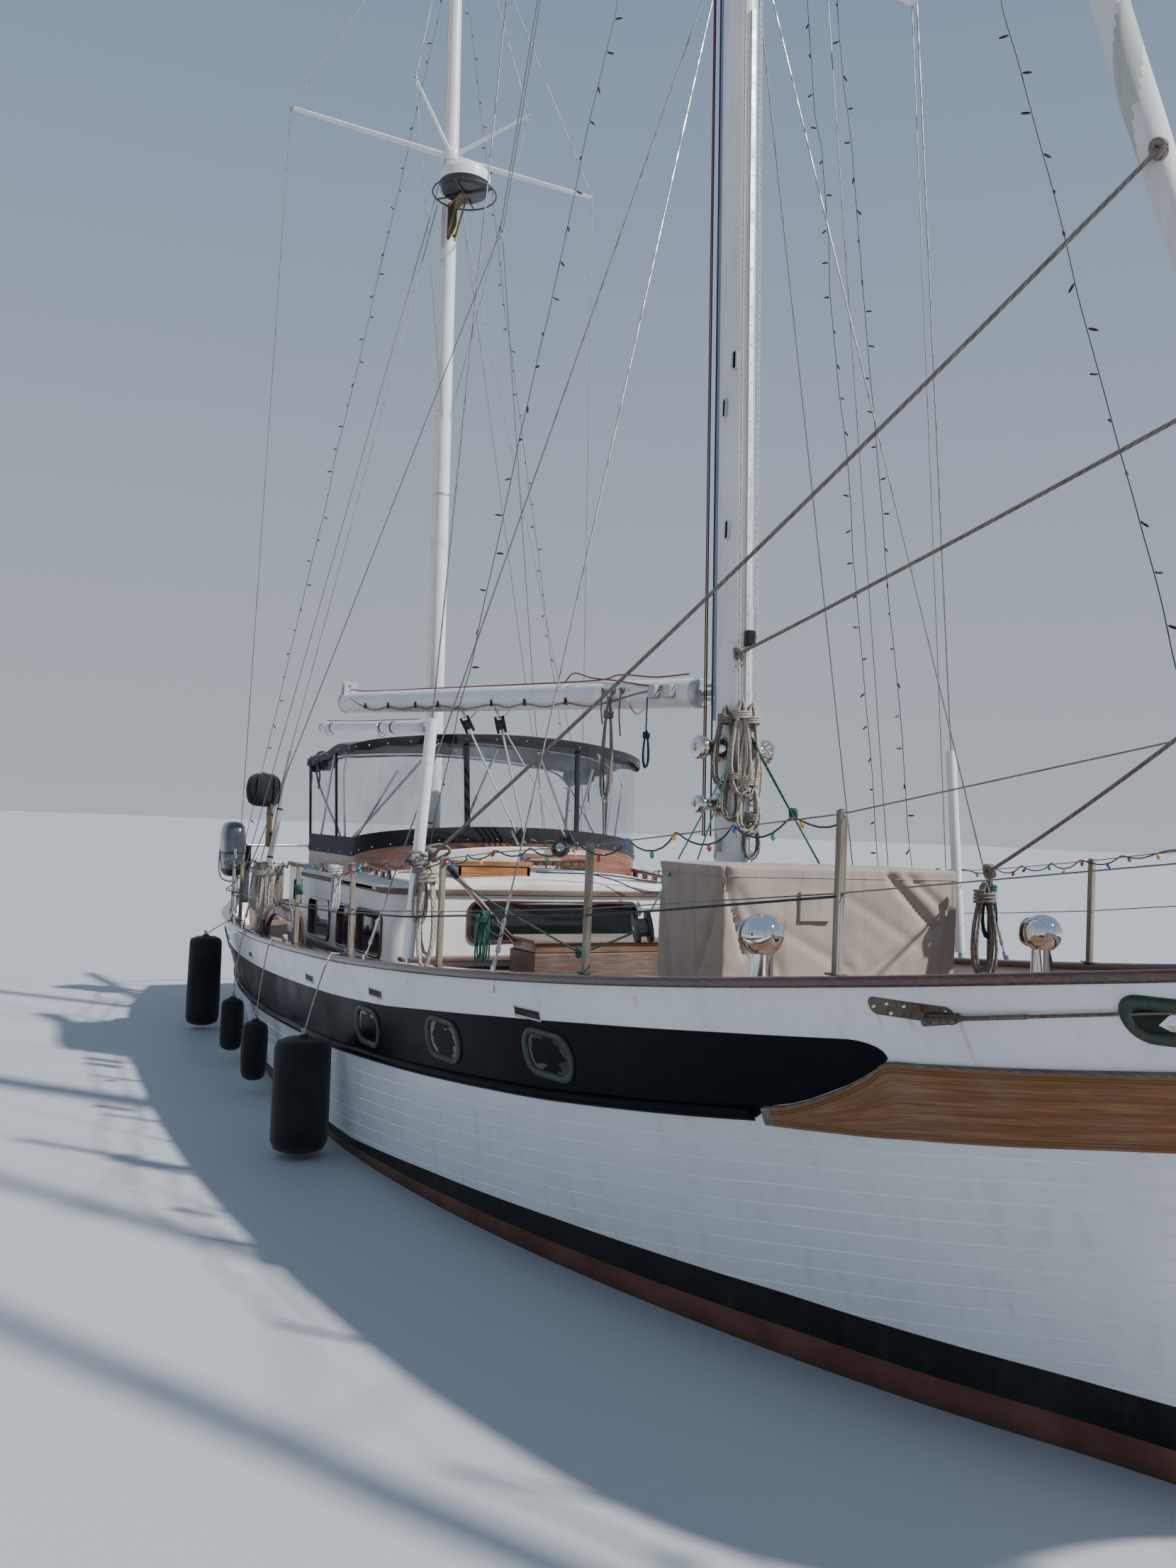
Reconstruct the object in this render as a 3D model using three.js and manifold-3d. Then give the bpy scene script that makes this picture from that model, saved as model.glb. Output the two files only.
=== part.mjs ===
// A centre-cockpit ketch with a clipper bow, a full keel and a bowsprit, afloat at its waterline.
// Frame: millimetres, +X forward, +Y to port, +Z up. The origin is on the waterline, on the
// centreline, amidships.
import * as THREE from "three";
import { mergeVertices } from "three/addons/utils/BufferGeometryUtils.js";
import Module from "manifold-3d";

const wasm = await Module();
wasm.setup();

const V = (x, y, z) => new THREE.Vector3(x, y, z);
const GAP = 0.4; // between two pieces that touch
const STARBOARD = -1;
const PORT = 1;
const SIDES = [
  ["starboard", STARBOARD],
  ["port", PORT],
];

// Driving sizes
const STEM_RAIL_X = 7300;
const STEM_WATER_X = 6250;
const TRANSOM_RAIL_X = -7000;
const KEEL_BOTTOM = -1620;
const BULWARK = 300; // rail above the deck edge
const BULWARK_THICKNESS = 55;
const CAP_THICKNESS = 45;
const CAP_WIDTH = 135;
const CAP_OVERHANG = 24;
const DECK_CAMBER = 75;

const RAKE = Math.tan((2.6 * Math.PI) / 180); // both masts lean aft
const MAIN_X = 2000; // main mast at RAKE_HEIGHT
const MIZZEN_X = -3420;
const RAKE_HEIGHT = 1500;
const MAIN_HEAD = 17700;
const MIZZEN_HEAD = 12600;

// Materials
const paint = (color, roughness = 0.4, metalness = 0) =>
  new THREE.MeshStandardMaterial({ color, roughness, metalness });
const WHITE = paint(0xe9e9e6, 0.35);
const CREAM = paint(0xdad9d2, 0.5);
const ANTIFOULING = paint(0x5b2f27, 0.85);
const TEAK = paint(0x8a5229, 0.45);
const CAP_WOOD = paint(0x4a2418, 0.4);
const GREY_WOOD = paint(0x8a8073, 0.85);
const STEEL = paint(0xb9bcc0, 0.25, 1);
const BRONZE = paint(0x8a7a4a, 0.4, 1);
const BLACK = paint(0x17181b, 0.7);
const GLASS = paint(0x2a2f33, 0.1);
const TAN = paint(0xb3a596, 0.9);
const SAIL = paint(0xe4e2dc, 0.8);
const CLEAR = paint(0xaab4bc, 0.15);

// Solids

// Closed geometry to a solid; its faces are turned outwards if they face in.
function solid(geometry) {
  const bare = new THREE.BufferGeometry();
  bare.setAttribute("position", geometry.getAttribute("position"));
  if (geometry.index) bare.setIndex(geometry.index);
  const merged = mergeVertices(bare, 1e-3);
  const vertProperties = new Float32Array(merged.attributes.position.array);
  const triVerts = new Uint32Array(merged.index.array);
  const at = (i) => V().fromArray(vertProperties, 3 * triVerts[i]);
  let volume = 0;
  for (let i = 0; i < triVerts.length; i += 3) volume += at(i).dot(at(i + 1).cross(at(i + 2)));
  if (volume < 0) {
    for (let i = 0; i < triVerts.length; i += 3) {
      [triVerts[i + 1], triVerts[i + 2]] = [triVerts[i + 2], triVerts[i + 1]];
    }
  }
  return new wasm.Manifold(new wasm.Mesh({ numProp: 3, vertProperties, triVerts }));
}

const join = (...list) => list.flat().reduce((a, b) => a.add(b));
const cut = (body, ...list) => list.flat().reduce((a, b) => a.subtract(b), body);

function box(x0, x1, y0, y1, z0, z1) {
  const g = new THREE.BoxGeometry(Math.abs(x1 - x0), Math.abs(y1 - y0), Math.abs(z1 - z0));
  g.translate((x0 + x1) / 2, (y0 + y1) / 2, (z0 + z1) / 2);
  return solid(g);
}

// Triangles that fill a counter-clockwise outline and use every one of its points.
function fill(outline) {
  const left = outline.map((_, i) => i);
  const out = [];
  const twice = (a, b, c) => b.clone().sub(a).cross(c.clone().sub(a));
  while (left.length > 3) {
    let best = -1;
    let bestArea = -Infinity;
    for (let i = 0; i < left.length; i++) {
      const [ia, ib, ic] = [left.at(i - 1), left[i], left[(i + 1) % left.length]];
      const [a, b, c] = [outline[ia], outline[ib], outline[ic]];
      const area = twice(a, b, c);
      if (area < -1e-3) continue;
      const blocked = left.some((k) => {
        if (k === ia || k === ib || k === ic) return false;
        const p = outline[k];
        return twice(a, b, p) > 1e-3 && twice(b, c, p) > 1e-3 && twice(c, a, p) > 1e-3;
      });
      if (blocked) continue;
      const longest = Math.max(a.distanceTo(b), b.distanceTo(c), c.distanceTo(a));
      if (area / longest ** 2 > bestArea) {
        best = i;
        bestArea = area / longest ** 2;
      }
    }
    if (best < 0) throw new Error("an outline crosses itself");
    out.push([left.at(best - 1), left[best], left[(best + 1) % left.length]]);
    left.splice(best, 1);
  }
  out.push(left);
  return out;
}

// Rings of equal length to one closed body; the end rings are filled.
function loft(rings) {
  const n = rings[0].length;
  const points = rings.flat();
  const index = [];
  for (let i = 0; i + 1 < rings.length; i++) {
    for (let j = 0; j < n; j++) {
      const a = i * n + j;
      const b = i * n + ((j + 1) % n);
      index.push(a, b, a + n, b, b + n, a + n);
    }
  }
  const cap = (ring, start, flip) => {
    const normal = V();
    ring.forEach((p, i) => normal.add(p.clone().cross(ring[(i + 1) % n])));
    normal.normalize();
    const u = Math.abs(normal.x) > 0.7 ? V(0, 1, 0) : V(1, 0, 0);
    const e1 = u.clone().sub(normal.clone().multiplyScalar(u.dot(normal))).normalize();
    const e2 = normal.clone().cross(e1);
    const flat = ring.map((p) => new THREE.Vector2(p.dot(e1), p.dot(e2)));
    for (const [a, b, c] of fill(flat)) {
      index.push(...(flip ? [start + a, start + c, start + b] : [start + a, start + b, start + c]));
    }
  };
  cap(rings[0], 0, true);
  cap(rings.at(-1), points.length - n, false);
  const g = new THREE.BufferGeometry();
  g.setAttribute("position", new THREE.Float32BufferAttribute(points.flatMap((p) => p.toArray()), 3));
  g.setIndex(index);
  return solid(g);
}

// A round bar from a to b, its radius growing from r0 to r1.
function bar(a, b, r0, r1 = r0, sides = 12) {
  const length = a.distanceTo(b);
  const g = new THREE.CylinderGeometry(r1, r0, length, sides);
  g.translate(0, length / 2, 0);
  const way = b.clone().sub(a).normalize();
  g.applyQuaternion(new THREE.Quaternion().setFromUnitVectors(V(0, 1, 0), way));
  g.translate(a.x, a.y, a.z);
  return solid(g);
}

// A round tube along points that a smooth curve joins.
function tube(points, radius, steps, sides = 8) {
  const section = new THREE.Shape();
  for (let i = 0; i < sides; i++) {
    const a = (2 * Math.PI * i) / sides;
    section[i ? "lineTo" : "moveTo"](radius * Math.cos(a), radius * Math.sin(a));
  }
  section.closePath();
  const extrudePath = new THREE.CatmullRomCurve3(points, false, "centripetal");
  return solid(new THREE.ExtrudeGeometry(section, { steps, bevelEnabled: false, extrudePath }));
}

// A wire through points, its section square to the way at each of them.
function polyline(points, radius, sides = 8) {
  const rise = points.at(-1).clone().sub(points[0]).normalize();
  const reference = Math.abs(rise.z) > 0.8 ? V(1, 0, 0) : V(0, 0, 1);
  return loft(
    points.map((p, i) => {
      const before = i ? p.clone().sub(points[i - 1]).normalize() : V();
      const after = i + 1 < points.length ? points[i + 1].clone().sub(p).normalize() : V();
      const way = before.add(after).normalize();
      const u = reference.clone().cross(way).normalize();
      const v = way.clone().cross(u);
      return Array.from({ length: sides }, (_, k) => {
        const a = (2 * Math.PI * k) / sides;
        const out = u.clone().multiplyScalar(radius * Math.cos(a));
        return p.clone().add(out.add(v.clone().multiplyScalar(radius * Math.sin(a))));
      });
    }),
  );
}

// A profile of (radius, height) points turned about an upright axis at `at`.
function turned(profile, at, sides = 24) {
  const g = new THREE.LatheGeometry(profile.map(([r, z]) => new THREE.Vector2(r, z)), sides);
  g.rotateX(Math.PI / 2);
  g.translate(at.x, at.y, at.z);
  return solid(g);
}

// A rounded rectangle's points, counter-clockwise, centred on the origin.
function roundedRect(length, width, radius, arc = 3) {
  const out = [];
  const corners = [
    [1, 1, 0],
    [-1, 1, 90],
    [-1, -1, 180],
    [1, -1, 270],
  ];
  for (const [sx, sy, start] of corners) {
    for (let i = 0; i <= arc; i++) {
      const a = ((start + (90 * i) / arc) * Math.PI) / 180;
      const cx = sx * (length / 2 - radius);
      const cy = sy * (width / 2 - radius);
      out.push([cx + radius * Math.cos(a), cy + radius * Math.sin(a)]);
    }
  }
  return out;
}

// An outline in the XZ plane pulled out along Y.
function plate(outline, y0, y1) {
  return loft([y0, y1].map((y) => outline.map(([x, z]) => V(x, y, z))));
}

// An outline in the XY plane pulled up along Z.
function slab(outline, z0, z1) {
  return loft([z0, z1].map((z) => outline.map(([x, y]) => V(x, y, z))));
}

// Hull form

// x of the clipper stem at a height, above and below the water.
const stemX = (z) => STEM_WATER_X + (z > 0 ? 120e-3 * z + 183e-6 * z * z : 0.5 * z - 1.1e-3 * z * z);
// x of the raked transom at a height.
const sternX = (z) => TRANSOM_RAIL_X + 0.42 * (1165 - z);

// Stations: x at the rail, half-breadth and height of the rail, half-breadth and height of the
// bilge's turn, fullness of the side between them, height where the keel starts, height of the
// keel's foot, and share of the stem's (+) or transom's (-) rake.
const STATIONS = [
  [-7000, 1220, 1165, 930, 640, 1.5, 330, 0, -1],
  [-6500, 1380, 1150, 1040, 430, 1.5, 160, 0, -0.8],
  [-6000, 1520, 1142, 1150, 250, 1.5, 10, 0, -0.5],
  [-5300, 1680, 1138, 1290, 80, 1.5, -220, KEEL_BOTTOM, -0.15],
  [-4500, 1800, 1141, 1460, 0, 1.5, -420, KEEL_BOTTOM, 0],
  [-3500, 1910, 1155, 1680, 0, 1.45, -600, KEEL_BOTTOM, 0],
  [-2000, 2013, 1195, 1870, 0, 1.4, -730, KEEL_BOTTOM, 0],
  [0, 2047, 1281, 1935, 0, 1.4, -790, -1590, 0],
  [1000, 2020, 1343, 1870, 0, 1.35, -780, -1530, 0],
  [2000, 1953, 1418, 1720, 0, 1.25, -740, -1430, 0],
  [3000, 1837, 1508, 1490, 0, 1.15, -680, -1280, 0.03],
  [4000, 1672, 1615, 1200, 0, 1.0, -600, -1050, 0.15],
  [5000, 1457, 1742, 880, 0, 0.85, -500, -780, 0.4],
  [5800, 1215, 1853, 600, 0, 0.72, -390, -470, 0.65],
  [6400, 980, 1940, 410, 0, 0.62, -290, 0, 0.82],
  [6850, 700, 2010, 240, 0, 0.58, -200, 0, 0.93],
  [7150, 380, 2060, 110, 0, 0.6, -120, 0, 0.985],
  [STEM_RAIL_X, 60, 2085, 38, 0, 1, -60, 0, 1],
].map(([x, half, rail, turnHalf, turn, full, rabbet, foot, share]) => ({
  x,
  half,
  rail,
  turnHalf,
  turn,
  full,
  rabbet,
  foot,
  share,
}));

// Every value of the hull at x, between the stations, on a smooth curve.
function station(x) {
  const i = Math.min(Math.max(STATIONS.findIndex((s) => s.x >= x), 1), STATIONS.length - 1);
  const [a, b] = [STATIONS[i - 1], STATIONS[i]];
  const [before, after] = [STATIONS[Math.max(i - 2, 0)], STATIONS[Math.min(i + 1, STATIONS.length - 1)]];
  const t = (x - a.x) / (b.x - a.x);
  const h = b.x - a.x;
  const out = { x };
  out.foot = a.foot + (b.foot - a.foot) * t;
  for (const key of ["half", "rail", "turnHalf", "turn", "full", "rabbet", "share"]) {
    const m0 = before === a ? (b[key] - a[key]) / h : (b[key] - before[key]) / (b.x - before.x);
    const m1 = after === b ? (b[key] - a[key]) / h : (after[key] - a[key]) / (after.x - a.x);
    out[key] =
      a[key] * (1 + 2 * t) * (1 - t) ** 2 +
      h * m0 * t * (1 - t) ** 2 +
      b[key] * t * t * (3 - 2 * t) +
      h * m1 * t * t * (t - 1);
  }
  return out;
}

// A station's own x at a height: the end stations lean with the stem and the transom.
function leanX(s, z) {
  const rake = s.share > 0 ? stemX(z) - stemX(s.rail) : sternX(z) - sternX(s.rail);
  return s.x + Math.abs(s.share) * rake;
}

// Half-breadth of a station's side at a height between the turn and the rail.
function sideHalf(s, z) {
  const t = (z - s.turn) / (s.rail - s.turn);
  return s.turnHalf + (s.half - s.turnHalf) * (s.full * t + (1 - s.full) * t * t);
}

const railAt = (x) => station(x).rail;
const deckAt = (x, y = 0) => {
  const s = station(x);
  return s.rail - BULWARK + DECK_CAMBER * (1 - (y / s.half) ** 2);
};

const TOPSIDE_STEPS = 7;
const BOTTOM_STEPS = 6;
const BILGE_PULL = 0.62; // share of the bottom's depth over which the side runs on before it turns
const TRANSOM_INSIDE = -6944.5; // aft of this the deck is as high as the bulwark
const KEEL_HALF = 105; // half thickness where the keel leaves the hull

// One side of a station from the rail down to the keel, as [y, z].
function sidePoints(s, lift, grow) {
  const out = [];
  for (let i = TOPSIDE_STEPS; i >= 0; i--) {
    const z = s.turn + ((s.rail - CAP_THICKNESS - GAP - s.turn) * i) / TOPSIDE_STEPS;
    out.push([sideHalf(s, z) + grow, z + lift]);
  }
  const keelHalf = Math.min(KEEL_HALF, s.turnHalf * 0.8);
  const depth = s.turn - s.rabbet;
  const slope = ((s.half - s.turnHalf) * s.full) / (s.rail - s.turn);
  const pull = s.turnHalf - slope * BILGE_PULL * depth;
  for (let i = 1; i <= BOTTOM_STEPS; i++) {
    const t = i / BOTTOM_STEPS;
    const y = (1 - t) ** 2 * s.turnHalf + 2 * t * (1 - t) * pull + t * t * keelHalf;
    out.push([y + grow, s.turn - depth * (2 * t * (1 - t) * BILGE_PULL + t * t) + lift]);
  }
  return out;
}

// The deck and the bulwark's inside at a station, from the starboard rail to the port rail.
function deckPoints(s, lift) {
  const thick = Math.min(BULWARK_THICKNESS, s.half * 0.4);
  const inner = s.half - thick;
  const edge = sideHalf(s, s.rail - BULWARK) - thick;
  const top = s.rail - CAP_THICKNESS - GAP + lift;
  const out = [[-inner, top]];
  for (const share of [-1, -0.5, 0, 0.5, 1]) {
    const crown = 1 - share * share;
    const deck = s.rail - BULWARK + DECK_CAMBER * crown + lift;
    out.push([edge * share, s.x < TRANSOM_INSIDE ? top - 4 * (crown + 0.2) : deck]);
  }
  out.push([inner, top]);
  return out;
}

function hullRing(s, lift, grow) {
  const side = sidePoints(s, lift, grow);
  const port = side.map(([y, z]) => [y, z]);
  const starboard = side.map(([y, z]) => [-y, z]).reverse();
  return [...port, ...starboard, ...deckPoints(s, lift)].map(([y, z]) => V(leanX(s, z - lift), y, z));
}

// Stations between the table's own, so that the sheer and the waterlines run smoothly.
const HULL_XS = STATIONS.flatMap((s, i) => {
  if (i === 0) return [s.x, TRANSOM_INSIDE - 0.5, TRANSOM_INSIDE + 0.5];
  return i + 1 < STATIONS.length && STATIONS[i + 1].x - s.x > 650
    ? [s.x, (s.x + STATIONS[i + 1].x) / 2]
    : [s.x];
});
const hullLoft = (lift = 0, grow = 0) => loft(HULL_XS.map((x) => hullRing(station(x), lift, grow)));

// Deckhouse, cockpit and cabins: places
const HOUSE_FRONT = -560;
const HOUSE_AFT = -3150;
const HOUSE_HALF = 1390;
const HOUSE_WALL = 38;
const HOUSE_TOP = 1670;
const SALOON = { x0: -1560, x1: -700, half: 1180, floor: 150 };
const COCKPIT = { x0: -3020, x1: -1760, half: 1080, floor: 1010, footHalf: 420, foot: 760 };
const AFT_CABIN = { x0: -5750, x1: -3260, half: 1080, taper: 220 };
const FORE_HATCH = { x: 4650, size: 620, height: 90 };

const RUDDER_X = -5480;
const PROP = { x: -5140, z: -830, radius: 270 };
const APERTURE = { x0: -5300, x1: -4985, z0: -1150, z1: -500 };

const AFT_ROOM = { x0: -5200, x1: -3500, half: 880, floor: 420 };
const cutters = [
  box(AFT_ROOM.x0, AFT_ROOM.x1, -AFT_ROOM.half, AFT_ROOM.half, AFT_ROOM.floor, 1800),
  box(SALOON.x0, SALOON.x1, -SALOON.half, SALOON.half, SALOON.floor, 1800),
  box(COCKPIT.x0, COCKPIT.x1, -COCKPIT.footHalf, COCKPIT.footHalf, COCKPIT.foot, 1800),
  bar(V(RUDDER_X, 0, -500), V(RUDDER_X, 0, 60), 44, 44, 24),
];
const hull = cut(hullLoft(), cutters);
const deckCutter = hullLoft(GAP);
const skinCutter = hullLoft(0, GAP);

// Full keel under the hull, from the same stations.
const KEEL_AFT = -5412;
const KEEL_XS = HULL_XS.filter((x) => x >= -4500 && x <= 5800);
const keelBody = loft(
  [KEEL_AFT, ...KEEL_XS].map((x) => {
    const s = station(x);
    const top = s.rabbet + (s.share > 0 ? 40 : 120);
    const foot = Math.min(s.foot, s.rabbet - 20);
    const topHalf = Math.min(KEEL_HALF, s.turnHalf * 0.8);
    const footHalf = topHalf * 0.85;
    const at = (y, z) => V(s.share > 0 ? leanX(s, z) : s.x, y, z);
    return [at(topHalf, top), at(-topHalf, top), at(-footHalf, foot), at(footHalf, foot)];
  }),
);
const shaftLine = [V(PROP.x + 400, 0, PROP.z), V(PROP.x - 30, 0, PROP.z)];
const keel = cut(
  keelBody,
  hullLoft(-GAP),
  box(APERTURE.x0, APERTURE.x1, -200, 200, APERTURE.z0, APERTURE.z1),
  bar(shaftLine[0], shaftLine[1], 28, 28, 24),
);

// Rudder: a flat blade on a stock that turns in the hull.
const RUDDER = { chord: 640, top: -200, bottom: -1560, half: 28, stock: 36 };
const rudder = join(
  plate(
    [
      [RUDDER_X + 45, RUDDER.top],
      [RUDDER_X + 45, RUDDER.bottom],
      [RUDDER_X - RUDDER.chord * 0.75, RUDDER.bottom],
      [RUDDER_X - RUDDER.chord, RUDDER.bottom + 330],
      [RUDDER_X - RUDDER.chord * 0.92, RUDDER.top - 50],
      [RUDDER_X - RUDDER.chord * 0.4, RUDDER.top + 90],
    ],
    -RUDDER.half,
    RUDDER.half,
  ),
  bar(V(RUDDER_X, 0, RUDDER.top - 200), V(RUDDER_X, 0, 40), RUDDER.stock, RUDDER.stock, 24),
);

// Propeller: a hub, a shaft and three twisted blades.
const blades = [0, 120, 240].map((degrees) => {
  const g = new THREE.BoxGeometry(26, 150, PROP.radius - 40);
  g.translate(0, 0, (PROP.radius - 40) / 2 + 30);
  g.rotateZ(0.5);
  g.rotateX((degrees * Math.PI) / 180);
  g.translate(PROP.x, 0, PROP.z);
  return solid(g);
});
const propeller = join(
  bar(V(PROP.x - 60, 0, PROP.z), V(PROP.x + 60, 0, PROP.z), 40, 55, 24),
  bar(V(PROP.x, 0, PROP.z), V(PROP.x + 380, 0, PROP.z), 24, 24, 24),
  blades,
);

// Rails

// A strip along the hull: its section at x is a list of [y, z] for the port side.
function strip(xs, section, side) {
  return loft(
    xs.map((x) => {
      const s = station(x);
      return section(s).map(([y, z, dx = 0]) => V(leanX(s, z) + dx, side * y, z));
    }),
  );
}

const CAP_XS = HULL_XS.filter((x) => x > -6900 && x < 7200);
const capRail = (side, lift = 0) =>
  strip(
    [TRANSOM_RAIL_X + 60, ...CAP_XS, 7200],
    (s) => {
      const outer = s.half + CAP_OVERHANG;
      const inner = Math.max(outer - CAP_WIDTH, 6);
      return [
        [outer, s.rail + lift],
        [inner, s.rail + lift],
        [inner, s.rail - CAP_THICKNESS + lift],
        [outer, s.rail - CAP_THICKNESS + lift],
      ];
    },
    side,
  );
const capCutter = join(SIDES.map(([, side]) => capRail(side, GAP)));

// Half-breadth of the hull's faceted side at a height.
function facetHalf(s, z) {
  const top = s.rail - CAP_THICKNESS - GAP;
  const step = (top - s.turn) / TOPSIDE_STEPS;
  const i = Math.min(Math.max(Math.floor((z - s.turn) / step), 0), TOPSIDE_STEPS - 1);
  const z0 = s.turn + step * i;
  const t = (z - z0) / step;
  return sideHalf(s, z0) * (1 - t) + sideHalf(s, z0 + step) * t;
}

// The band's lower edge carries a half-round rubbing strake.
const STRAKE = { drop: 600, half: 32, out: 40, stand: 9, x0: -6500, x1: 4500 };
const strake = (side) =>
  strip(
    HULL_XS.filter((x) => x >= STRAKE.x0 && x <= STRAKE.x1),
    (s) => {
      const z = s.rail - STRAKE.drop * (s.x > 3000 ? 1 - (s.x - 3000) * 3e-5 : 1);
      return [
        [facetHalf(s, z + STRAKE.half) + STRAKE.stand, z + STRAKE.half],
        [facetHalf(s, z) + STRAKE.out, z + STRAKE.half * 0.6],
        [facetHalf(s, z) + STRAKE.out, z - STRAKE.half * 0.6],
        [facetHalf(s, z - STRAKE.half) + STRAKE.stand, z - STRAKE.half],
      ];
    },
    side,
  );

const BOARD = { x0: 4480, x1: 6400, thickness: 24, stand: 7 };
const boardTop = (x) => 1435 + (x - 4980) * 0.075;
const boardFoot = (x) => 1130 + (x - 4420) * 0.1;
const nameBoard = (side) =>
  strip(
    HULL_XS.filter((x) => x >= BOARD.x0 && x <= BOARD.x1),
    (s) => {
      const grow = Math.min(1, (s.x - BOARD.x0) / 600);
      const z0 = boardFoot(s.x);
      const z1 = z0 + 30 + (boardTop(s.x) - z0 - 30) * grow;
      const middle = (z0 + z1) / 2;
      return [
        [facetHalf(s, z1) + BOARD.stand, z1],
        [facetHalf(s, z1) + BOARD.thickness, z1],
        [facetHalf(s, middle) + BOARD.thickness, middle],
        [facetHalf(s, z0) + BOARD.thickness, z0],
        [facetHalf(s, z0) + BOARD.stand, z0],
        [facetHalf(s, middle) + BOARD.stand, middle],
      ];
    },
    side,
  );

const TAFFRAIL_X = [TRANSOM_RAIL_X - 30, TRANSOM_RAIL_X + 95];
const taffrailBox = (grow) =>
  box(TAFFRAIL_X[0], TAFFRAIL_X[1] + grow, -1230, 1230, railAt(-7000) - CAP_THICKNESS - grow, railAt(-7000) + grow);
const taffrail = taffrailBox(0);
const taffrailCutter = taffrailBox(GAP);

// Bowsprit, its stays and its rail
const SPRIT_TIP = 8900;
const SPRIT_Z = 2110;
const SPRIT_RISE = 0.06;
const spritZ = (x) => SPRIT_Z + (x - 7300) * SPRIT_RISE;
const SPRIT_HEEL = 6330;
const sprit = join(
  bar(V(SPRIT_HEEL, 0, spritZ(SPRIT_HEEL) + 95), V(SPRIT_TIP, 0, spritZ(SPRIT_TIP) + 95), 88, 66, 16),
  cut(bar(V(6480, 0, 1500), V(6480, 0, spritZ(6480) + 60), 70, 70, 12), deckCutter),
);
const PLATFORM = { x0: 7420, x1: 8300, half: 230 };
// A plank at a height over the bowsprit's own line.
const plank = (x0, x1, y0, y1, up0, up1) =>
  loft(
    [x0, x1].map((x) =>
      [
        [y0, up0],
        [y1, up0],
        [y1, up1],
        [y0, up1],
      ].map(([y, up]) => V(x, y, spritZ(x) + up)),
    ),
  );
const platform = join(
  [-1, 1].map((side) => plank(PLATFORM.x0, PLATFORM.x1, side * 92, side * PLATFORM.half, 70, 110)),
  [7440, 7860, 8240].map((x) => plank(x, x + 45, -PLATFORM.half, PLATFORM.half, 15, 71)),
);
// The anchor: its shank lies on the platform and its plough hangs ahead of it.
const ANCHOR = { x0: 7620, x1: 8440, y: -120, half: 14, up: 108, deep: 52 };
const plough = loft(
  [
    // x of the aft corners, x of the nose, half-breadth and height over the bowsprit's line
    [8400, 8450, 20, 155],
    [8365, 8520, 90, -60],
    [8335, 8350, 6, -320],
  ].map(([aft, nose, half, up]) =>
    [
      [aft, -half],
      [nose, 0],
      [aft, half],
    ].map(([x, y]) => V(x, ANCHOR.y + y, spritZ(8400) + up)),
  ),
);
const anchor = join(
  plank(
    ANCHOR.x0,
    ANCHOR.x1,
    ANCHOR.y - ANCHOR.half,
    ANCHOR.y + ANCHOR.half,
    ANCHOR.up,
    ANCHOR.up + ANCHOR.deep,
  ),
  plough,
);
const bobstay = cut(
  bar(V(8800, 0, spritZ(8800) + 16), V(stemX(60) - 20, 0, 60), 9, 9, 8),
  skinCutter,
  skinCutter.translate([2 * GAP, 0, 0]),
);
const whisker = (side) =>
  cut(
    bar(V(8860, side * 76, spritZ(8860) + 40), V(5420, side * (sideHalf(station(5420), 1690) - 30), 1660), 7, 7, 8),
    skinCutter,
  );

// The pulpit: a rail round the bowsprit's end on four legs.
const PULPIT_Z = 2760;
const pulpitPath = [
  V(6500, 900, PULPIT_Z - 40),
  V(7300, 460, PULPIT_Z),
  V(8200, 300, PULPIT_Z + 20),
  V(8800, 230, PULPIT_Z + 30),
  V(8990, 0, PULPIT_Z + 30),
  V(8800, -230, PULPIT_Z + 30),
  V(8200, -300, PULPIT_Z + 20),
  V(7300, -460, PULPIT_Z),
  V(6500, -900, PULPIT_Z - 40),
];
const pulpitLegs = [
  // x, half-breadth and height of the foot, half-breadth and height of the head
  [6500, 860, railAt(6500) - 20, 900, PULPIT_Z - 40],
  [8200, 200, spritZ(8200) + 116, 300, PULPIT_Z + 20],
];
const pulpit = cut(
  join(
    tube(pulpitPath, 16, 48, 8),
    pulpitLegs.flatMap(([x, y0, z0, y1, z1]) =>
      [-1, 1].map((side) => bar(V(x, side * y0, z0), V(x, side * y1, z1), 14, 14, 8)),
    ),
  ),
  capCutter,
);

// Deckhouse: walls with their windows cut, and a roof with a hatch and the way down
const houseOutline = (grow, aft = 0) => [
  [HOUSE_AFT - grow + aft, -HOUSE_HALF - grow],
  [HOUSE_FRONT - 120, -HOUSE_HALF - grow],
  [HOUSE_FRONT - 20 + grow, -HOUSE_HALF + 90],
  [HOUSE_FRONT + grow, -HOUSE_HALF + 220],
  [HOUSE_FRONT + 60 + grow, 0],
  [HOUSE_FRONT + grow, HOUSE_HALF - 220],
  [HOUSE_FRONT - 20 + grow, HOUSE_HALF - 90],
  [HOUSE_FRONT - 120, HOUSE_HALF + grow],
  [HOUSE_AFT - grow + aft, HOUSE_HALF + grow],
];
const SIDE_WINDOWS = [
  // x0, x1, z0, z1
  [-1340, -730, 1160, 1480],
  [-1900, -1560, 1150, 1470],
  [-2820, -2180, 1150, 1460],
];
const FRONT_WINDOW = { half: 740, z0: 1300, z1: 1590 };
const windowCut = (x0, x1, z0, z1) =>
  plate(roundedRect(x1 - x0, z1 - z0, 45).map(([x, z]) => [x + (x0 + x1) / 2, z + (z0 + z1) / 2]), -2000, 2000);
const frontCut = loft(
  [HOUSE_FRONT - 200, HOUSE_FRONT + 200].map((x) =>
    roundedRect(2 * FRONT_WINDOW.half, FRONT_WINDOW.z1 - FRONT_WINDOW.z0, 60).map(([y, z]) =>
      V(x, y, z + (FRONT_WINDOW.z0 + FRONT_WINDOW.z1) / 2),
    ),
  ),
);
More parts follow.
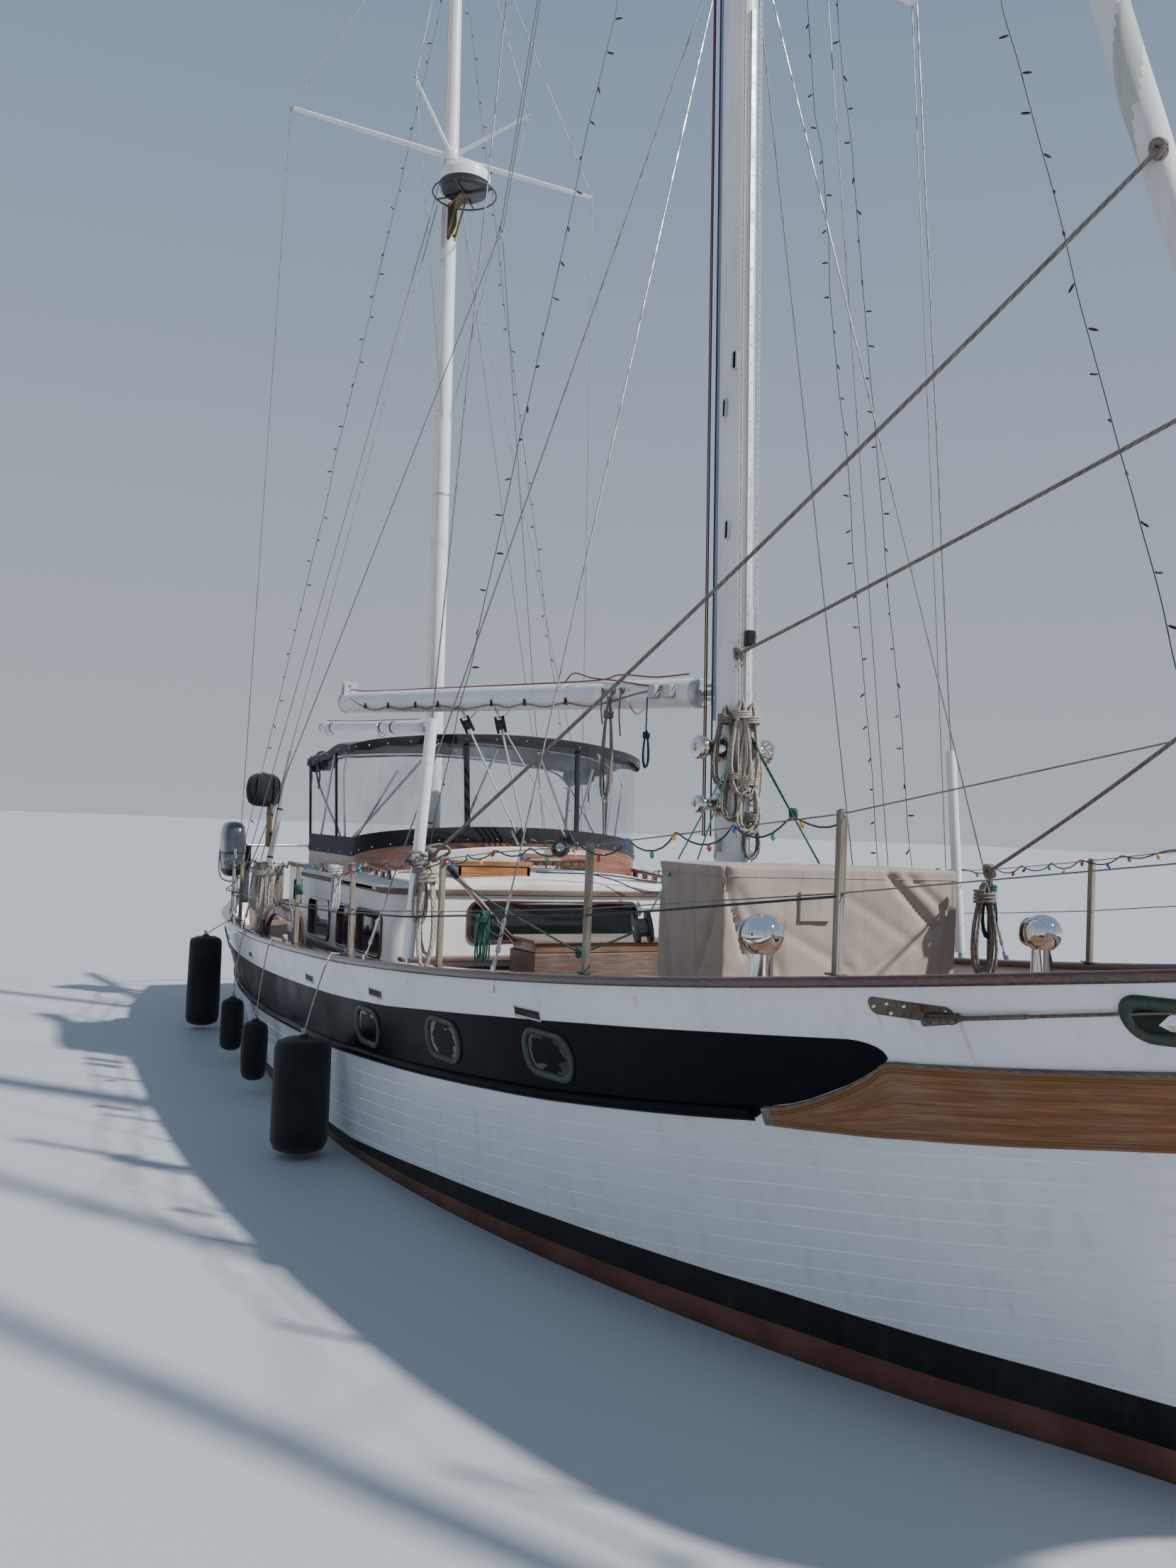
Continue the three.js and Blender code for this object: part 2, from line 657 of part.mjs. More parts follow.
const houseWalls = cut(
  slab(houseOutline(0), 700, HOUSE_TOP),
  slab(houseOutline(-HOUSE_WALL), 600, HOUSE_TOP + 100),
);
const deckhouse = cut(
  houseWalls,
  deckCutter,
  SIDE_WINDOWS.map((w) => windowCut(...w)),
  frontCut,
);
const glazingShell = cut(
  slab(houseOutline(-HOUSE_WALL - GAP), 1110, 1640),
  slab(houseOutline(-HOUSE_WALL - GAP - 8, -60), 1000, 1700),
  box(HOUSE_AFT - 100, -3000, -2000, 2000, 1000, 1800),
);
const glazing = cut(glazingShell, deckCutter);

// Roof: a cambered sheet with an eyebrow all round, highest where the cockpit starts.
const ROOF = { thickness: 45, overhang: 30, camber: 85, rise: 60 };
const HATCH = { x0: -955, x1: -675, y0: -800, y1: -170, lip: 15, frame: 50, lid: 40 };
const SLIDE = { x0: -1755, x1: -1325, y0: 80, y1: 690 };
const HOOD = { x0: -1150, x1: -640, y0: -140, y1: 750, height: 125, wall: 25 };
function roofZ(x, y) {
  const share = Math.max(0, Math.min(1, (HOUSE_FRONT - x) / 1000));
  return HOUSE_TOP + ROOF.rise * share + ROOF.camber * (1 - (y / (HOUSE_HALF + 30)) ** 2);
}
const roofXs = [HOUSE_FRONT + 85, HOUSE_FRONT - 60, -900, -1200, -1560, COCKPIT.x1 + 40];
function roofSection(x) {
  const half = x > HOUSE_FRONT ? HOUSE_HALF - 260 : HOUSE_HALF + ROOF.overhang;
  const ys = [-1, -0.6, -0.25, 0, 0.25, 0.6, 1].map((k) => k * half);
  const top = ys.map((y) => V(x, y, roofZ(x, y) + ROOF.thickness));
  const under = ys.map((y) => V(x, y, HOUSE_TOP + GAP)).reverse();
  return [...top, ...under];
}
const roofLoft = loft(roofXs.map(roofSection));
const roofCutter = loft(roofXs.map((x) => roofSection(x).map((p) => V(p.x, p.y, p.z + GAP))));
const hatchBase = roofZ(HATCH.x0, HATCH.y1) + ROOF.thickness;
const hatchFrame = box(HATCH.x0, HATCH.x1, HATCH.y0, HATCH.y1, HOUSE_TOP + 30, hatchBase + HATCH.frame);
const roof = cut(
  join(roofLoft, hatchFrame),
  box(HATCH.x0 + 40, HATCH.x1 - 40, HATCH.y0 + 40, HATCH.y1 - 40, 1600, 2000),
  box(SLIDE.x0 + 30, SLIDE.x1 - 30, SLIDE.y0 + 40, SLIDE.y1 - 40, 1600, 2000),
);
// Side decks beside the cockpit close the house's top there.
const sideTop = (side) =>
  box(HOUSE_AFT, COCKPIT.x1 + 60, side * COCKPIT.half, side * (HOUSE_HALF + ROOF.overhang), HOUSE_TOP + GAP, HOUSE_TOP + 60);

const lidFoot = hatchBase + HATCH.frame + 6;
const roofHatch = box(
  HATCH.x0 - HATCH.lip,
  HATCH.x1 + HATCH.lip,
  HATCH.y0 - HATCH.lip,
  HATCH.y1 + HATCH.lip,
  lidFoot,
  lidFoot + HATCH.lid,
);
const slideBase = roofZ(SLIDE.x0, SLIDE.y0) + ROOF.thickness;
const slideHatch = box(SLIDE.x0, SLIDE.x1, SLIDE.y0, SLIDE.y1, slideBase + 8, slideBase + 48);
const hoodTop = slideBase + HOOD.height;
const seaHood = cut(
  box(HOOD.x0, HOOD.x1, HOOD.y0, HOOD.y1, 1700, hoodTop),
  box(
    HOOD.x0 - 20,
    HOOD.x1 - HOOD.wall,
    HOOD.y0 + HOOD.wall,
    HOOD.y1 - HOOD.wall,
    1600,
    hoodTop - HOOD.wall,
  ),
);

// A beam across the roof carries the mainsheet; over the hood it stands on the hood's top.
const BEAM = { half: 1250, front: -1020, corner: -1350, aft: 45, fore: 35, top: 2035, fall: 85, reach: 980 };
const beamPart = (ys, foot) =>
  loft(
    ys.map((y) => {
      const x = BEAM.corner + (BEAM.front - BEAM.corner) * Math.sqrt(1 - (y / BEAM.half) ** 2);
      const top = BEAM.top - BEAM.fall * (y / BEAM.reach) ** 2;
      const z = foot(x, y);
      return [V(x - BEAM.aft, y, z), V(x + BEAM.fore, y, z), V(x + BEAM.fore, y, top), V(x - BEAM.aft, y, top)];
    }),
  );
const travellerBeam = [
  beamPart([-980, -840, -700, -560, -420, -280, -130], (x, y) => roofZ(x, y) + ROOF.thickness - 8),
  beamPart([-135, 0, 150, 300, 450, 600], () => hoodTop - 4),
];

// Cockpit: a curved wooden coaming, two seats, a pedestal and its wheel

// A U-shaped way round the cockpit, from aft to starboard round the front to port: each point has
// its place, its outward normal and how far it is round the front, 0 at the sides, 1 amidships.
function cockpitWay({ half, front, corner, aft }) {
  const middle = (aft + corner) / 2;
  return [
    { x: aft, y: -half, nx: 0, ny: -1, share: 0 },
    { x: middle, y: -half, nx: 0, ny: -1, share: 0 },
    ...Array.from({ length: 13 }, (_, i) => frontPoint({ half, front, corner }, 15 * i - 90)),
    { x: middle, y: half, nx: 0, ny: 1, share: 0 },
    { x: aft, y: half, nx: 0, ny: 1, share: 0 },
  ];
}
// The way's point at an angle round the front, in degrees from amidships.
function frontPoint({ half, front, corner }, degrees) {
  const a = (degrees * Math.PI) / 180;
  const reach = front - corner;
  const n = V(Math.cos(a) / reach, Math.sin(a) / half, 0).normalize();
  return { x: corner + reach * Math.cos(a), y: half * Math.sin(a), nx: n.x, ny: n.y, share: Math.cos(a) };
}
// A wall along the way: outer foot, outer top, inner top, inner foot at each point.
function wall(way, thickness, foot, top, lean = 0) {
  return loft(
    way.map((p) => {
      const at = (inset, z) => V(p.x - p.nx * inset, p.y - p.ny * inset, z);
      const z0 = foot(p.share);
      const z1 = top(p.share);
      return [at(0, z0), at(lean, z1), at(lean + thickness, z1), at(thickness, z0)];
    }),
  );
}
const COAMING = { half: 1345, front: -1170, corner: -1720, aft: -3130, thickness: 42 };
const coamingTop = (share) => 1950 + 170 * share;
const coamingWay = cockpitWay(COAMING);
const coaming = cut(
  wall(coamingWay, COAMING.thickness, (share) => HOUSE_TOP + 60 + GAP - 40 * Math.min(1, 8 * share), coamingTop),
  roofCutter,
  box(SLIDE.x1, HOOD.x0 + 60, SLIDE.y0 - 30, SLIDE.y1 + 30, 1500, slideBase + 70),
);

const SEAT = { x0: -2980, x1: -1800, y0: 450, top: 1360 };
const seat = (side) => box(SEAT.x0, SEAT.x1, side * SEAT.y0, side * (COCKPIT.half - 10), 800, SEAT.top);
const CUSHION = { inset: 20, thickness: 85 };
const cushion = (side) =>
  box(
    SEAT.x0 + CUSHION.inset,
    SEAT.x1 - CUSHION.inset,
    side * (SEAT.y0 + CUSHION.inset),
    side * (COCKPIT.half - 10 - CUSHION.inset),
    SEAT.top + GAP,
    SEAT.top + CUSHION.thickness,
  );
const PEDESTAL_X = -2120;
const WHEEL = { x: -2250, z: 1560, radius: 395, rim: 17 };
const pedestal = join(
  bar(V(PEDESTAL_X, 0, COCKPIT.foot + GAP), V(PEDESTAL_X, 0, 1625), 95, 60, 16),
  bar(V(PEDESTAL_X, 0, 1620), V(PEDESTAL_X, 0, 1700), 60, 100, 16),
);
const spokes = Array.from({ length: 6 }, (_, i) => {
  const a = (i * Math.PI) / 3;
  const reach = WHEEL.radius;
  const tip = V(WHEEL.x, reach * Math.cos(a), WHEEL.z + reach * Math.sin(a));
  return bar(V(WHEEL.x, 0, WHEEL.z), tip, 9, 9, 8);
});
const rim = new THREE.TorusGeometry(WHEEL.radius, WHEEL.rim, 8, 32);
rim.rotateY(Math.PI / 2);
rim.translate(WHEEL.x, 0, WHEEL.z);
const steeringWheel = join(
  solid(rim),
  spokes,
  bar(V(WHEEL.x - 30, 0, WHEEL.z), V(PEDESTAL_X - 68, 0, WHEEL.z), 40, 40, 16),
);

// Enclosure over the cockpit: a cambered cloth top and clear side panels
const TOP = { half: 1400, front: -1230, corner: -1760, aft: -3120, thickness: 22 };
const topZ = (x, y) => 2845 + 125 * (1 - (y / TOP.half) ** 2) - Math.max(0, (-2100 - x) * 0.1);
const topWay = cockpitWay(TOP);
const canopyXs = [TOP.front - 6, -1260, -1330, -1450, -1600, -1760, -2100, -2600, TOP.aft];
const canopy = loft(
  canopyXs.map((x) => {
    const reach = TOP.front - TOP.corner;
    const share = x > TOP.corner ? Math.sqrt(1 - ((x - TOP.corner) / reach) ** 2) : 1;
    const half = TOP.half * share;
    const ys = [-1, -0.8, -0.4, 0, 0.4, 0.8, 1].map((k) => k * half);
    const over = ys.map((y) => V(x, y, topZ(x, y) + TOP.thickness));
    const under = ys.map((y) => V(x, y, topZ(x, y))).reverse();
    return [...over, ...under];
  }),
);
const PANEL = { thickness: 8, foot: 12, head: 30 }; // foot and head: how far in from each way
const inFrom = (q, inset, z) => V(q.x - q.nx * inset, q.y - q.ny * inset, z);
const panelFoot = (share) => coamingTop(share) + 3;
const panelHead = (q) => topZ(q.x, q.y) - 4;
const panels = loft(
  coamingWay.map((p, i) => {
    const t = topWay[i];
    return [
      inFrom(p, PANEL.foot, panelFoot(p.share)),
      inFrom(t, PANEL.head, panelHead(t)),
      inFrom(t, PANEL.head + PANEL.thickness, panelHead(t)),
      inFrom(p, PANEL.foot + PANEL.thickness, panelFoot(p.share)),
    ];
  }),
);
// Covered posts stand out from the panels: two in front and one at each aft end.
const POST = { wide: 48, proud: 9, deep: 15, angles: [-20, 20] };
function post(low, high, along0, along1) {
  const ring = (q, inset, z) =>
    [
      [along0, inset - POST.proud],
      [along1, inset - POST.proud],
      [along1, inset + POST.deep],
      [along0, inset + POST.deep],
    ].map(([along, by]) => V(q.x - q.nx * by - q.ny * along, q.y - q.ny * by + q.nx * along, z));
  return loft([ring(low, PANEL.foot, panelFoot(low.share)), ring(high, PANEL.head, panelHead(high) - 2)]);
}
const posts = [
  ...POST.angles.map((degrees) =>
    post(frontPoint(COAMING, degrees), frontPoint(TOP, degrees), -POST.wide / 2, POST.wide / 2),
  ),
  post(coamingWay[0], topWay[0], 0, POST.wide),
  post(coamingWay.at(-1), topWay.at(-1), -POST.wide, 0),
];
// A cloth skirt runs from the coaming's outside up over the foot of the panels.
const SKIRT = { drop: 55, proud: 9, rise: 110, more: 80 };
const skirt = loft(
  coamingWay.map((p, i) => {
    const t = topWay[i];
    const top = coamingTop(p.share);
    const up = SKIRT.rise + SKIRT.more * (1 - p.share) ** 2;
    const foot = inFrom(p, PANEL.foot, panelFoot(p.share));
    const head = inFrom(t, PANEL.head, panelHead(t));
    const on = foot.lerp(head, (top + up - foot.z) / (head.z - foot.z));
    return [
      inFrom(p, -SKIRT.proud, top - SKIRT.drop),
      V(on.x + p.nx * 5, on.y + p.ny * 5, on.z),
      V(on.x - p.nx * 3, on.y - p.ny * 3, on.z),
      inFrom(p, PANEL.foot + 3, panelFoot(p.share) + 2),
      inFrom(p, -1, top + 2),
      inFrom(p, -1, top - SKIRT.drop),
    ];
  }),
);
// Steel bows hold the cloth top up; all three hinge at one foot on each side.
const BOWS = { xs: [-1400, -2100, -3050], inset: 70, radius: 11, under: 20, shoulder: 140, foot: [-2150, 1290, 1965] };
const canopyBows = join(
  BOWS.xs.map((x) => {
    const ahead = Math.max(0, x - TOP.corner) / (TOP.front - TOP.corner - BOWS.inset);
    const half = (TOP.half - BOWS.inset) * Math.sqrt(1 - ahead ** 2);
    const [footX, footY, footZ] = BOWS.foot;
    const over = [-5, -4, -2, 0, 2, 4, 5].map((k) => V(x, (half * k) / 6, topZ(x, (half * k) / 6) - BOWS.under));
    const shoulder = (side) => V(x, side * half, topZ(x, half) - BOWS.shoulder);
    const foot = (side) => V(footX, side * footY, footZ);
    return polyline([foot(STARBOARD), shoulder(STARBOARD), ...over, shoulder(PORT), foot(PORT)], BOWS.radius);
  }),
);

// Aft cabin: a low trunk between the cockpit and the aft deck
const cabinOutline = (grow) => [
  [AFT_CABIN.x0 - grow, -AFT_CABIN.half + AFT_CABIN.taper - grow],
  [AFT_CABIN.x1 + grow, -AFT_CABIN.half - grow],
  [AFT_CABIN.x1 + grow, AFT_CABIN.half + grow],
  [AFT_CABIN.x0 - grow, AFT_CABIN.half - AFT_CABIN.taper + grow],
];
const AFT_WINDOWS = [
  // x0, x1, z0, z1
  [-5350, -4850, 1280, 1500],
  [-4500, -3900, 1280, 1510],
];
const AFT_ROOF = { foot: 1681, edge: 40, camber: 55, overhang: 30 };
const AFT_HATCH = { x0: -4880, x1: -4170, half: 330, top: 1815 };
const aftRoof = loft(
  [AFT_CABIN.x0 - AFT_ROOF.overhang, AFT_CABIN.x1 + AFT_ROOF.overhang].map((x) => {
    const taper = (AFT_CABIN.taper * (AFT_CABIN.x1 - x)) / (AFT_CABIN.x1 - AFT_CABIN.x0);
    const half = AFT_CABIN.half - taper + AFT_ROOF.overhang;
    const shares = [-1, -0.75, -0.5, -0.25, 0, 0.25, 0.5, 0.75, 1];
    const top = shares.map((k) => V(x, k * half, AFT_ROOF.foot + AFT_ROOF.edge + AFT_ROOF.camber * (1 - k * k)));
    return [...top, V(x, half, AFT_ROOF.foot), V(x, -half, AFT_ROOF.foot)];
  }),
);
const aftCabin = cut(
  join(
    cut(slab(cabinOutline(0), 600, AFT_ROOF.foot + 10), slab(cabinOutline(-45), 500, AFT_ROOF.foot - 31)),
    aftRoof,
    box(AFT_HATCH.x0, AFT_HATCH.x1, -AFT_HATCH.half, AFT_HATCH.half, AFT_ROOF.foot, AFT_HATCH.top),
  ),
  deckCutter,
  AFT_WINDOWS.map((w) => windowCut(...w)),
);
const FORE_Z = deckAt(FORE_HATCH.x) + FORE_HATCH.height;
const foreFrame = box(FORE_HATCH.x - 310, FORE_HATCH.x + 310, -310, 310, 1200, FORE_Z);
const foreHatch = box(FORE_HATCH.x - 330, FORE_HATCH.x + 330, -330, 330, FORE_Z + 6, FORE_Z + 50);

// Deck fittings
const WINDLASS = { x: 5500, z: 1690, half: 110, drum: 58, reach: 210 };
const windlass = join(
  box(WINDLASS.x - WINDLASS.half, WINDLASS.x + WINDLASS.half, -100, 100, 1450, WINDLASS.z + 80),
  bar(V(WINDLASS.x, -WINDLASS.reach, WINDLASS.z), V(WINDLASS.x, WINDLASS.reach, WINDLASS.z), WINDLASS.drum, WINDLASS.drum, 16),
);
const VENT = { x: 3630, y: 930, ballZ: 1750, ball: 104, stem: 56, box: 110, boxTop: 92 };
const vent = (side) => {
  const ball = new THREE.SphereGeometry(VENT.ball, 20, 14);
  ball.translate(VENT.x, side * VENT.y, VENT.ballZ);
  const [x, y] = [VENT.x, side * VENT.y];
  const boxTop = deckAt(x, y) + VENT.boxTop;
  return cut(
    join(
      solid(ball),
      bar(V(x, y, 1100), V(x, y, VENT.ballZ), VENT.stem, VENT.stem, 16),
      box(x - VENT.box, x + VENT.box, y - VENT.box, y + VENT.box, 1100, boxTop),
    ),
    deckCutter,
    bar(V(VENT.x - 30, side * VENT.y, VENT.ballZ), V(VENT.x - 200, side * VENT.y, VENT.ballZ), 82, 82, 16),
  );
};
const COVER = { x0: 2430, x1: 3120, half: 820, top: 2060 };
const cover = cut(
  loft(
    [
      [1.02, 1150],
      [1.0, 1600],
      [0.98, COVER.top - 40],
      [0.93, COVER.top],
    ].map(([k, z]) =>
      roundedRect((COVER.x1 - COVER.x0) * k, 2 * COVER.half * k, 60).map(([x, y]) => V(x + (COVER.x0 + COVER.x1) / 2, y, z)),
    ),
  ),
  deckCutter,
);
const BOXES = { x0: -150, x1: 300, half: 560, lip: 12, tier: 100, top: 1385 };
const deckBox = cut(
  join(
    box(BOXES.x0, BOXES.x1, -BOXES.half, BOXES.half, 900, BOXES.top - BOXES.tier),
    box(
      BOXES.x0 + BOXES.lip,
      BOXES.x1 - BOXES.lip,
      -BOXES.half + BOXES.lip,
      BOXES.half - BOXES.lip,
      900,
      BOXES.top - 20,
    ),
    box(
      BOXES.x0 - BOXES.lip,
      BOXES.x1 + BOXES.lip,
      -BOXES.half - BOXES.lip,
      BOXES.half + BOXES.lip,
      BOXES.top - 25,
      BOXES.top,
    ),
  ),
  deckCutter,
);

const STANCHION_XS = [4790, 3290, 1810, 320, -1150, -2600, -4100, -5500];
const STANCHION = { height: 625, inset: 95, half: 16, wire: 5, mid: 310 };
const MAIN_SHROUDS = new Map([
  // side, feet of the cap, forward and aft shrouds, how far outboard the lifelines pass the cap's
  [STARBOARD, { cap: 1560, forward: 2600, aft: 850, clear: 22 }],
  [PORT, { cap: 1980, forward: 2450, aft: 850, clear: 58 }],
]);
const MIZZEN_SHROUD_XS = [-3150, -3740, -4300];
// The wires pass outboard of the shrouds, which stand on the rail.
const lifelineInset = (x, side) => {
  const { cap, forward, aft, clear } = MAIN_SHROUDS.get(side);
  if (x === cap) return -clear;
  return [forward, aft, ...MIZZEN_SHROUD_XS].includes(x) ? -22 : STANCHION.inset;
};
const lifelineAt = (x, side, up) => {
  const s = station(x);
  return V(x, side * (s.half - lifelineInset(x, side)), s.rail + up);
};
const stanchion = (x, side) => {
  const [low, high] = [lifelineAt(x, side, 2), lifelineAt(x, side, STANCHION.height)];
  const h = STANCHION.half;
  return box(x - h, x + h, low.y - h, low.y + h, low.z, high.z);
};
const lifelines = (side) => {
  const { cap, forward, aft } = MAIN_SHROUDS.get(side);
  const xs = [...STANCHION_XS, cap, forward, aft, ...MIZZEN_SHROUD_XS].sort((a, b) => b - a);
  const wire = (up) => polyline(xs.map((x) => lifelineAt(x, side, up)), STANCHION.wire, 6);
  return cut(
    join(STANCHION_XS.map((x) => stanchion(x, side)), wire(STANCHION.height - 15), wire(STANCHION.mid)),
    capCutter,
  );
};
const QUARTER_XS = [-5650, -6300, -6850];
const railing = (grow = 0) => {
  const up = 660;
  const corner = (side) => QUARTER_XS.map((x) => lifelineAt(x, side, up));
  const across = [-600, 600].map((y) => V(-6960, y, railAt(-6950) + up + 10));
  const path = [...corner(STARBOARD), ...across, ...corner(PORT).reverse()];
  const legs = SIDES.flatMap(([, side]) =>
    QUARTER_XS.map((x) => bar(lifelineAt(x, side, -20), lifelineAt(x, side, up), 13 + grow, 13 + grow, 8)),
  );
  return join(polyline(path, 15 + grow, 8), legs);
};
const sternRail = cut(railing(), capCutter);

// Masts: an oval tube each, with an extrusion behind the main one for its furling sail
const mastX = (x, z) => x - (z - RAKE_HEIGHT) * RAKE;
function ovalMast(x, foot, head, halfX, halfY, taper = 0.8) {
  const sides = 20;
  return loft(
    [
      [foot, 1],
      [foot + (head - foot) * 0.7, 1],
      [head, taper],
    ].map(([z, k]) =>
      Array.from({ length: sides }, (_, i) => {
        const a = (2 * Math.PI * i) / sides;
        return V(mastX(x, z) + halfX * k * Math.cos(a), halfY * k * Math.sin(a), z);
      }),
    ),
  );
}
const MAIN = { halfX: 140, halfY: 100, slotX: -150, slotHalf: 32, slotFoot: 2950 };
const mainSlot = loft(
  [MAIN.slotFoot, MAIN_HEAD - 900].map((z) =>
    roundedRect(95, 2 * MAIN.slotHalf, 20).map(([x, y]) => V(mastX(MAIN_X, z) + MAIN.slotX + x, y, z)),
  ),
);
const WINCHES = [
  // height, side, drum radius
  [2755, STARBOARD, 75],
  [2400, STARBOARD, 55],
  [2755, PORT, 75],
];
const winch = ([z, side, r]) =>
  join(
    bar(V(mastX(MAIN_X, z), side * 60, z), V(mastX(MAIN_X, z), side * 235, z), r * 0.55, r * 0.5, 16),
    bar(V(mastX(MAIN_X, z), side * 215, z), V(mastX(MAIN_X, z), side * 260, z), r, r * 0.9, 16),
    bar(V(mastX(MAIN_X, z), side * 95, z), V(mastX(MAIN_X, z), side * 125, z), r * 0.95, r * 0.95, 16),
  );
const MAIN_SPREADERS = [
  // height, reach
  [8300, 1560],
  [13000, 1150],
];
const mainArms = MAIN_SPREADERS.flatMap(([z, reach]) =>
  [-1, 1].map((side) => bar(V(mastX(MAIN_X, z), side * 40, z), V(mastX(MAIN_X, z) - 60, side * reach, z + 30), 32, 22, 10)),
);
const mainMast = cut(
  join(ovalMast(MAIN_X, 900, MAIN_HEAD, MAIN.halfX, MAIN.halfY), mainSlot, WINCHES.map(winch), mainArms),
  deckCutter,
);
const MIZZEN = { half: 76 };
const mizzenFoot = AFT_ROOF.foot + AFT_ROOF.edge + AFT_ROOF.camber + GAP;
const mizzenMast = ovalMast(MIZZEN_X, mizzenFoot, MIZZEN_HEAD, MIZZEN.half, MIZZEN.half);

// Spreaders: a collar round the mast and an arm to each side
function spreaders(mast, x, z, reach, halfX, halfY, sweep, extra) {
  const centre = mastX(x, z);
  const collar = slab(
    Array.from({ length: 20 }, (_, i) => {
      const a = (2 * Math.PI * i) / 20;
      return [centre + (halfX + 22) * Math.cos(a), (halfY + 22) * Math.sin(a)];
    }),
    z - 45,
    z + 45,
  );
  const arms = [-1, 1].map((side) => bar(V(centre, side * halfY, z), V(centre - sweep, side * reach, z + 30), 30, 20, 10));
  return cut(join(collar, arms, extra), mast);
}
const mizzenCutter = ovalMast(MIZZEN_X, mizzenFoot, MIZZEN_HEAD, MIZZEN.half + GAP, MIZZEN.half + GAP);
const MIZZEN_SPREADER = { z: 9250, reach: 1680 };
const JUMPER = { z: 9600, reach: 620 };
const jumpers = [-1, 1].map((side) => {
  const c = mastX(MIZZEN_X, MIZZEN_SPREADER.z);
  return bar(V(c, 0, MIZZEN_SPREADER.z), V(c + JUMPER.reach, side * JUMPER.reach, JUMPER.z), 24, 15, 10);
});

// Booms, each turned at its gooseneck
const BOOM_SWING = 11.5; // degrees to starboard at rest
const boomPivot = V(mastX(MAIN_X, 3140) - 245, 0, 3140);
const MIZZEN_SWING = 5.5;
const mizzenPivot = V(mastX(MIZZEN_X, 3180) - 130, 0, 3180);
function boom(pivot, length, radius, rise, degrees, start) {
  const a = (degrees * Math.PI) / 180;
  const way = V(-Math.cos(a), -Math.sin(a), rise / length);
  const at = (d, dz = 0) => pivot.clone().add(way.clone().multiplyScalar(d)).add(V(0, 0, dz));
  return join(bar(at(start), at(length), radius, radius, 16), bar(at(0), at(start + 30), 24, 24, 12));
}
const MAIN_BOOM = { length: 5060, radius: 100, rise: 190 };
const MIZZEN_BOOM = { length: 3080, radius: 70, rise: 130 };
const mainBoom = boom(boomPivot, MAIN_BOOM.length, MAIN_BOOM.radius, MAIN_BOOM.rise, BOOM_SWING, 40);
const mizzenBoom = boom(mizzenPivot, MIZZEN_BOOM.length, MIZZEN_BOOM.radius, MIZZEN_BOOM.rise, MIZZEN_SWING, 40);

// Furled sails on their stays
function furled(foot, head, radius) {
  const length = foot.distanceTo(head);
  const profile = [
    // share of the length, radius
    [0, 0],
    [0, 9],
    [0.02, 9],
    [0.021, radius * 1.3],
    [0.032, radius * 1.3],
    [0.033, 16],
    [0.045, radius * 0.75],
    [0.12, radius],
    [0.5, radius * 0.9],
    [0.94, radius * 0.3],
    [0.945, 9],
    [1, 9],
    [1, 0],
  ].map(([k, r]) => new THREE.Vector2(r, k * length));
  const g = new THREE.LatheGeometry(profile, 14);
  g.applyQuaternion(new THREE.Quaternion().setFromUnitVectors(V(0, 1, 0), head.clone().sub(foot).normalize()));
  g.translate(foot.x, foot.y, foot.z);
  return solid(g);
}
const staysail = furled(V(6140, 0, deckAt(6140) + 30), V(mastX(MAIN_X, 15600) + 143, 0, 15600), 80);
const genoa = furled(V(SPRIT_TIP - 120, 0, spritZ(8780) + 180), V(mastX(MAIN_X, MAIN_HEAD - 120) + 126, 0, MAIN_HEAD - 120), 95);

// Standing rigging: wires from chainplates on the rail to the masts
const chainplate = (x, side) => {
  const s = station(x);
  return V(x, side * (s.half - 10), s.rail - 20);
};
const WIRE = 6;
function shroudSet(side, mastAt, plates, list) {
  const bars = list.flatMap(([x, via, headZ, headY]) => {
    const foot = chainplate(x, side);
    const points = [foot, ...via.map(([vx, vy, vz]) => V(vx, side * vy, vz)), V(mastAt(headZ), side * headY, headZ)];
    return polyline(points, WIRE, 6);
  });
  const [x0, x1] = plates;
  const railBar = loft(
    [x0, (x0 + x1) / 2, x1].map((x) => {
      const s = station(x);
      const y = s.half - 10;
      return [
        V(x, side * (y - 14), s.rail - 20),
        V(x, side * (y + 14), s.rail - 20),
        V(x, side * (y + 14), s.rail + 16),
        V(x, side * (y - 14), s.rail + 16),
      ];
    }),
  );
  return cut(join(railBar, bars), capCutter);
}
const LOWER_HEAD = { z: 8200, half: 106 };
const mainShrouds = (side) => {
  const tip = ([z, reach]) => [mastX(MAIN_X, z) - 60, reach + 12, z + 34];
  const { cap, forward, aft } = MAIN_SHROUDS.get(side);
  return shroudSet(side, (z) => mastX(MAIN_X, z), [aft - 20, forward + 20], [
    // foot x, points on the way, height and half-breadth at the mast
    [cap, MAIN_SPREADERS.map(tip), MAIN_HEAD - 250, 92],
    [forward, [], LOWER_HEAD.z, LOWER_HEAD.half],
    [aft, [], LOWER_HEAD.z, LOWER_HEAD.half],
  ]);
};
const mizzenShrouds = (side) =>
  shroudSet(side, (z) => mastX(MIZZEN_X, z), [-3770, -3130], [
    [-3740, [[mastX(MIZZEN_X, MIZZEN_SPREADER.z) - 40, MIZZEN_SPREADER.reach + 22, MIZZEN_SPREADER.z + 34]], MIZZEN_HEAD - 200, 72],
    [-3150, [], 8950, 82],
  ]);

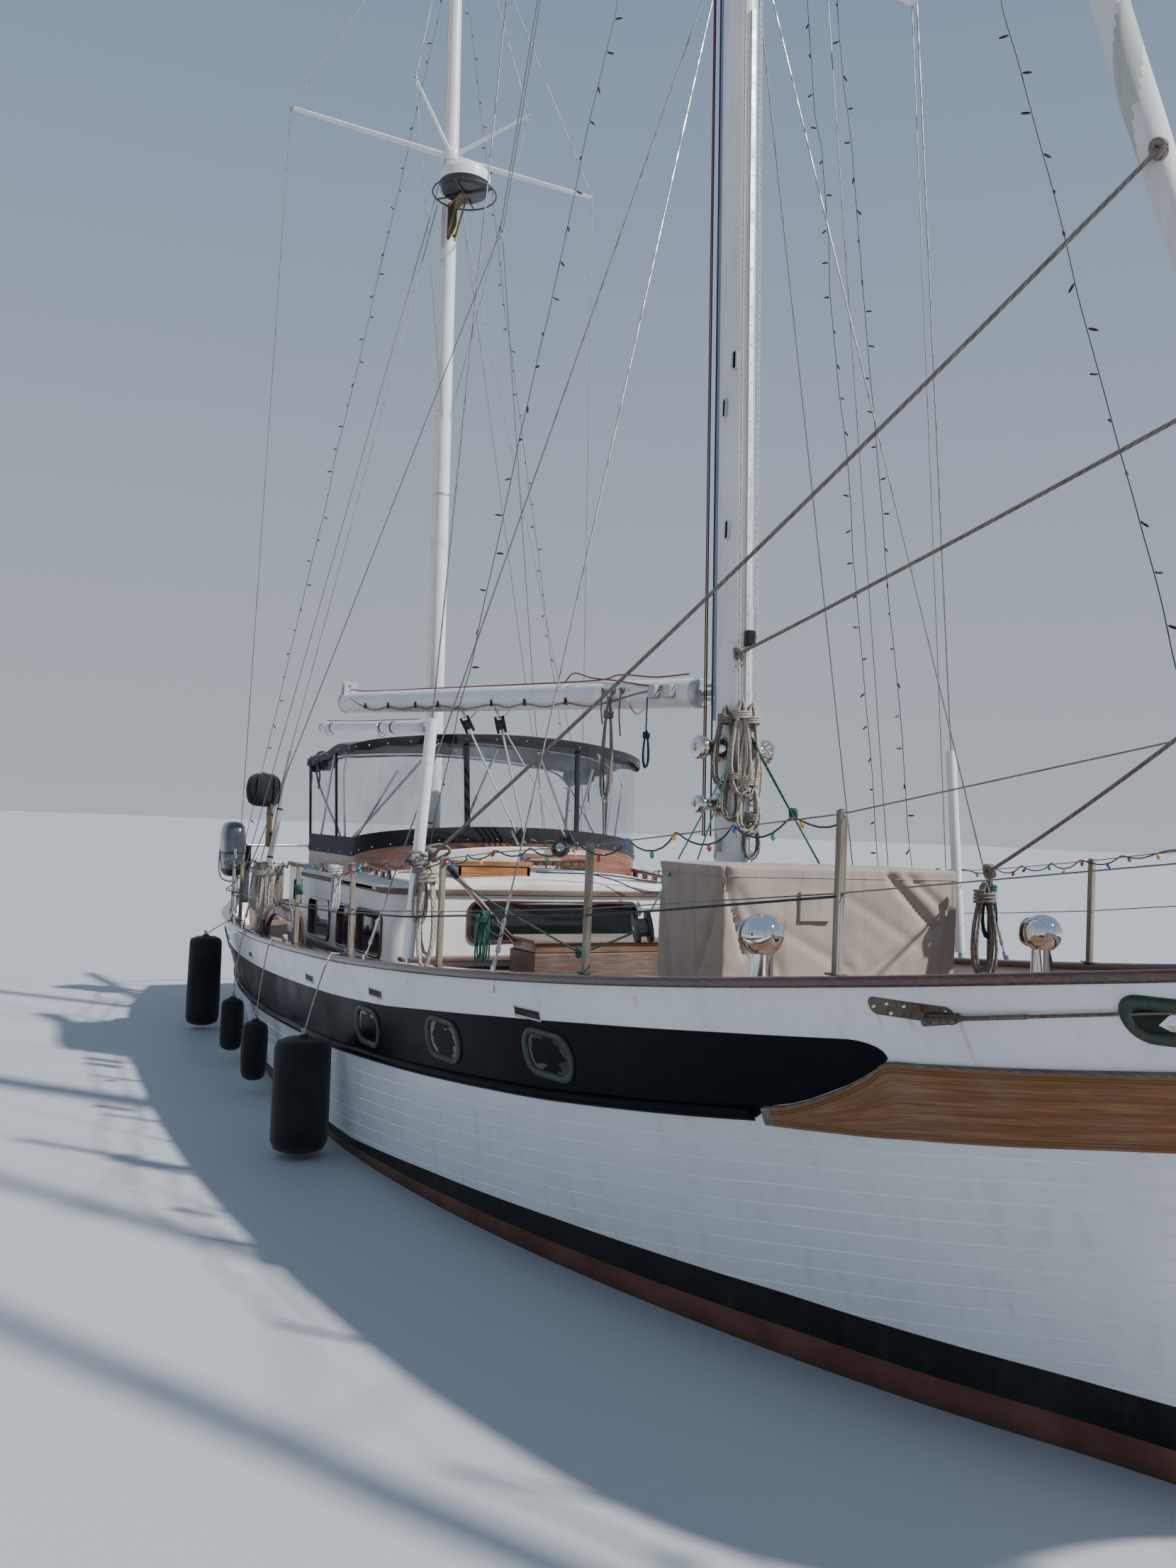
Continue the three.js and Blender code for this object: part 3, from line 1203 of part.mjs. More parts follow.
// Radar on a bracket in front of the mizzen mast
const RADAR = { z: 8800, radius: 262, height: 260, ahead: 420 };
const radarX = mastX(MIZZEN_X, RADAR.z) + RADAR.ahead;
const GUARD = { radius: 325, tube: 9, up: -142, arms: [40, 140, 220, 320] };
const guardRing = (() => {
  const g = new THREE.TorusGeometry(GUARD.radius, GUARD.tube, 6, 32);
  g.translate(radarX, 0, RADAR.z + GUARD.up);
  return solid(g);
})();
const guardArms = GUARD.arms.map((degrees) => {
  const a = (degrees * Math.PI) / 180;
  const at = (r, z) => V(radarX + r * Math.cos(a), r * Math.sin(a), z);
  const z = RADAR.z + GUARD.up;
  return polyline([at(10, z), at(GUARD.radius, z)], GUARD.tube, 6);
});
const radar = join(
  turned(
    [
      [0, -RADAR.height / 2],
      [RADAR.radius * 0.9, -RADAR.height / 2],
      [RADAR.radius, -RADAR.height * 0.2],
      [RADAR.radius, RADAR.height * 0.15],
      [RADAR.radius * 0.85, RADAR.height * 0.42],
      [0, RADAR.height / 2],
    ],
    V(radarX, 0, RADAR.z),
  ),
  box(mastX(MIZZEN_X, RADAR.z - 150) + MIZZEN.half + 6, radarX + 40, -60, 60, RADAR.z - 160, RADAR.z - 125),
  guardRing,
  guardArms,
);

// Backstays, which close up at a plate above the mizzen boom, and a plastic pipe on the foot of each cap shroud
const BACKSTAY = { foot: -4380, plateX: -2297, plateZ: 7822, apart: 14 };
const backstay = (side) =>
  polyline(
    [
      chainplate(BACKSTAY.foot, side),
      V(BACKSTAY.plateX, side * BACKSTAY.apart, BACKSTAY.plateZ),
      V(mastX(MAIN_X, MAIN_HEAD - 100) - 122, side * BACKSTAY.apart, MAIN_HEAD - 100),
    ],
    WIRE,
    6,
  );
const shroudPipe = (side) => {
  const foot = chainplate(MAIN_SHROUDS.get(side).cap, side);
  const head = V(mastX(MAIN_X, 8300) - 60, side * 1572, 8334);
  const at = (z) => foot.clone().lerp(head, (z - foot.z) / (head.z - foot.z));
  return cut(
    bar(at(foot.z + 58), at(foot.z + 1470), 36, 36, 14),
    bar(at(foot.z), at(foot.z + 1500), WIRE + 4, WIRE + 4, 8),
  );
};

// Outboard motor clamped on the stern rail, a pole beside it with a bag and a board, and fenders
const MOTOR = { x: -6350, y: -1400, halfX: 250, halfY: 130 };
const COWL = [
  // height, share of the breadths
  [1470, 0.55],
  [1520, 0.86],
  [1660, 1],
  [1960, 0.97],
  [2060, 0.84],
  [2110, 0.45],
];
const cowl = loft(
  COWL.map(([z, k]) =>
    roundedRect(2 * MOTOR.halfX * k, 2 * MOTOR.halfY * k, 80 * k).map(([x, y]) => V(MOTOR.x + x, MOTOR.y + y, z)),
  ),
);
const motor = cut(
  join(cowl, box(-6420, -6325, -1330, -1180, 1540, 1840), box(-6410, -6325, -1290, -1190, 1170, 1560)),
  railing(1),
);
const POLE = { foot: V(-5900, -1195, 860), head: V(-5900, -870, 2950), radius: 36 };
const pole = cut(
  join(
    bar(POLE.foot, POLE.head, POLE.radius, POLE.radius, 12),
    box(-6110, -5890, -1360, -940, 2300, 2680),
    box(-6080, -5905, -1085, -1055, 1830, 2400),
  ),
  deckCutter,
);
const FENDERS = [
  // x, centre height, radius, half length
  [400, 410, 195, 350],
  [-1500, 350, 110, 210],
  [-2800, 345, 107, 205],
  [-4600, 500, 172, 430],
];
const fender = ([x, z, r, halfLength]) => {
  const s = station(x);
  const y = -(sideHalf(s, z + halfLength) + r + 60);
  return turned(
    [
      [0, -halfLength - 40],
      [40, -halfLength - 40],
      [r, -halfLength + 60],
      [r, halfLength - 60],
      [40, halfLength + 40],
      [0, halfLength + 40],
    ],
    V(x, y, z),
    16,
  );
};

// The whole boat
const yacht = new THREE.Group();
function add(name, body, material) {
  const m = body.getMesh();
  const g = new THREE.BufferGeometry();
  const positions = new Float32Array(m.numVert * 3);
  for (let i = 0; i < m.numVert; i++) {
    positions.set(m.vertProperties.subarray(i * m.numProp, i * m.numProp + 3), i * 3);
  }
  g.setAttribute("position", new THREE.BufferAttribute(positions, 3));
  g.setIndex(new THREE.BufferAttribute(new Uint32Array(m.triVerts), 1));
  g.computeVertexNormals();
  const mesh = new THREE.Mesh(g, material);
  mesh.name = name;
  yacht.add(mesh);
}

add("hull", join(hull, foreFrame, windlass, SIDES.map(([, side]) => seat(side))), WHITE);
add("keel", keel, ANTIFOULING);
add("rudder", rudder, ANTIFOULING);
add("propeller", propeller, BRONZE);
for (const [name, side] of SIDES) {
  add("cap_rail_" + name, cut(capRail(side), taffrailCutter), CAP_WOOD);
  add("rub_strake_" + name, strake(side), BLACK);
  add("name_board_" + name, nameBoard(side), TEAK);
  add("vent_cowl_" + name, vent(side), STEEL);
  add("lifelines_" + name, lifelines(side), STEEL);
  add("main_shrouds_" + name, mainShrouds(side), STEEL);
  add("mizzen_shrouds_" + name, mizzenShrouds(side), STEEL);
  add("backstay_" + name, cut(backstay(side), capCutter), STEEL);
  add("shroud_pipe_" + name, shroudPipe(side), WHITE);
  add("whisker_stay_" + name, whisker(side), STEEL);
  add("seat_cushion_" + name, cushion(side), TAN);
}
add("taffrail", taffrail, CAP_WOOD);
add("bowsprit", join(sprit, platform, anchor), TEAK);
add("bobstay", bobstay, STEEL);
add("bow_pulpit", pulpit, STEEL);
add("deckhouse", deckhouse, CREAM);
add("deckhouse_glazing", glazing, GLASS);
add("deckhouse_roof", join(roof, SIDES.map(([, side]) => sideTop(side)), seaHood, travellerBeam), CREAM);
add("roof_hatch", roofHatch, TEAK);
add("companion_slide", slideHatch, TEAK);
add("cockpit_coaming", coaming, TEAK);
add("steering_pedestal", pedestal, WHITE);
add("steering_wheel", steeringWheel, STEEL);
add("enclosure_top", canopy, BLACK);
add("enclosure_panels", join(panels, posts, skirt), CLEAR);
add("canopy_bows", canopyBows, STEEL);
add("aft_cabin", aftCabin, CREAM);
add("fore_hatch_lid", foreHatch, TEAK);
add("foredeck_cover", cover, TAN);
add("deck_box", deckBox, TEAK);
add("stern_rail", sternRail, STEEL);
add("main_mast", mainMast, WHITE);
add("mizzen_mast", mizzenMast, WHITE);
add(
  "mizzen_spreaders",
  spreaders(mizzenCutter, MIZZEN_X, MIZZEN_SPREADER.z, MIZZEN_SPREADER.reach, MIZZEN.half, MIZZEN.half, 40, jumpers),
  WHITE,
);
add("main_boom", mainBoom, WHITE);
add("mizzen_boom", mizzenBoom, WHITE);
add("furled_staysail", staysail, SAIL);
add("furled_genoa", genoa, SAIL);
add("radar", radar, WHITE);
add("outboard_motor", motor, BLACK);
add("stern_pole", pole, GREY_WOOD);
FENDERS.forEach((row, i) => add("fender_" + (i + 1), fender(row), BLACK));

export default yacht;
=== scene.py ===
"""A centre-cockpit ketch afloat at its waterline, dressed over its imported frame.

Metres; +X forward, +Y to port, +Z up; the origin is on the waterline, amidships.
"""

import math
import random

import bmesh
import bpy
from mathutils import Matrix, Vector, noise


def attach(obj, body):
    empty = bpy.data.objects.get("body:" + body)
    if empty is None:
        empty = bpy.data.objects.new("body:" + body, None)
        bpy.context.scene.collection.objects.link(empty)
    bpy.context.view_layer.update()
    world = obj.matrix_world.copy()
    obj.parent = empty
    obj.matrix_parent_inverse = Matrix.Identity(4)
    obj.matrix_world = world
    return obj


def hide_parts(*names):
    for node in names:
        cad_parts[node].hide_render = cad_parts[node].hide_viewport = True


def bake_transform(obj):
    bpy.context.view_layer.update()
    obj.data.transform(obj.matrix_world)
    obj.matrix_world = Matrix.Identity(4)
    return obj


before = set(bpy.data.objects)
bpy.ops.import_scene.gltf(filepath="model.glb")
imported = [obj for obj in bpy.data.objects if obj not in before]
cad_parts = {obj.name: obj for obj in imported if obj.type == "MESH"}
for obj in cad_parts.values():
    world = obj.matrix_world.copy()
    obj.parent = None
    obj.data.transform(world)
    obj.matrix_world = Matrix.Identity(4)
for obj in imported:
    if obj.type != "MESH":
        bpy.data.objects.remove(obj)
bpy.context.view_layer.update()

STARBOARD, PORT = -1, 1
SIDES = (("starboard", STARBOARD), ("port", PORT))
BOAT = "yacht"
UP = Vector((0, 0, 1))


# Camera: where the photograph was taken from

EYE = Vector((8.521, -4.43, 2.249))
LOOK_TURN, LOOK_ROLL, LOOK_PITCH = (math.radians(a) for a in (27.344, 2.28, 1.832))
LENS_MM, SENSOR_MM = 28.51, 36


def set_camera():
    ahead = Vector((-math.cos(LOOK_TURN), math.sin(LOOK_TURN), math.tan(LOOK_PITCH))).normalized()
    right = Vector((math.sin(LOOK_TURN), math.cos(LOOK_TURN), 0))
    up = right.cross(ahead)
    across = right * math.cos(LOOK_ROLL) + up * math.sin(LOOK_ROLL)
    upward = up * math.cos(LOOK_ROLL) - right * math.sin(LOOK_ROLL)
    data = bpy.data.cameras.new("camera")
    data.lens = LENS_MM
    data.sensor_width = SENSOR_MM
    camera = bpy.data.objects.new("camera", data)
    bpy.context.scene.collection.objects.link(camera)
    turn = Matrix((across, upward, -ahead)).transposed().to_4x4()
    camera.matrix_world = Matrix.Translation(EYE) @ turn
    bpy.context.scene.camera = camera


set_camera()


# Shader nodes


def node(tree, kind, inputs=None, **settings):
    """A node with its settings, its inputs given as values or as the sockets that feed them."""
    made = tree.nodes.new(kind)
    for name, value in settings.items():
        setattr(made, name, value)
    for name, value in (inputs or {}).items():
        if isinstance(value, bpy.types.NodeSocket):
            tree.links.new(value, made.inputs[name])
        else:
            made.inputs[name].default_value = value
    return made


def math_node(tree, operation, a, b=0.0):
    return node(tree, "ShaderNodeMath", {0: a, 1: b}, operation=operation).outputs[0]


def ramp(tree, value, low, high):
    """The value's range low to high as 0 to 1."""
    inputs = {"Value": value, "From Min": low, "From Max": high}
    return node(tree, "ShaderNodeMapRange", inputs, clamp=True).outputs["Result"]


def mixed(tree, share, a, b):
    made = node(tree, "ShaderNodeMix", data_type="RGBA")
    for name, value in (("Factor", share), ("A", a), ("B", b)):
        socket = next(s for s in made.inputs if s.name == name and s.enabled)
        if isinstance(value, bpy.types.NodeSocket):
            tree.links.new(value, socket)
        else:
            socket.default_value = value if name == "Factor" else (*value, 1)
    return next(s for s in made.outputs if s.enabled)


def stretched(tree, vector, scale):
    return node(tree, "ShaderNodeMapping", {"Vector": vector, "Scale": scale}).outputs[0]


def noisy(tree, vector, scale, detail=3.0):
    inputs = {"Vector": vector, "Scale": scale, "Detail": detail}
    return node(tree, "ShaderNodeTexNoise", inputs).outputs[0]


def effect_group(name, sockets_in, sockets_out):
    """An empty group of nodes with named sockets, and its two ends."""
    tree = bpy.data.node_groups.new(name, "ShaderNodeTree")
    for socket, kind, value in sockets_in:
        made = tree.interface.new_socket(socket, in_out="INPUT", socket_type=kind)
        made.default_value = value
    for socket in sockets_out:
        tree.interface.new_socket(socket, in_out="OUTPUT", socket_type="NodeSocketFloat")
    return tree, tree.nodes.new("NodeGroupInput"), tree.nodes.new("NodeGroupOutput")


def salt_and_rain():
    """Blotches, streaks that run down, and specks."""
    tree, given, out = effect_group(
        "salt_and_rain",
        [("Scale", "NodeSocketFloat", 1.0)],
        ["Blotch", "Streak", "Speck"],
    )
    place = node(tree, "ShaderNodeTexCoord").outputs["Object"]
    scaled = node(
        tree, "ShaderNodeVectorMath", {0: place, "Scale": given.outputs["Scale"]}, operation="SCALE"
    ).outputs[0]
    blotch = ramp(tree, noisy(tree, scaled, 1.7, 5.0), 0.38, 0.66)
    drips = noisy(tree, stretched(tree, scaled, (9, 9, 0.55)), 1.6, 4.0)
    specks = noisy(tree, scaled, 34.0, 2.0)
    tree.links.new(blotch, out.inputs["Blotch"])
    tree.links.new(ramp(tree, drips, 0.52, 0.72), out.inputs["Streak"])
    tree.links.new(ramp(tree, specks, 0.66, 0.75), out.inputs["Speck"])
    return tree


def wood_grain():
    """Long fibres, darker bands and pores along the vector's X."""
    tree, given, out = effect_group(
        "wood_grain", [("Vector", "NodeSocketVector", (0, 0, 0))], ["Fibre", "Band", "Pore"]
    )
    place = given.outputs["Vector"]
    warp = noisy(tree, stretched(tree, place, (1.2, 5, 5)), 1.0, 2.0)
    fibre = noisy(tree, stretched(tree, place, (2.2, 60, 60)), 2.0, 5.0)
    rings = node(
        tree,
        "ShaderNodeTexWave",
        {
            "Vector": stretched(tree, place, (0.25, 9, 9)),
            "Scale": 1.4,
            "Distortion": 5.5,
            "Detail": 2.0,
        },
        bands_direction="DIAGONAL",
    ).outputs["Fac"]
    band = math_node(tree, "MULTIPLY", rings, warp)
    pores = noisy(tree, stretched(tree, place, (9, 260, 260)), 1.5, 1.0)
    tree.links.new(ramp(tree, fibre, 0.3, 0.7), out.inputs["Fibre"])
    tree.links.new(ramp(tree, band, 0.12, 0.5), out.inputs["Band"])
    tree.links.new(ramp(tree, pores, 0.55, 0.72), out.inputs["Pore"])
    return tree


def cloth_weave():
    """Two sets of threads over and under each other, and the slow puckers between them."""
    tree, given, out = effect_group(
        "cloth_weave",
        [("Vector", "NodeSocketVector", (0, 0, 0)), ("Threads", "NodeSocketFloat", 900.0)],
        ["Height", "Thread"],
    )
    place = given.outputs["Vector"]
    parts = node(tree, "ShaderNodeSeparateXYZ", {0: place})
    waves = []
    for a, b in (("X", "Y"), ("Z", "Y"), ("X", "Z")):
        one = math_node(tree, "MULTIPLY", parts.outputs[a], given.outputs["Threads"])
        other = math_node(tree, "MULTIPLY", parts.outputs[b], given.outputs["Threads"])
        waves.append(
            math_node(
                tree, "MULTIPLY", math_node(tree, "SINE", one), math_node(tree, "SINE", other)
            )
        )
    total = math_node(tree, "ADD", math_node(tree, "ADD", waves[0], waves[1]), waves[2])
    thread = ramp(tree, total, -1.5, 1.5)
    fuzz = noisy(tree, place, 160.0, 3.0)
    tree.links.new(math_node(tree, "ADD", thread, fuzz), out.inputs["Height"])
    tree.links.new(thread, out.inputs["Thread"])
    return tree


def rope_lay():
    """Strands laid round a rope: U runs along it in metres and V once round it."""
    tree, given, out = effect_group(
        "rope_lay",
        [("Pitch", "NodeSocketFloat", 0.05), ("Strands", "NodeSocketFloat", 3.0)],
        ["Height", "Tone"],
    )
    parts = node(tree, "ShaderNodeSeparateXYZ", {0: node(tree, "ShaderNodeTexCoord").outputs["UV"]})
    turns = math_node(tree, "DIVIDE", parts.outputs["X"], given.outputs["Pitch"])
    around = math_node(tree, "MULTIPLY", parts.outputs["Y"], given.outputs["Strands"])
    saw = math_node(tree, "FRACT", math_node(tree, "ADD", turns, around))
    crown = math_node(tree, "SINE", math_node(tree, "MULTIPLY", saw, math.pi))
    tone = noisy(tree, stretched(tree, parts.inputs[0].links[0].from_socket, (14, 3, 1)), 1.0, 4.0)
    tree.links.new(crown, out.inputs["Height"])
    tree.links.new(ramp(tree, tone, 0.3, 0.7), out.inputs["Tone"])
    return tree


SALT, GRAIN, WEAVE, LAY = salt_and_rain(), wood_grain(), cloth_weave(), rope_lay()


def use(tree, group, inputs=None):
    return node(tree, "ShaderNodeGroup", inputs, node_tree=group).outputs


def new_material(name, rough, metal=0.0, coat=0.0, coat_rough=0.08, **constants):
    """A material with its plain values set on the shader itself, and that shader."""
    material = bpy.data.materials.new(name)
    material.use_nodes = True
    shader = material.node_tree.nodes["Principled BSDF"]
    shader.inputs["Roughness"].default_value = rough
    shader.inputs["Metallic"].default_value = metal
    shader.inputs["Coat Weight"].default_value = coat
    shader.inputs["Coat Roughness"].default_value = coat_rough
    for socket, value in constants.items():
        shader.inputs[socket.replace("_", " ")].default_value = value
    return material, material.node_tree, shader


def feed(tree, shader, **sockets):
    for name, value in sockets.items():
        tree.links.new(value, shader.inputs[name.replace("_", " ")])


def raised(tree, height, distance, strength=1.0, under=None):
    inputs = {"Height": height, "Distance": distance, "Strength": strength}
    if under is not None:
        inputs["Normal"] = under
    return node(tree, "ShaderNodeBump", inputs).outputs[0]


def painted(name, colour, aged, rough, dirt=0.5, coat=0.3, metal=0.0, scale=1.0, dimple=0.0):
    """Paint, gelcoat, plastic or metal that salt and rain have marked."""
    material, tree, shader = new_material(name, rough, metal, coat)
    marks = use(tree, SALT, {"Scale": scale})
    worn = math_node(
        tree,
        "MULTIPLY",
        math_node(tree, "ADD", marks["Blotch"], math_node(tree, "MULTIPLY", marks["Streak"], 0.8)),
        dirt,
    )
    base = mixed(tree, worn, colour, aged)
    gloss = node(
        tree,
        "ShaderNodeMapRange",
        {"Value": marks["Blotch"], "To Min": rough * 0.8, "To Max": min(1, rough * 1.5 + 0.04)},
    ).outputs[0]
    feed(tree, shader, Base_Color=base, Roughness=gloss)
    place = node(tree, "ShaderNodeTexCoord").outputs["Object"]
    orange_peel = noisy(tree, place, 55.0, 2.0)
    feed(tree, shader, Normal=raised(tree, orange_peel, 0.0006 + dimple, 0.35))
    return material


GRAIN_TURN = {"X": (0, 0, 0), "Y": (0, 0, math.pi / 2), "Z": (0, math.pi / 2, 0)}


def wooden(name, light, dark, along="X", rough=0.3, coat=0.6, worn=0.25, grey=(0.3, 0.27, 0.23)):
    """Wood with its grain along one axis, varnished or bare, and greyed where it is worn."""
    material, tree, shader = new_material(name, rough, 0.0, coat, 0.12)
    place = node(tree, "ShaderNodeTexCoord").outputs["Object"]
    if along == "U":
        place = stretched(tree, node(tree, "ShaderNodeTexCoord").outputs["UV"], (1, 1.2, 1))
        along = "X"
    turned = node(
        tree, "ShaderNodeMapping", {"Vector": place, "Rotation": GRAIN_TURN[along]}
    ).outputs[0]
    grain = use(tree, GRAIN, {"Vector": turned})
    marks = use(tree, SALT, {"Scale": 2.3})
    base = mixed(tree, grain["Fibre"], dark, light)
    base = mixed(tree, math_node(tree, "MULTIPLY", grain["Band"], 0.55), base, dark)
    base = mixed(tree, math_node(tree, "MULTIPLY", grain["Pore"], 0.5), base, dark)
    bare = math_node(tree, "MULTIPLY", math_node(tree, "MULTIPLY", marks["Blotch"], grain["Fibre"]), worn)
    base = mixed(tree, bare, base, grey)
    gloss = node(
        tree,
        "ShaderNodeMapRange",
        {"Value": bare, "To Min": rough, "To Max": 0.9},
    ).outputs[0]
    height = math_node(tree, "SUBTRACT", grain["Fibre"], grain["Pore"])
    feed(tree, shader, Base_Color=base, Roughness=gloss, Normal=raised(tree, height, 0.0007, 0.5))
    return material


def woven(name, colour, faded, threads=900.0, rough=0.92, blotch=0.6, depth=0.0006):
    """Cloth with its threads, faded in patches and stained where rain has run."""
    material, tree, shader = new_material(name, rough, Sheen_Weight=0.25, Sheen_Roughness=0.5)
    place = node(tree, "ShaderNodeTexCoord").outputs["Object"]
    cloth = use(tree, WEAVE, {"Vector": place, "Threads": threads})
    marks = use(tree, SALT, {"Scale": 1.6})
    base = mixed(tree, math_node(tree, "MULTIPLY", marks["Blotch"], blotch), colour, faded)
    base = mixed(tree, math_node(tree, "MULTIPLY", cloth["Thread"], 0.25), base, faded)
    stains = math_node(tree, "MULTIPLY", marks["Streak"], 0.25)
    base = mixed(tree, stains, base, tuple(c * 0.55 for c in colour))
    feed(tree, shader, Base_Color=base, Normal=raised(tree, cloth["Height"], depth, 0.6))
    return material


def roped(name, colour, dirt_and_shade, pitch=0.045, strands=3.0, rough=0.85, depth=0.0025):
    """Rope with painted shade in the grooves between its strands, dirtier in places."""
    material, tree, shader = new_material(name, rough, Sheen_Weight=0.2, Sheen_Roughness=0.5)
    lay = use(tree, LAY, {"Pitch": pitch, "Strands": strands})
    base = mixed(tree, lay["Tone"], colour, dirt_and_shade)
    # Painted shade: the grooves between the strands are darkened by their depth.
    shade = math_node(tree, "SUBTRACT", 1.0, lay["Height"])
    base = mixed(tree, math_node(tree, "MULTIPLY", shade, 0.55), base, tuple(c * 0.3 for c in dirt_and_shade))
    feed(tree, shader, Base_Color=base, Normal=raised(tree, lay["Height"], depth, 0.8))
    return material


def steel(name, colour=(0.62, 0.63, 0.65), rough=0.14, rust=0.25, scale=2.0):
    """Bright metal with fine scratches and specks of rust."""
    material, tree, shader = new_material(name, rough, 1.0)
    marks = use(tree, SALT, {"Scale": scale})
    spots = math_node(tree, "MULTIPLY", math_node(tree, "MAXIMUM", marks["Speck"], marks["Streak"]), rust)
    base = mixed(tree, spots, colour, (0.22, 0.1, 0.04))
    gloss = math_node(tree, "ADD", math_node(tree, "MULTIPLY", marks["Blotch"], rough), rough * 0.6)
    gloss = math_node(tree, "ADD", gloss, math_node(tree, "MULTIPLY", spots, 0.4))
    place = node(tree, "ShaderNodeTexCoord").outputs["Object"]
    scratch = noisy(tree, stretched(tree, place, (40, 40, 3)), 9.0, 2.0)
    feed(tree, shader, Base_Color=base, Roughness=gloss, Normal=raised(tree, scratch, 0.0002, 0.2))
    return material


def deck_planks():
    """Laid teak: planks along the boat with black caulking between them."""
    material, tree, shader = new_material("laid_teak", 0.7)
    place = node(tree, "ShaderNodeTexCoord").outputs["Object"]
    parts = node(tree, "ShaderNodeSeparateXYZ", {0: place})
    count = math_node(tree, "DIVIDE", parts.outputs["Y"], 0.058)
    across = math_node(tree, "FRACT", count)
    edge = math_node(tree, "MINIMUM", across, math_node(tree, "SUBTRACT", 1.0, across))
    caulk = math_node(tree, "SUBTRACT", 1.0, ramp(tree, edge, 0.035, 0.06))
    plank = math_node(tree, "FLOOR", count)
    seed = node(tree, "ShaderNodeTexWhiteNoise", {"W": plank}, noise_dimensions="1D").outputs["Value"]
    grain = use(tree, GRAIN, {"Vector": place})
    marks = use(tree, SALT, {"Scale": 1.5})
    base = mixed(tree, seed, (0.24, 0.13, 0.075), (0.16, 0.085, 0.05))
    base = mixed(tree, math_node(tree, "MULTIPLY", grain["Fibre"], 0.5), base, (0.11, 0.055, 0.03))
    base = mixed(tree, math_node(tree, "MULTIPLY", marks["Blotch"], 0.35), base, (0.3, 0.25, 0.2))
    base = mixed(tree, caulk, base, (0.012, 0.011, 0.01))
    height = math_node(tree, "SUBTRACT", math_node(tree, "MULTIPLY", grain["Fibre"], 0.3), caulk)
    feed(tree, shader, Base_Color=base, Normal=raised(tree, height, 0.0015, 0.6))
    return material


def bottom_paint():
    """Red-brown antifouling, slimy and scummed where the water laps at it."""
    material, tree, shader = new_material("bottom_paint", 0.8)
    place = node(tree, "ShaderNodeTexCoord").outputs["Object"]
    height = node(tree, "ShaderNodeSeparateXYZ", {0: place}).outputs["Z"]
    marks = use(tree, SALT, {"Scale": 2.0})
    base = mixed(tree, marks["Blotch"], (0.13, 0.045, 0.032), (0.2, 0.085, 0.06))
    ragged = math_node(tree, "ADD", height, math_node(tree, "MULTIPLY", noisy(tree, place, 9.0, 4.0), 0.06))
    slime = math_node(tree, "SUBTRACT", 1.0, ramp(tree, ragged, 0.02, 0.1))
    base = mixed(tree, math_node(tree, "MULTIPLY", slime, 0.7), base, (0.045, 0.05, 0.025))
    feed(tree, shader, Base_Color=base, Normal=raised(tree, noisy(tree, place, 70.0, 3.0), 0.002, 0.5))
    return material


def topside_paint():
    """White gelcoat: faint drips, and rust that runs down from the fittings."""
    material, tree, shader = new_material("topside_white", 0.24, 0.0, 0.35, 0.1)
    place = node(tree, "ShaderNodeTexCoord").outputs["Object"]
    parts = node(tree, "ShaderNodeSeparateXYZ", {0: place})
    marks = use(tree, SALT, {"Scale": 0.9})
    base = mixed(
        tree, math_node(tree, "MULTIPLY", marks["Blotch"], 0.5), (0.79, 0.81, 0.82), (0.72, 0.74, 0.74)
    )
    base = mixed(tree, math_node(tree, "MULTIPLY", marks["Streak"], 0.22), base, (0.52, 0.5, 0.43))
    for at, top, length, width in RUST_RUNS:
        aside = math_node(tree, "ABSOLUTE", math_node(tree, "SUBTRACT", parts.outputs["X"], at))
        wobble = math_node(
            tree, "MULTIPLY", noisy(tree, stretched(tree, place, (30, 30, 6)), 1.0, 3.0), width
        )
        narrow = math_node(
            tree,
            "SUBTRACT",
            1.0,
            ramp(tree, math_node(tree, "ADD", aside, wobble), width * 0.4, width * 1.3),
        )
        fall = ramp(tree, parts.outputs["Z"], top - length, top)
        below = math_node(tree, "LESS_THAN", parts.outputs["Z"], top)
        run = math_node(tree, "MULTIPLY", math_node(tree, "MULTIPLY", narrow, fall), below)
        base = mixed(tree, math_node(tree, "MULTIPLY", run, 0.65), base, (0.42, 0.25, 0.1))
    gloss = math_node(tree, "ADD", math_node(tree, "MULTIPLY", marks["Blotch"], 0.16), 0.16)
    fair = noisy(tree, stretched(tree, place, (1, 1, 3)), 2.5, 1.0)
    feed(tree, shader, Base_Color=base, Roughness=gloss, Normal=raised(tree, fair, 0.004, 0.25))
    return material


def see_through(name, colour, rough, alpha, cloud=0.0):
    """Glass or clear sheet, a little cloudy where salt has dried on it."""
    material, tree, shader = new_material(name, rough, 0.0, 0.6, 0.03)
    marks = use(tree, SALT, {"Scale": 1.3})
    haze = math_node(tree, "ADD", math_node(tree, "MULTIPLY", marks["Blotch"], cloud), alpha)
    haze = math_node(tree, "ADD", haze, math_node(tree, "MULTIPLY", marks["Streak"], cloud * 0.6))
    base = mixed(tree, marks["Blotch"], colour, tuple(min(1, c * 1.25) for c in colour))
    place = node(tree, "ShaderNodeTexCoord").outputs["Object"]
    ripple = noisy(tree, place, 3.0, 1.0)
    feed(tree, shader, Base_Color=base, Alpha=haze, Normal=raised(tree, ripple, 0.01, 0.3))
    return material


RUST_RUNS = [
    # x, top, length and half-width of each rusty run
    (5.3, 1.64, 0.26, 0.012),
    (5.0, 1.6, 0.1, 0.008),
    (5.12, 1.6, 0.05, 0.02),
    (5.95, 1.7, 0.18, 0.02),
    (3.75, 1.5, 0.07, 0.03),
    (1.1, 1.13, 0.16, 0.03),
]

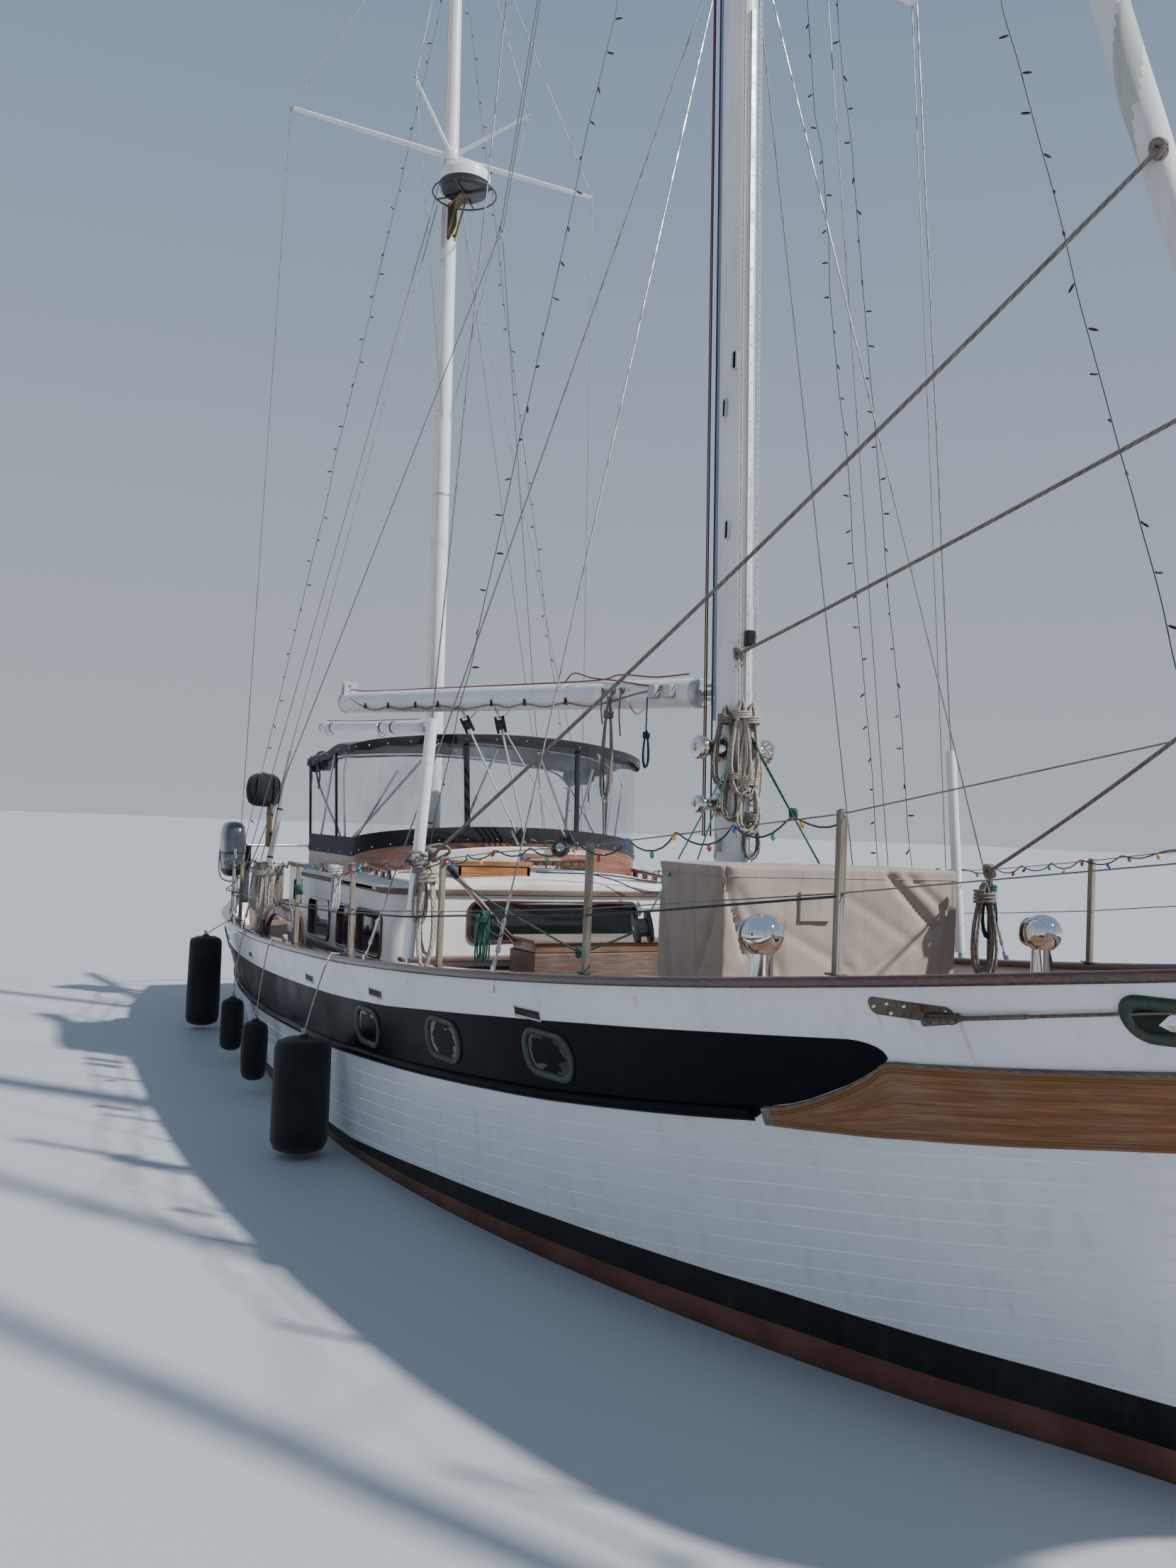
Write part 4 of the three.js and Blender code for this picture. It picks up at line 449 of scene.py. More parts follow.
FINISHES = {
    "white": topside_paint(),
    # The grooves' brighter white is a painted highlight: the light caught along the edge of each groove.
    "groove": painted("groove_white", (0.9, 0.91, 0.91), (0.74, 0.74, 0.7), 0.35),
    "cabin": painted("cabin_white", (0.8, 0.8, 0.78), (0.63, 0.6, 0.53), 0.35, 0.35),
    "tread": painted("tread_cream", (0.72, 0.71, 0.66), (0.55, 0.52, 0.45), 0.7, 0.5, 0.0, 0.0, 2.0, 0.001),
    "navy": painted("navy_gloss", (0.004, 0.0045, 0.007), (0.009, 0.01, 0.012), 0.28, 0.5, 0.0),
    # Black boot-top paint; it is also the painted shade in the throats of the scuppers and the hawse.
    "boot": painted("boot_black", (0.01, 0.01, 0.011), (0.035, 0.035, 0.03), 0.45, 0.6, 0.1),
    "bottom": bottom_paint(),
    "rail": wooden("rail_mahogany", (0.13, 0.036, 0.018), (0.04, 0.011, 0.007), "X", 0.2, 0.9, 0.12),
    "rail_across": wooden("rail_mahogany_y", (0.13, 0.036, 0.018), (0.04, 0.011, 0.007), "Y", 0.2, 0.9, 0.12),
    "board": wooden("board_teak", (0.34, 0.15, 0.045), (0.14, 0.052, 0.014), "U", 0.42, 0.15, 0.3),
    "board_edge": wooden("board_edge", (0.24, 0.2, 0.16), (0.1, 0.07, 0.05), "X", 0.8, 0.0, 0.9),
    "varnish": wooden("varnished_teak", (0.5, 0.21, 0.065), (0.2, 0.07, 0.02), "X", 0.24, 0.8, 0.2),
    "varnish_y": wooden("varnished_teak_y", (0.5, 0.21, 0.065), (0.2, 0.07, 0.02), "Y", 0.24, 0.8, 0.2),
    "coaming": wooden("coaming_wood", (0.34, 0.13, 0.07), (0.13, 0.045, 0.025), "U", 0.35, 0.5, 0.35),
    "eyebrow": wooden("eyebrow_wood", (0.19, 0.11, 0.08), (0.075, 0.04, 0.028), "X", 0.6, 0.1, 0.6),
    "eyebrow_y": wooden("eyebrow_wood_y", (0.19, 0.11, 0.08), (0.075, 0.04, 0.028), "Y", 0.6, 0.1, 0.6),
    "sprit": wooden("sprit_wood", (0.3, 0.14, 0.06), (0.12, 0.05, 0.02), "X", 0.35, 0.5, 0.4),
    "sprit_y": wooden("sprit_wood_y", (0.3, 0.14, 0.06), (0.12, 0.05, 0.02), "Y", 0.35, 0.5, 0.4),
    "teak_grey": wooden("greyed_teak", (0.3, 0.24, 0.19), (0.13, 0.09, 0.07), "Y", 0.75, 0.0, 0.8),
    "planks": deck_planks(),
    "post": wooden(
        "weathered_post", (0.36, 0.3, 0.21), (0.12, 0.09, 0.06), "Z", 0.65, 0.0, 0.8, (0.34, 0.33, 0.3)
    ),
    "steel": steel("stainless_steel"),
    "mirror": steel("polished_steel", (0.8, 0.8, 0.81), 0.035, 0.06, 3.0),
    "wire": steel("rigging_wire", (0.25, 0.245, 0.24), 0.45, 0.4, 6.0),
    "rusty": steel("rusty_steel", (0.19, 0.16, 0.13), 0.5, 0.9, 5.0),
    "chrome": steel("chromed_bronze", (0.72, 0.71, 0.68), 0.08, 0.12, 4.0),
    "verdigris": painted(
        "bronze_verdigris", (0.028, 0.065, 0.052), (0.09, 0.075, 0.04), 0.5, 0.8, 0.1, 0.45, 6.0, 0.001
    ),
    "bronze": painted("old_bronze", (0.28, 0.18, 0.08), (0.1, 0.11, 0.07), 0.4, 0.9, 0.0, 0.9, 4.0, 0.0005),
    "galvanised": painted(
        "galvanised_iron", (0.33, 0.34, 0.35), (0.2, 0.15, 0.11), 0.55, 0.8, 0.0, 0.8, 5.0, 0.001
    ),
    "spar": painted("spar_white", (0.83, 0.83, 0.82), (0.6, 0.58, 0.53), 0.3, 0.4, 0.3, 0.0, 1.4),
    "spar_metal": painted("spar_grey", (0.55, 0.56, 0.57), (0.4, 0.4, 0.4), 0.4, 0.5, 0.0, 0.7, 3.0),
    "pipe": painted("pipe_white", (0.84, 0.85, 0.86), (0.66, 0.66, 0.64), 0.28, 0.4, 0.2, 0.0, 3.0),
    "black": painted("black_plastic", (0.012, 0.012, 0.013), (0.04, 0.04, 0.042), 0.45, 0.5, 0.1),
    "red_paint": painted("red_paint", (0.28, 0.02, 0.015), (0.16, 0.03, 0.02), 0.4, 0.5),
    # The slot's slate blue is painted shade: it stands in for the shaded side of the mast.
    "slot": painted("slot_grey_blue", (0.3, 0.34, 0.4), (0.24, 0.26, 0.29), 0.35, 0.5, 0.0, 0.3, 2.0),
    "engine": painted("engine_grey", (0.05, 0.06, 0.072), (0.11, 0.12, 0.13), 0.2, 0.4, 0.7),
    "dome": painted("dome_white", (0.82, 0.82, 0.8), (0.62, 0.6, 0.55), 0.35, 0.4, 0.2, 0.0, 3.0),
    "dome_base": painted("dome_base", (0.012, 0.02, 0.022), (0.05, 0.05, 0.05), 0.4, 0.4),
    "vest": painted("yellow_brown", (0.2, 0.12, 0.02), (0.1, 0.07, 0.03), 0.6, 0.6, 0.0),
    # Tinted glass for windows and compass; its near-black colour is also painted shade for the inside behind
    # it.
    "glass": see_through("dark_glass", (0.012, 0.014, 0.017), 0.04, 0.8),
    # The portlights' near-opaque dark glass is painted shade, standing for the unlit inside behind them.
    "port_glass": see_through("port_glass", (0.008, 0.014, 0.012), 0.08, 0.97),
    "vinyl": see_through("clear_vinyl", (0.22, 0.25, 0.29), 0.05, 0.07, 0.12),
    "canvas": woven("black_canvas", (0.011, 0.011, 0.013), (0.035, 0.035, 0.04)),
    "cover": woven("tan_canvas", (0.34, 0.28, 0.235), (0.44, 0.375, 0.32), 700.0),
    "sail": woven("sailcloth", (0.74, 0.73, 0.7), (0.6, 0.59, 0.55), 1100.0, 0.8, 0.5),
    "sail_edge": woven("sun_strip", (0.42, 0.43, 0.39), (0.5, 0.5, 0.46), 1100.0, 0.8, 0.6),
    "fleece": woven("fender_fleece", (0.014, 0.014, 0.015), (0.04, 0.04, 0.04), 260.0, 0.98, 0.5, 0.002),
    "cushion": woven("red_cushion", (0.16, 0.02, 0.022), (0.24, 0.07, 0.06), 800.0),
    "rope": roped("cream_rope", (0.62, 0.56, 0.45), (0.4, 0.35, 0.27)),
    "old_rope": roped("grey_rope", (0.31, 0.27, 0.225), (0.15, 0.125, 0.105)),
    "green_rope": roped("green_rope", (0.0, 0.13, 0.075), (0.005, 0.05, 0.035)),
    "blue_rope": roped("blue_rope", (0.01, 0.035, 0.14), (0.01, 0.02, 0.06)),
    "red_rope": roped("red_rope", (0.4, 0.01, 0.03), (0.2, 0.01, 0.02)),
    "white_rope": roped("white_rope", (0.7, 0.69, 0.66), (0.45, 0.44, 0.42)),
    "dark_rope": roped("dark_rope", (0.03, 0.034, 0.034), (0.015, 0.016, 0.016)),
    "cable": roped("green_cable", (0.004, 0.04, 0.022), (0.004, 0.016, 0.012), 0.012, 2.0, 0.5, 0.001),
}
BULB_COLOURS = {
    "bulb_red": (0.5, 0.01, 0.01),
    "bulb_amber": (0.7, 0.34, 0.01),
    "bulb_green": (0.0, 0.3, 0.12),
    "bulb_blue": (0.01, 0.08, 0.5),
}
for bulb, tint in BULB_COLOURS.items():
    FINISHES[bulb] = painted(bulb, tint, tuple(min(1, c * 1.5 + 0.02) for c in tint), 0.12, 0.4, 1.0)
DULL = {
    "navy": 0.06, "boot": 0.2, "canvas": 0.15, "fleece": 0.1, "black": 0.3, "port_glass": 0.25,
    "cover": 0.2,
}
for dull, level in DULL.items():
    FINISHES[dull].node_tree.nodes["Principled BSDF"].inputs["Specular IOR Level"].default_value = level


# Making meshes


def curve(points, steps=8):
    """The points with a smooth curve through them."""
    points = [Vector(p) for p in points]
    ends = [2 * points[0] - points[1], *points, 2 * points[-1] - points[-2]]
    out = []
    for a, b, c, d in zip(ends, ends[1:], ends[2:], ends[3:]):
        for i in range(steps):
            t = i / steps
            out.append(
                0.5
                * (2 * b + (c - a) * t + (2 * a - 5 * b + 4 * c - d) * t * t + (3 * b - a - 3 * c + d) * t**3)
            )
    return [*out, points[-1]]


def even(path, step):
    """Points at even steps along a path."""
    path = [Vector(p) for p in path]
    total = sum((b - a).length for a, b in zip(path, path[1:]))
    count = max(2, round(total / step))
    out, run, i = [path[0]], 0.0, 0
    for k in range(1, count):
        want = total * k / count
        while run + (path[i + 1] - path[i]).length < want:
            run += (path[i + 1] - path[i]).length
            i += 1
        out.append(path[i].lerp(path[i + 1], (want - run) / (path[i + 1] - path[i]).length))
    return [*out, path[-1]]


def length_of(path):
    return sum((b - a).length for a, b in zip(path, path[1:]))


def hanging(a, b, sag, steps=14):
    """A line from a to b that hangs down by sag at its middle."""
    a, b = Vector(a), Vector(b)
    return [a.lerp(b, i / steps) - UP * sag * 4 * (i / steps) * (1 - i / steps) for i in range(steps + 1)]


def rounded(length, width, radius, arc=4):
    """A rounded rectangle's outline, counter-clockwise, centred on the origin."""
    out = []
    for quarter, (sx, sy) in enumerate(((1, 1), (-1, 1), (-1, -1), (1, -1))):
        for i in range(arc + 1):
            a = math.pi / 2 * (quarter + i / arc)
            out.append(
                (
                    sx * (length / 2 - radius) + radius * math.cos(a),
                    sy * (width / 2 - radius) + radius * math.sin(a),
                )
            )
    return out


def circle(radius, sides):
    return [
        (radius * math.cos(2 * math.pi * i / sides), radius * math.sin(2 * math.pi * i / sides))
        for i in range(sides)
    ]


def inset(outline, by):
    """The outline moved inwards by a distance."""
    out = []
    count = len(outline)
    for i in range(count):
        before, here, after = (Vector(outline[(i + k) % count]) for k in (-1, 0, 1))
        normal = Vector((0, 0))
        for a, b in ((before, here), (here, after)):
            way = b - a
            if way.length > 1e-7:
                normal += Vector((-way.y, way.x)).normalized()
        out.append(here + normal.normalized() * by)
    return out


def frames(path):
    """A side and an up vector at each point of a path, turning as little as they can."""
    ways = []
    for i in range(len(path)):
        way = path[min(i + 1, len(path) - 1)] - path[max(i - 1, 0)]
        ways.append(way.normalized())
    side = ways[0].cross(UP if abs(ways[0].z) < 0.9 else Vector((1, 0, 0))).normalized()
    out = []
    for way in ways:
        side = (side - way * side.dot(way)).normalized()
        out.append((side, way.cross(side)))
    return out


class Shape:
    """The faces of one piece while it is made, each with its finish and where it is along."""

    def __init__(self):
        self.points, self.faces, self.finish_of, self.along = [], [], [], []

    def face(self, corners, finish, along=None):
        self.faces.append(corners)
        self.finish_of.append(finish)
        self.along.append(along or [(0.0, 0.0)] * len(corners))

    def loft(self, rings, finish, closed=True, caps=True, rings_meet=False):
        """Rings of equal length joined in turn; finish may be a function of the ring and place."""
        start, count = len(self.points), len(rings[0])
        self.points += [Vector(p) for ring in rings for p in ring]
        runs = [0.0]
        for a, b in zip(rings, rings[1:]):
            runs.append(runs[-1] + (Vector(b[0]) - Vector(a[0])).length)
        pick = finish if callable(finish) else lambda i, j: finish
        for i in range(len(rings) - (0 if rings_meet else 1)):
            k = (i + 1) % len(rings)
            run = runs[i + 1] if i + 1 < len(runs) else runs[i]
            for j in range(count if closed else count - 1):
                m = (j + 1) % count
                corners = [
                    start + i * count + j,
                    start + i * count + m,
                    start + k * count + m,
                    start + k * count + j,
                ]
                v0, v1 = j / count, (j + 1) / count
                self.face(corners, pick(i, j), [(runs[i], v0), (runs[i], v1), (run, v1), (run, v0)])
        if caps and closed and not rings_meet:
            last = start + (len(rings) - 1) * count
            self.face([start + j for j in reversed(range(count))], pick(0, 0))
            self.face([last + j for j in range(count)], pick(len(rings) - 2, 0))
        return self

    def sweep(self, path, outline, finish, grow=None):
        """An outline carried along a path; grow gives its size at each share of the way."""
        path = [Vector(p) for p in path]
        rings = []
        for i, (p, (side, up)) in enumerate(zip(path, frames(path))):
            k = grow(i / (len(path) - 1)) if grow else 1.0
            rings.append([p + side * (u * k) + up * (v * k) for u, v in outline])
        return self.loft(rings, finish)

    def tube(self, path, radius, finish, sides=8, grow=None):
        return self.sweep(path, circle(radius, sides), finish, grow)

    def rod(self, a, b, radius, finish, sides=12, end=None):
        """A straight round bar; end is its radius at b."""
        k = 1.0 if end is None else end / radius
        return self.tube([a, b], radius, finish, sides, lambda t: 1 + (k - 1) * t)

    def turned(self, profile, at, way, finish, sides=24):
        """A profile of (radius, distance) points turned round a line through at."""
        at, way = Vector(at), Vector(way).normalized()
        side = way.cross(UP if abs(way.z) < 0.9 else Vector((1, 0, 0))).normalized()
        up = way.cross(side)
        rings = [
            [at + way * d + side * (max(r, 1e-5) * c) + up * (max(r, 1e-5) * s) for c, s in circle(1, sides)]
            for r, d in profile
        ]
        return self.loft(rings, finish)

    def slab(self, outline, z0, z1, finish, bevel=0.004, place=None):
        """An outline given thickness, its edges eased."""
        place = place or Matrix()
        layers = [(bevel, z0), (0, z0 + bevel), (0, z1 - bevel), (bevel, z1)]
        rings = [[place @ Vector((x, y, z)) for x, y in inset(outline, by)] for by, z in layers]
        return self.loft(rings, finish)

    def block(self, low, high, finish, bevel=0.004, place=None):
        """A box with eased edges."""
        low, high = Vector(low), Vector(high)
        middle = (low + high) / 2
        size = high - low
        bevel = min(bevel, min(size) * 0.45)
        outline = [(x + middle.x, y + middle.y) for x, y in rounded(size.x, size.y, bevel, 2)]
        return self.slab(outline, low.z, high.z, finish, bevel, place)

    def ball(self, at, radius, finish, sides=20):
        rows = max(6, sides // 2)
        profile = [
            (radius * math.sin(math.pi * i / rows), -radius * math.cos(math.pi * i / rows))
            for i in range(rows + 1)
        ]
        return self.turned(profile, at, UP, finish, sides)

    def make(self, name, slot, body=BOAT, replaces=(), sharp=35, weld=1e-4):
        """The finished piece, riding on its body."""
        mesh = bpy.data.meshes.new(name)
        mesh.from_pydata([tuple(p) for p in self.points], [], self.faces)
        used = sorted(set(self.finish_of))
        for finish in used:
            mesh.materials.append(FINISHES[finish])
        index = {finish: i for i, finish in enumerate(used)}
        mesh.polygons.foreach_set("material_index", [index[f] for f in self.finish_of])
        layer = mesh.uv_layers.new(name="along")
        layer.data.foreach_set("uv", [c for face in self.along for uv in face for c in uv])
        tidy = bmesh.new()
        tidy.from_mesh(mesh)
        bmesh.ops.remove_doubles(tidy, verts=tidy.verts, dist=weld)
        bmesh.ops.dissolve_degenerate(tidy, edges=tidy.edges, dist=weld)
        bmesh.ops.recalc_face_normals(tidy, faces=tidy.faces)
        tidy.to_mesh(mesh)
        tidy.free()
        mesh.shade_smooth()
        mesh.set_sharp_from_angle(angle=math.radians(sharp))
        made = bpy.data.objects.new(name, mesh)
        bpy.context.scene.collection.objects.link(made)
        if body:
            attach(made, body)
        if replaces:
            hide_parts(*replaces)
        return made


# Cutting


def carve(piece, cutter, finish=None):
    """Cuts a closed shape out of a piece; the new walls take a finish that the piece has."""
    mesh = bpy.data.meshes.new("cutter")
    mesh.from_pydata([tuple(p) for p in cutter.points], [], cutter.faces)
    if finish:
        index = piece.data.materials.find(FINISHES[finish].name)
        mesh.polygons.foreach_set("material_index", [index] * len(mesh.polygons))
    tidy = bmesh.new()
    tidy.from_mesh(mesh)
    bmesh.ops.remove_doubles(tidy, verts=tidy.verts, dist=1e-5)
    bmesh.ops.recalc_face_normals(tidy, faces=tidy.faces)
    tidy.to_mesh(mesh)
    tidy.free()
    tool = bpy.data.objects.new("cutter", mesh)
    bpy.context.scene.collection.objects.link(tool)
    cut = piece.modifiers.new("cut", "BOOLEAN")
    cut.object = tool
    cut.solver = "EXACT"
    settle(piece)
    bpy.data.objects.remove(tool)


def settle(piece):
    """The piece's mesh as its modifiers leave it, and the modifiers taken off."""
    seen = piece.evaluated_get(bpy.context.evaluated_depsgraph_get())
    mesh = bpy.data.meshes.new_from_object(seen)
    piece.modifiers.clear()
    piece.data = mesh


# Hull form, as in the frame's solids

STEM_WATER_X, TRANSOM_X, TRANSOM_RAIL = 6.25, -7.0, 1.165
BULWARK, BULWARK_THICK, DECK_CAMBER = 0.3, 0.055, 0.075
CAP_THICK, CAP_WIDTH, CAP_OVERHANG = 0.045, 0.135, 0.024
KEEL_HALF, BILGE_PULL = 0.105, 0.62
STATION_KEYS = ("x", "half", "rail", "turn_half", "turn", "full", "rabbet", "share")
STATIONS = [
    dict(zip(STATION_KEYS, row))
    for row in (
        (-7.0, 1.22, 1.165, 0.93, 0.64, 1.5, 0.33, -1),
        (-6.5, 1.38, 1.15, 1.04, 0.43, 1.5, 0.16, -0.8),
        (-6.0, 1.52, 1.142, 1.15, 0.25, 1.5, 0.01, -0.5),
        (-5.3, 1.68, 1.138, 1.29, 0.08, 1.5, -0.22, -0.15),
        (-4.5, 1.8, 1.141, 1.46, 0, 1.5, -0.42, 0),
        (-3.5, 1.91, 1.155, 1.68, 0, 1.45, -0.6, 0),
        (-2.0, 2.013, 1.195, 1.87, 0, 1.4, -0.73, 0),
        (0.0, 2.047, 1.281, 1.935, 0, 1.4, -0.79, 0),
        (1.0, 2.02, 1.343, 1.87, 0, 1.35, -0.78, 0),
        (2.0, 1.953, 1.418, 1.72, 0, 1.25, -0.74, 0),
        (3.0, 1.837, 1.508, 1.49, 0, 1.15, -0.68, 0.03),
        (4.0, 1.672, 1.615, 1.2, 0, 1.0, -0.6, 0.15),
        (5.0, 1.457, 1.742, 0.88, 0, 0.85, -0.5, 0.4),
        (5.8, 1.215, 1.853, 0.6, 0, 0.72, -0.39, 0.65),
        (6.4, 0.98, 1.94, 0.41, 0, 0.62, -0.29, 0.82),
        (6.85, 0.7, 2.01, 0.24, 0, 0.58, -0.2, 0.93),
        (7.15, 0.38, 2.06, 0.11, 0, 0.6, -0.12, 0.985),
        (7.3, 0.06, 2.085, 0.038, 0, 1, -0.06, 1),
    )
]


def station(x):
    """Every value of the hull at x, between the stations, on a smooth curve."""
    i = next((k for k, s in enumerate(STATIONS) if s["x"] >= x), len(STATIONS) - 1)
    i = max(i, 1)
    a, b = STATIONS[i - 1], STATIONS[i]
    before, after = STATIONS[max(i - 2, 0)], STATIONS[min(i + 1, len(STATIONS) - 1)]
    h = b["x"] - a["x"]
    t = (x - a["x"]) / h
    out = {"x": x}
    for key in STATION_KEYS[1:]:
        rise = (b[key] - a[key]) / h
        m0 = rise if before is a else (b[key] - before[key]) / (b["x"] - before["x"])
        m1 = rise if after is b else (after[key] - a[key]) / (after["x"] - a["x"])
        out[key] = (
            a[key] * (1 + 2 * t) * (1 - t) ** 2
            + h * m0 * t * (1 - t) ** 2
            + b[key] * t * t * (3 - 2 * t)
            + h * m1 * t * t * (t - 1)
        )
    return out


def stem_x(z):
    return STEM_WATER_X + (0.12 * z + 0.183 * z * z if z > 0 else 0.5 * z - 1.1 * z * z)


def stern_x(z):
    return TRANSOM_X + 0.42 * (TRANSOM_RAIL - z)


def lean_x(s, z):
    """A station's own x at a height: the ends lean with the stem and the transom."""
    rake = stem_x(z) - stem_x(s["rail"]) if s["share"] > 0 else stern_x(z) - stern_x(s["rail"])
    return s["x"] + abs(s["share"]) * rake


def side_half(s, z):
    """Half-breadth at a height: a full side over the turn, a soft bilge under it."""
    if z >= s["turn"]:
        t = (z - s["turn"]) / (s["rail"] - s["turn"])
        return s["turn_half"] + (s["half"] - s["turn_half"]) * (s["full"] * t + (1 - s["full"]) * t * t)
    depth = s["turn"] - s["rabbet"]
    slope = (s["half"] - s["turn_half"]) * s["full"] / (s["rail"] - s["turn"])
    down = min(1.0, (s["turn"] - z) / depth)
    b = 2 * BILGE_PULL
    t = (b - math.sqrt(b * b - 4 * (b - 1) * down)) / (2 * (b - 1))
    keel = min(KEEL_HALF, s["turn_half"] * 0.8)
    pull = s["turn_half"] - slope * BILGE_PULL * depth
    return (1 - t) ** 2 * s["turn_half"] + 2 * t * (1 - t) * pull + t * t * keel


def rail_z(x):
    return station(x)["rail"]


def deck_z(x, y=0.0):
    s = station(x)
    return s["rail"] - BULWARK + DECK_CAMBER * (1 - (y / s["half"]) ** 2)


def station_through(x, z):
    """The station whose leaning side passes through x at height z."""
    low, high = -7.0, 7.3
    for _ in range(30):
        middle = (low + high) / 2
        if lean_x(station(middle), z) < x:
            low = middle
        else:
            high = middle
    return station((low + high) / 2)


def on_side(x, z, side, out=0.0):
    """A point on the hull's side, moved out along the skin's normal."""
    half = side_half(station_through(x, z), z)
    if not out:
        return Vector((x, side * half, z))
    step = 0.02
    along = side_half(station_through(x + step, z), z) - half
    upward = side_half(station_through(x, z + step), z + step) - half
    normal = Vector((-along / step, side, -upward / step)).normalized()
    return Vector((x, side * half, z)) + normal * out


def between(table, x):
    """The value at x in a table of (x, value), straight between its rows."""
    if x <= table[0][0]:
        return table[0][1]
    for (x0, v0), (x1, v1) in zip(table, table[1:]):
        if x <= x1:
            return v0 + (v1 - v0) * (x - x0) / (x1 - x0)
    return table[-1][1]


# x and height of the lines that the paint follows
BOOT_TOP = [(-7, 0.16), (-4, 0.11), (0.5, 0.115), (1.6, 0.19), (2.9, 0.255), (4.2, 0.3), (6.3, 0.3)]
BOOT_FOOT = [(-7, 0.05), (0, 0.05), (2, 0.1), (4.2, 0.14), (5.2, 0.135), (6.3, 0.12)]
BAND_DROP = [(-7, 0.27), (1.2, 0.266), (1.8, 0.247), (2.6, 0.232), (3.4, 0.226), (4.2, 0.228), (5, 0.239)]
STRAKE_DROP = [(-7, 0.6), (3, 0.6), (4.5, 0.573)]

PLANK, GROOVES, GROOVE_HALF, GROOVE_DEEP = 0.088, 18, 0.0045, 0.0045
TRANSOM_INSIDE = -6.945
HULL_XS = sorted(
    {round(-7 + 0.125 * i, 4) for i in range(112)}
    | {6.95, 7.05, 7.1, 7.15, 7.19, 7.23, 7.265, 7.3}
    | {TRANSOM_INSIDE, -6.944}
)


def skin_rows(s):
    """Down one side: each row's height, how far it is cut in, and the finish below it."""
    strake = s["rail"] - between(STRAKE_DROP, s["x"])
    top = s["rail"] - CAP_THICK - 0.0004
    boot = between(BOOT_TOP, lean_x(s, 0.28))
    foot = between(BOOT_FOOT, lean_x(s, 0.1))
    boot = max(boot, s["rabbet"] + 0.03)
    foot = max(foot, s["rabbet"] + 0.015)
    rows = [(top + (strake - top) * i / 5, 0.0, "white") for i in range(6)]
    for k in range(1, GROOVES):
        z = strake - 0.035 - PLANK * k
        # Both faces of each groove take the brighter white, a painted highlight along the groove.
        for up, deep, finish in ((1, 0, "groove"), (0, GROOVE_DEEP, "groove"), (-1, 0, "white")):
            height = z + up * GROOVE_HALF
            rows.append((height, deep, finish) if height > boot else (boot, 0.0, finish))
    rows.append((boot, 0.0, "boot"))
    rows.append(((boot + foot) / 2, 0.0, "boot"))
    rows += [(foot + (s["rabbet"] - foot) * (i / 9) ** 1.3, 0.0, "bottom") for i in range(10)]
    return rows


DECK_SHARES = [-1, -0.85, -0.6, -0.3, 0, 0.3, 0.6, 0.85, 1]


def hull_ring(x):
    s = station(x)
    rows = skin_rows(s)
    side = [(side_half(s, z) - deep, z) for z, deep, _ in rows]
    thick = min(BULWARK_THICK, s["half"] * 0.4)
    top = rows[0][0]
    inner = s["half"] - thick
    edge = side_half(s, s["rail"] - BULWARK) - thick
    deck = [(-inner, top)]
    for share in DECK_SHARES:
        height = top if x < TRANSOM_INSIDE + 0.0005 else s["rail"] - BULWARK + DECK_CAMBER * (1 - share**2)
        deck.append((edge * share, height))
    deck.append((inner, top))
    ring = side + [(-y, z) for y, z in reversed(side)] + deck
    return [Vector((lean_x(s, z), y, z)) for y, z in ring]


WELLS = [
    # low corner and high corner of each space that is cut from the hull
    ((-5.2, -0.88, 0.42), (-3.5, 0.88, 1.8)),
    ((-1.56, -1.18, 0.15), (-0.7, 1.18, 1.8)),
    ((-3.02, -0.42, 0.76), (-1.76, 0.42, 1.8)),
]


def make_hull():
    shape = Shape()
    finishes = [f for _, _, f in skin_rows(station(0))]
    count = len(finishes)

    def finish(i, j):
        if j < count - 1:
            return finishes[j]
        if j < count:
            return "bottom"
        if j < 2 * count - 1:
            return finishes[2 * count - 2 - j]
        return "planks" if 2 * count < j < 2 * count + len(DECK_SHARES) else "cabin"

    rings = [hull_ring(x) for x in HULL_XS]
    shape.loft(rings, finish, caps=False)
    for j in range(count - 1):
        corners = [j, 2 * count - 1 - j, 2 * count - 2 - j, j + 1]
        shape.face(corners, finishes[j])
    shape.face([0, *range(2 * count - 1, 2 * count + len(DECK_SHARES) + 2)][::-1], "cabin")
    last = (len(rings) - 1) * len(rings[0])
    for j in range(count - 1):
        corners = [last + k for k in (j + 1, 2 * count - 2 - j, 2 * count - 1 - j, j)]
        shape.face(corners, finishes[j])
    shape.face([last, *[last + k for k in range(2 * count - 1, 2 * count + len(DECK_SHARES) + 2)]], "cabin")
    hull = shape.make("hull_and_deck", "white_gelcoat", replaces=["hull"], sharp=28, weld=2e-4)
    for low, high in WELLS:
        corners = [(low[0], low[1]), (high[0], low[1]), (high[0], high[1]), (low[0], high[1])]
        well = Shape()
        well.loft([[(x, y, z) for x, y in corners] for z in (low[2], high[2])], "cabin")
        carve(hull, well, "cabin")


make_hull()


# Along the hull: band, strake, rails and name board


def strip(shape, xs, section, finish, side):
    """A bar along the hull: at each x its section is a list of [half-breadth, height]."""
    rings = []
    for x in xs:
        s = station(x)
        rings.append([Vector((lean_x(s, z), side * y, z)) for y, z in section(s)])
    shape.loft(rings, finish)


def cap_section(s):
    outer = s["half"] + CAP_OVERHANG
    inner = max(outer - CAP_WIDTH, 0.006)
    low, high = s["rail"] - CAP_THICK, s["rail"]
    ease = min(0.012, (outer - inner) * 0.3)
    return [
        (inner, low + ease * 0.5),
        (inner + ease * 0.5, low),
        (outer - ease, low),
        (outer - ease * 0.3, low + ease * 0.4),
        (outer, low + ease * 1.2),
        (outer, high - ease * 1.2),
        (outer - ease * 0.4, high - ease * 0.4),
        (outer - ease * 1.2, high),
        (inner + ease, high),
        (inner, high - ease),
    ]


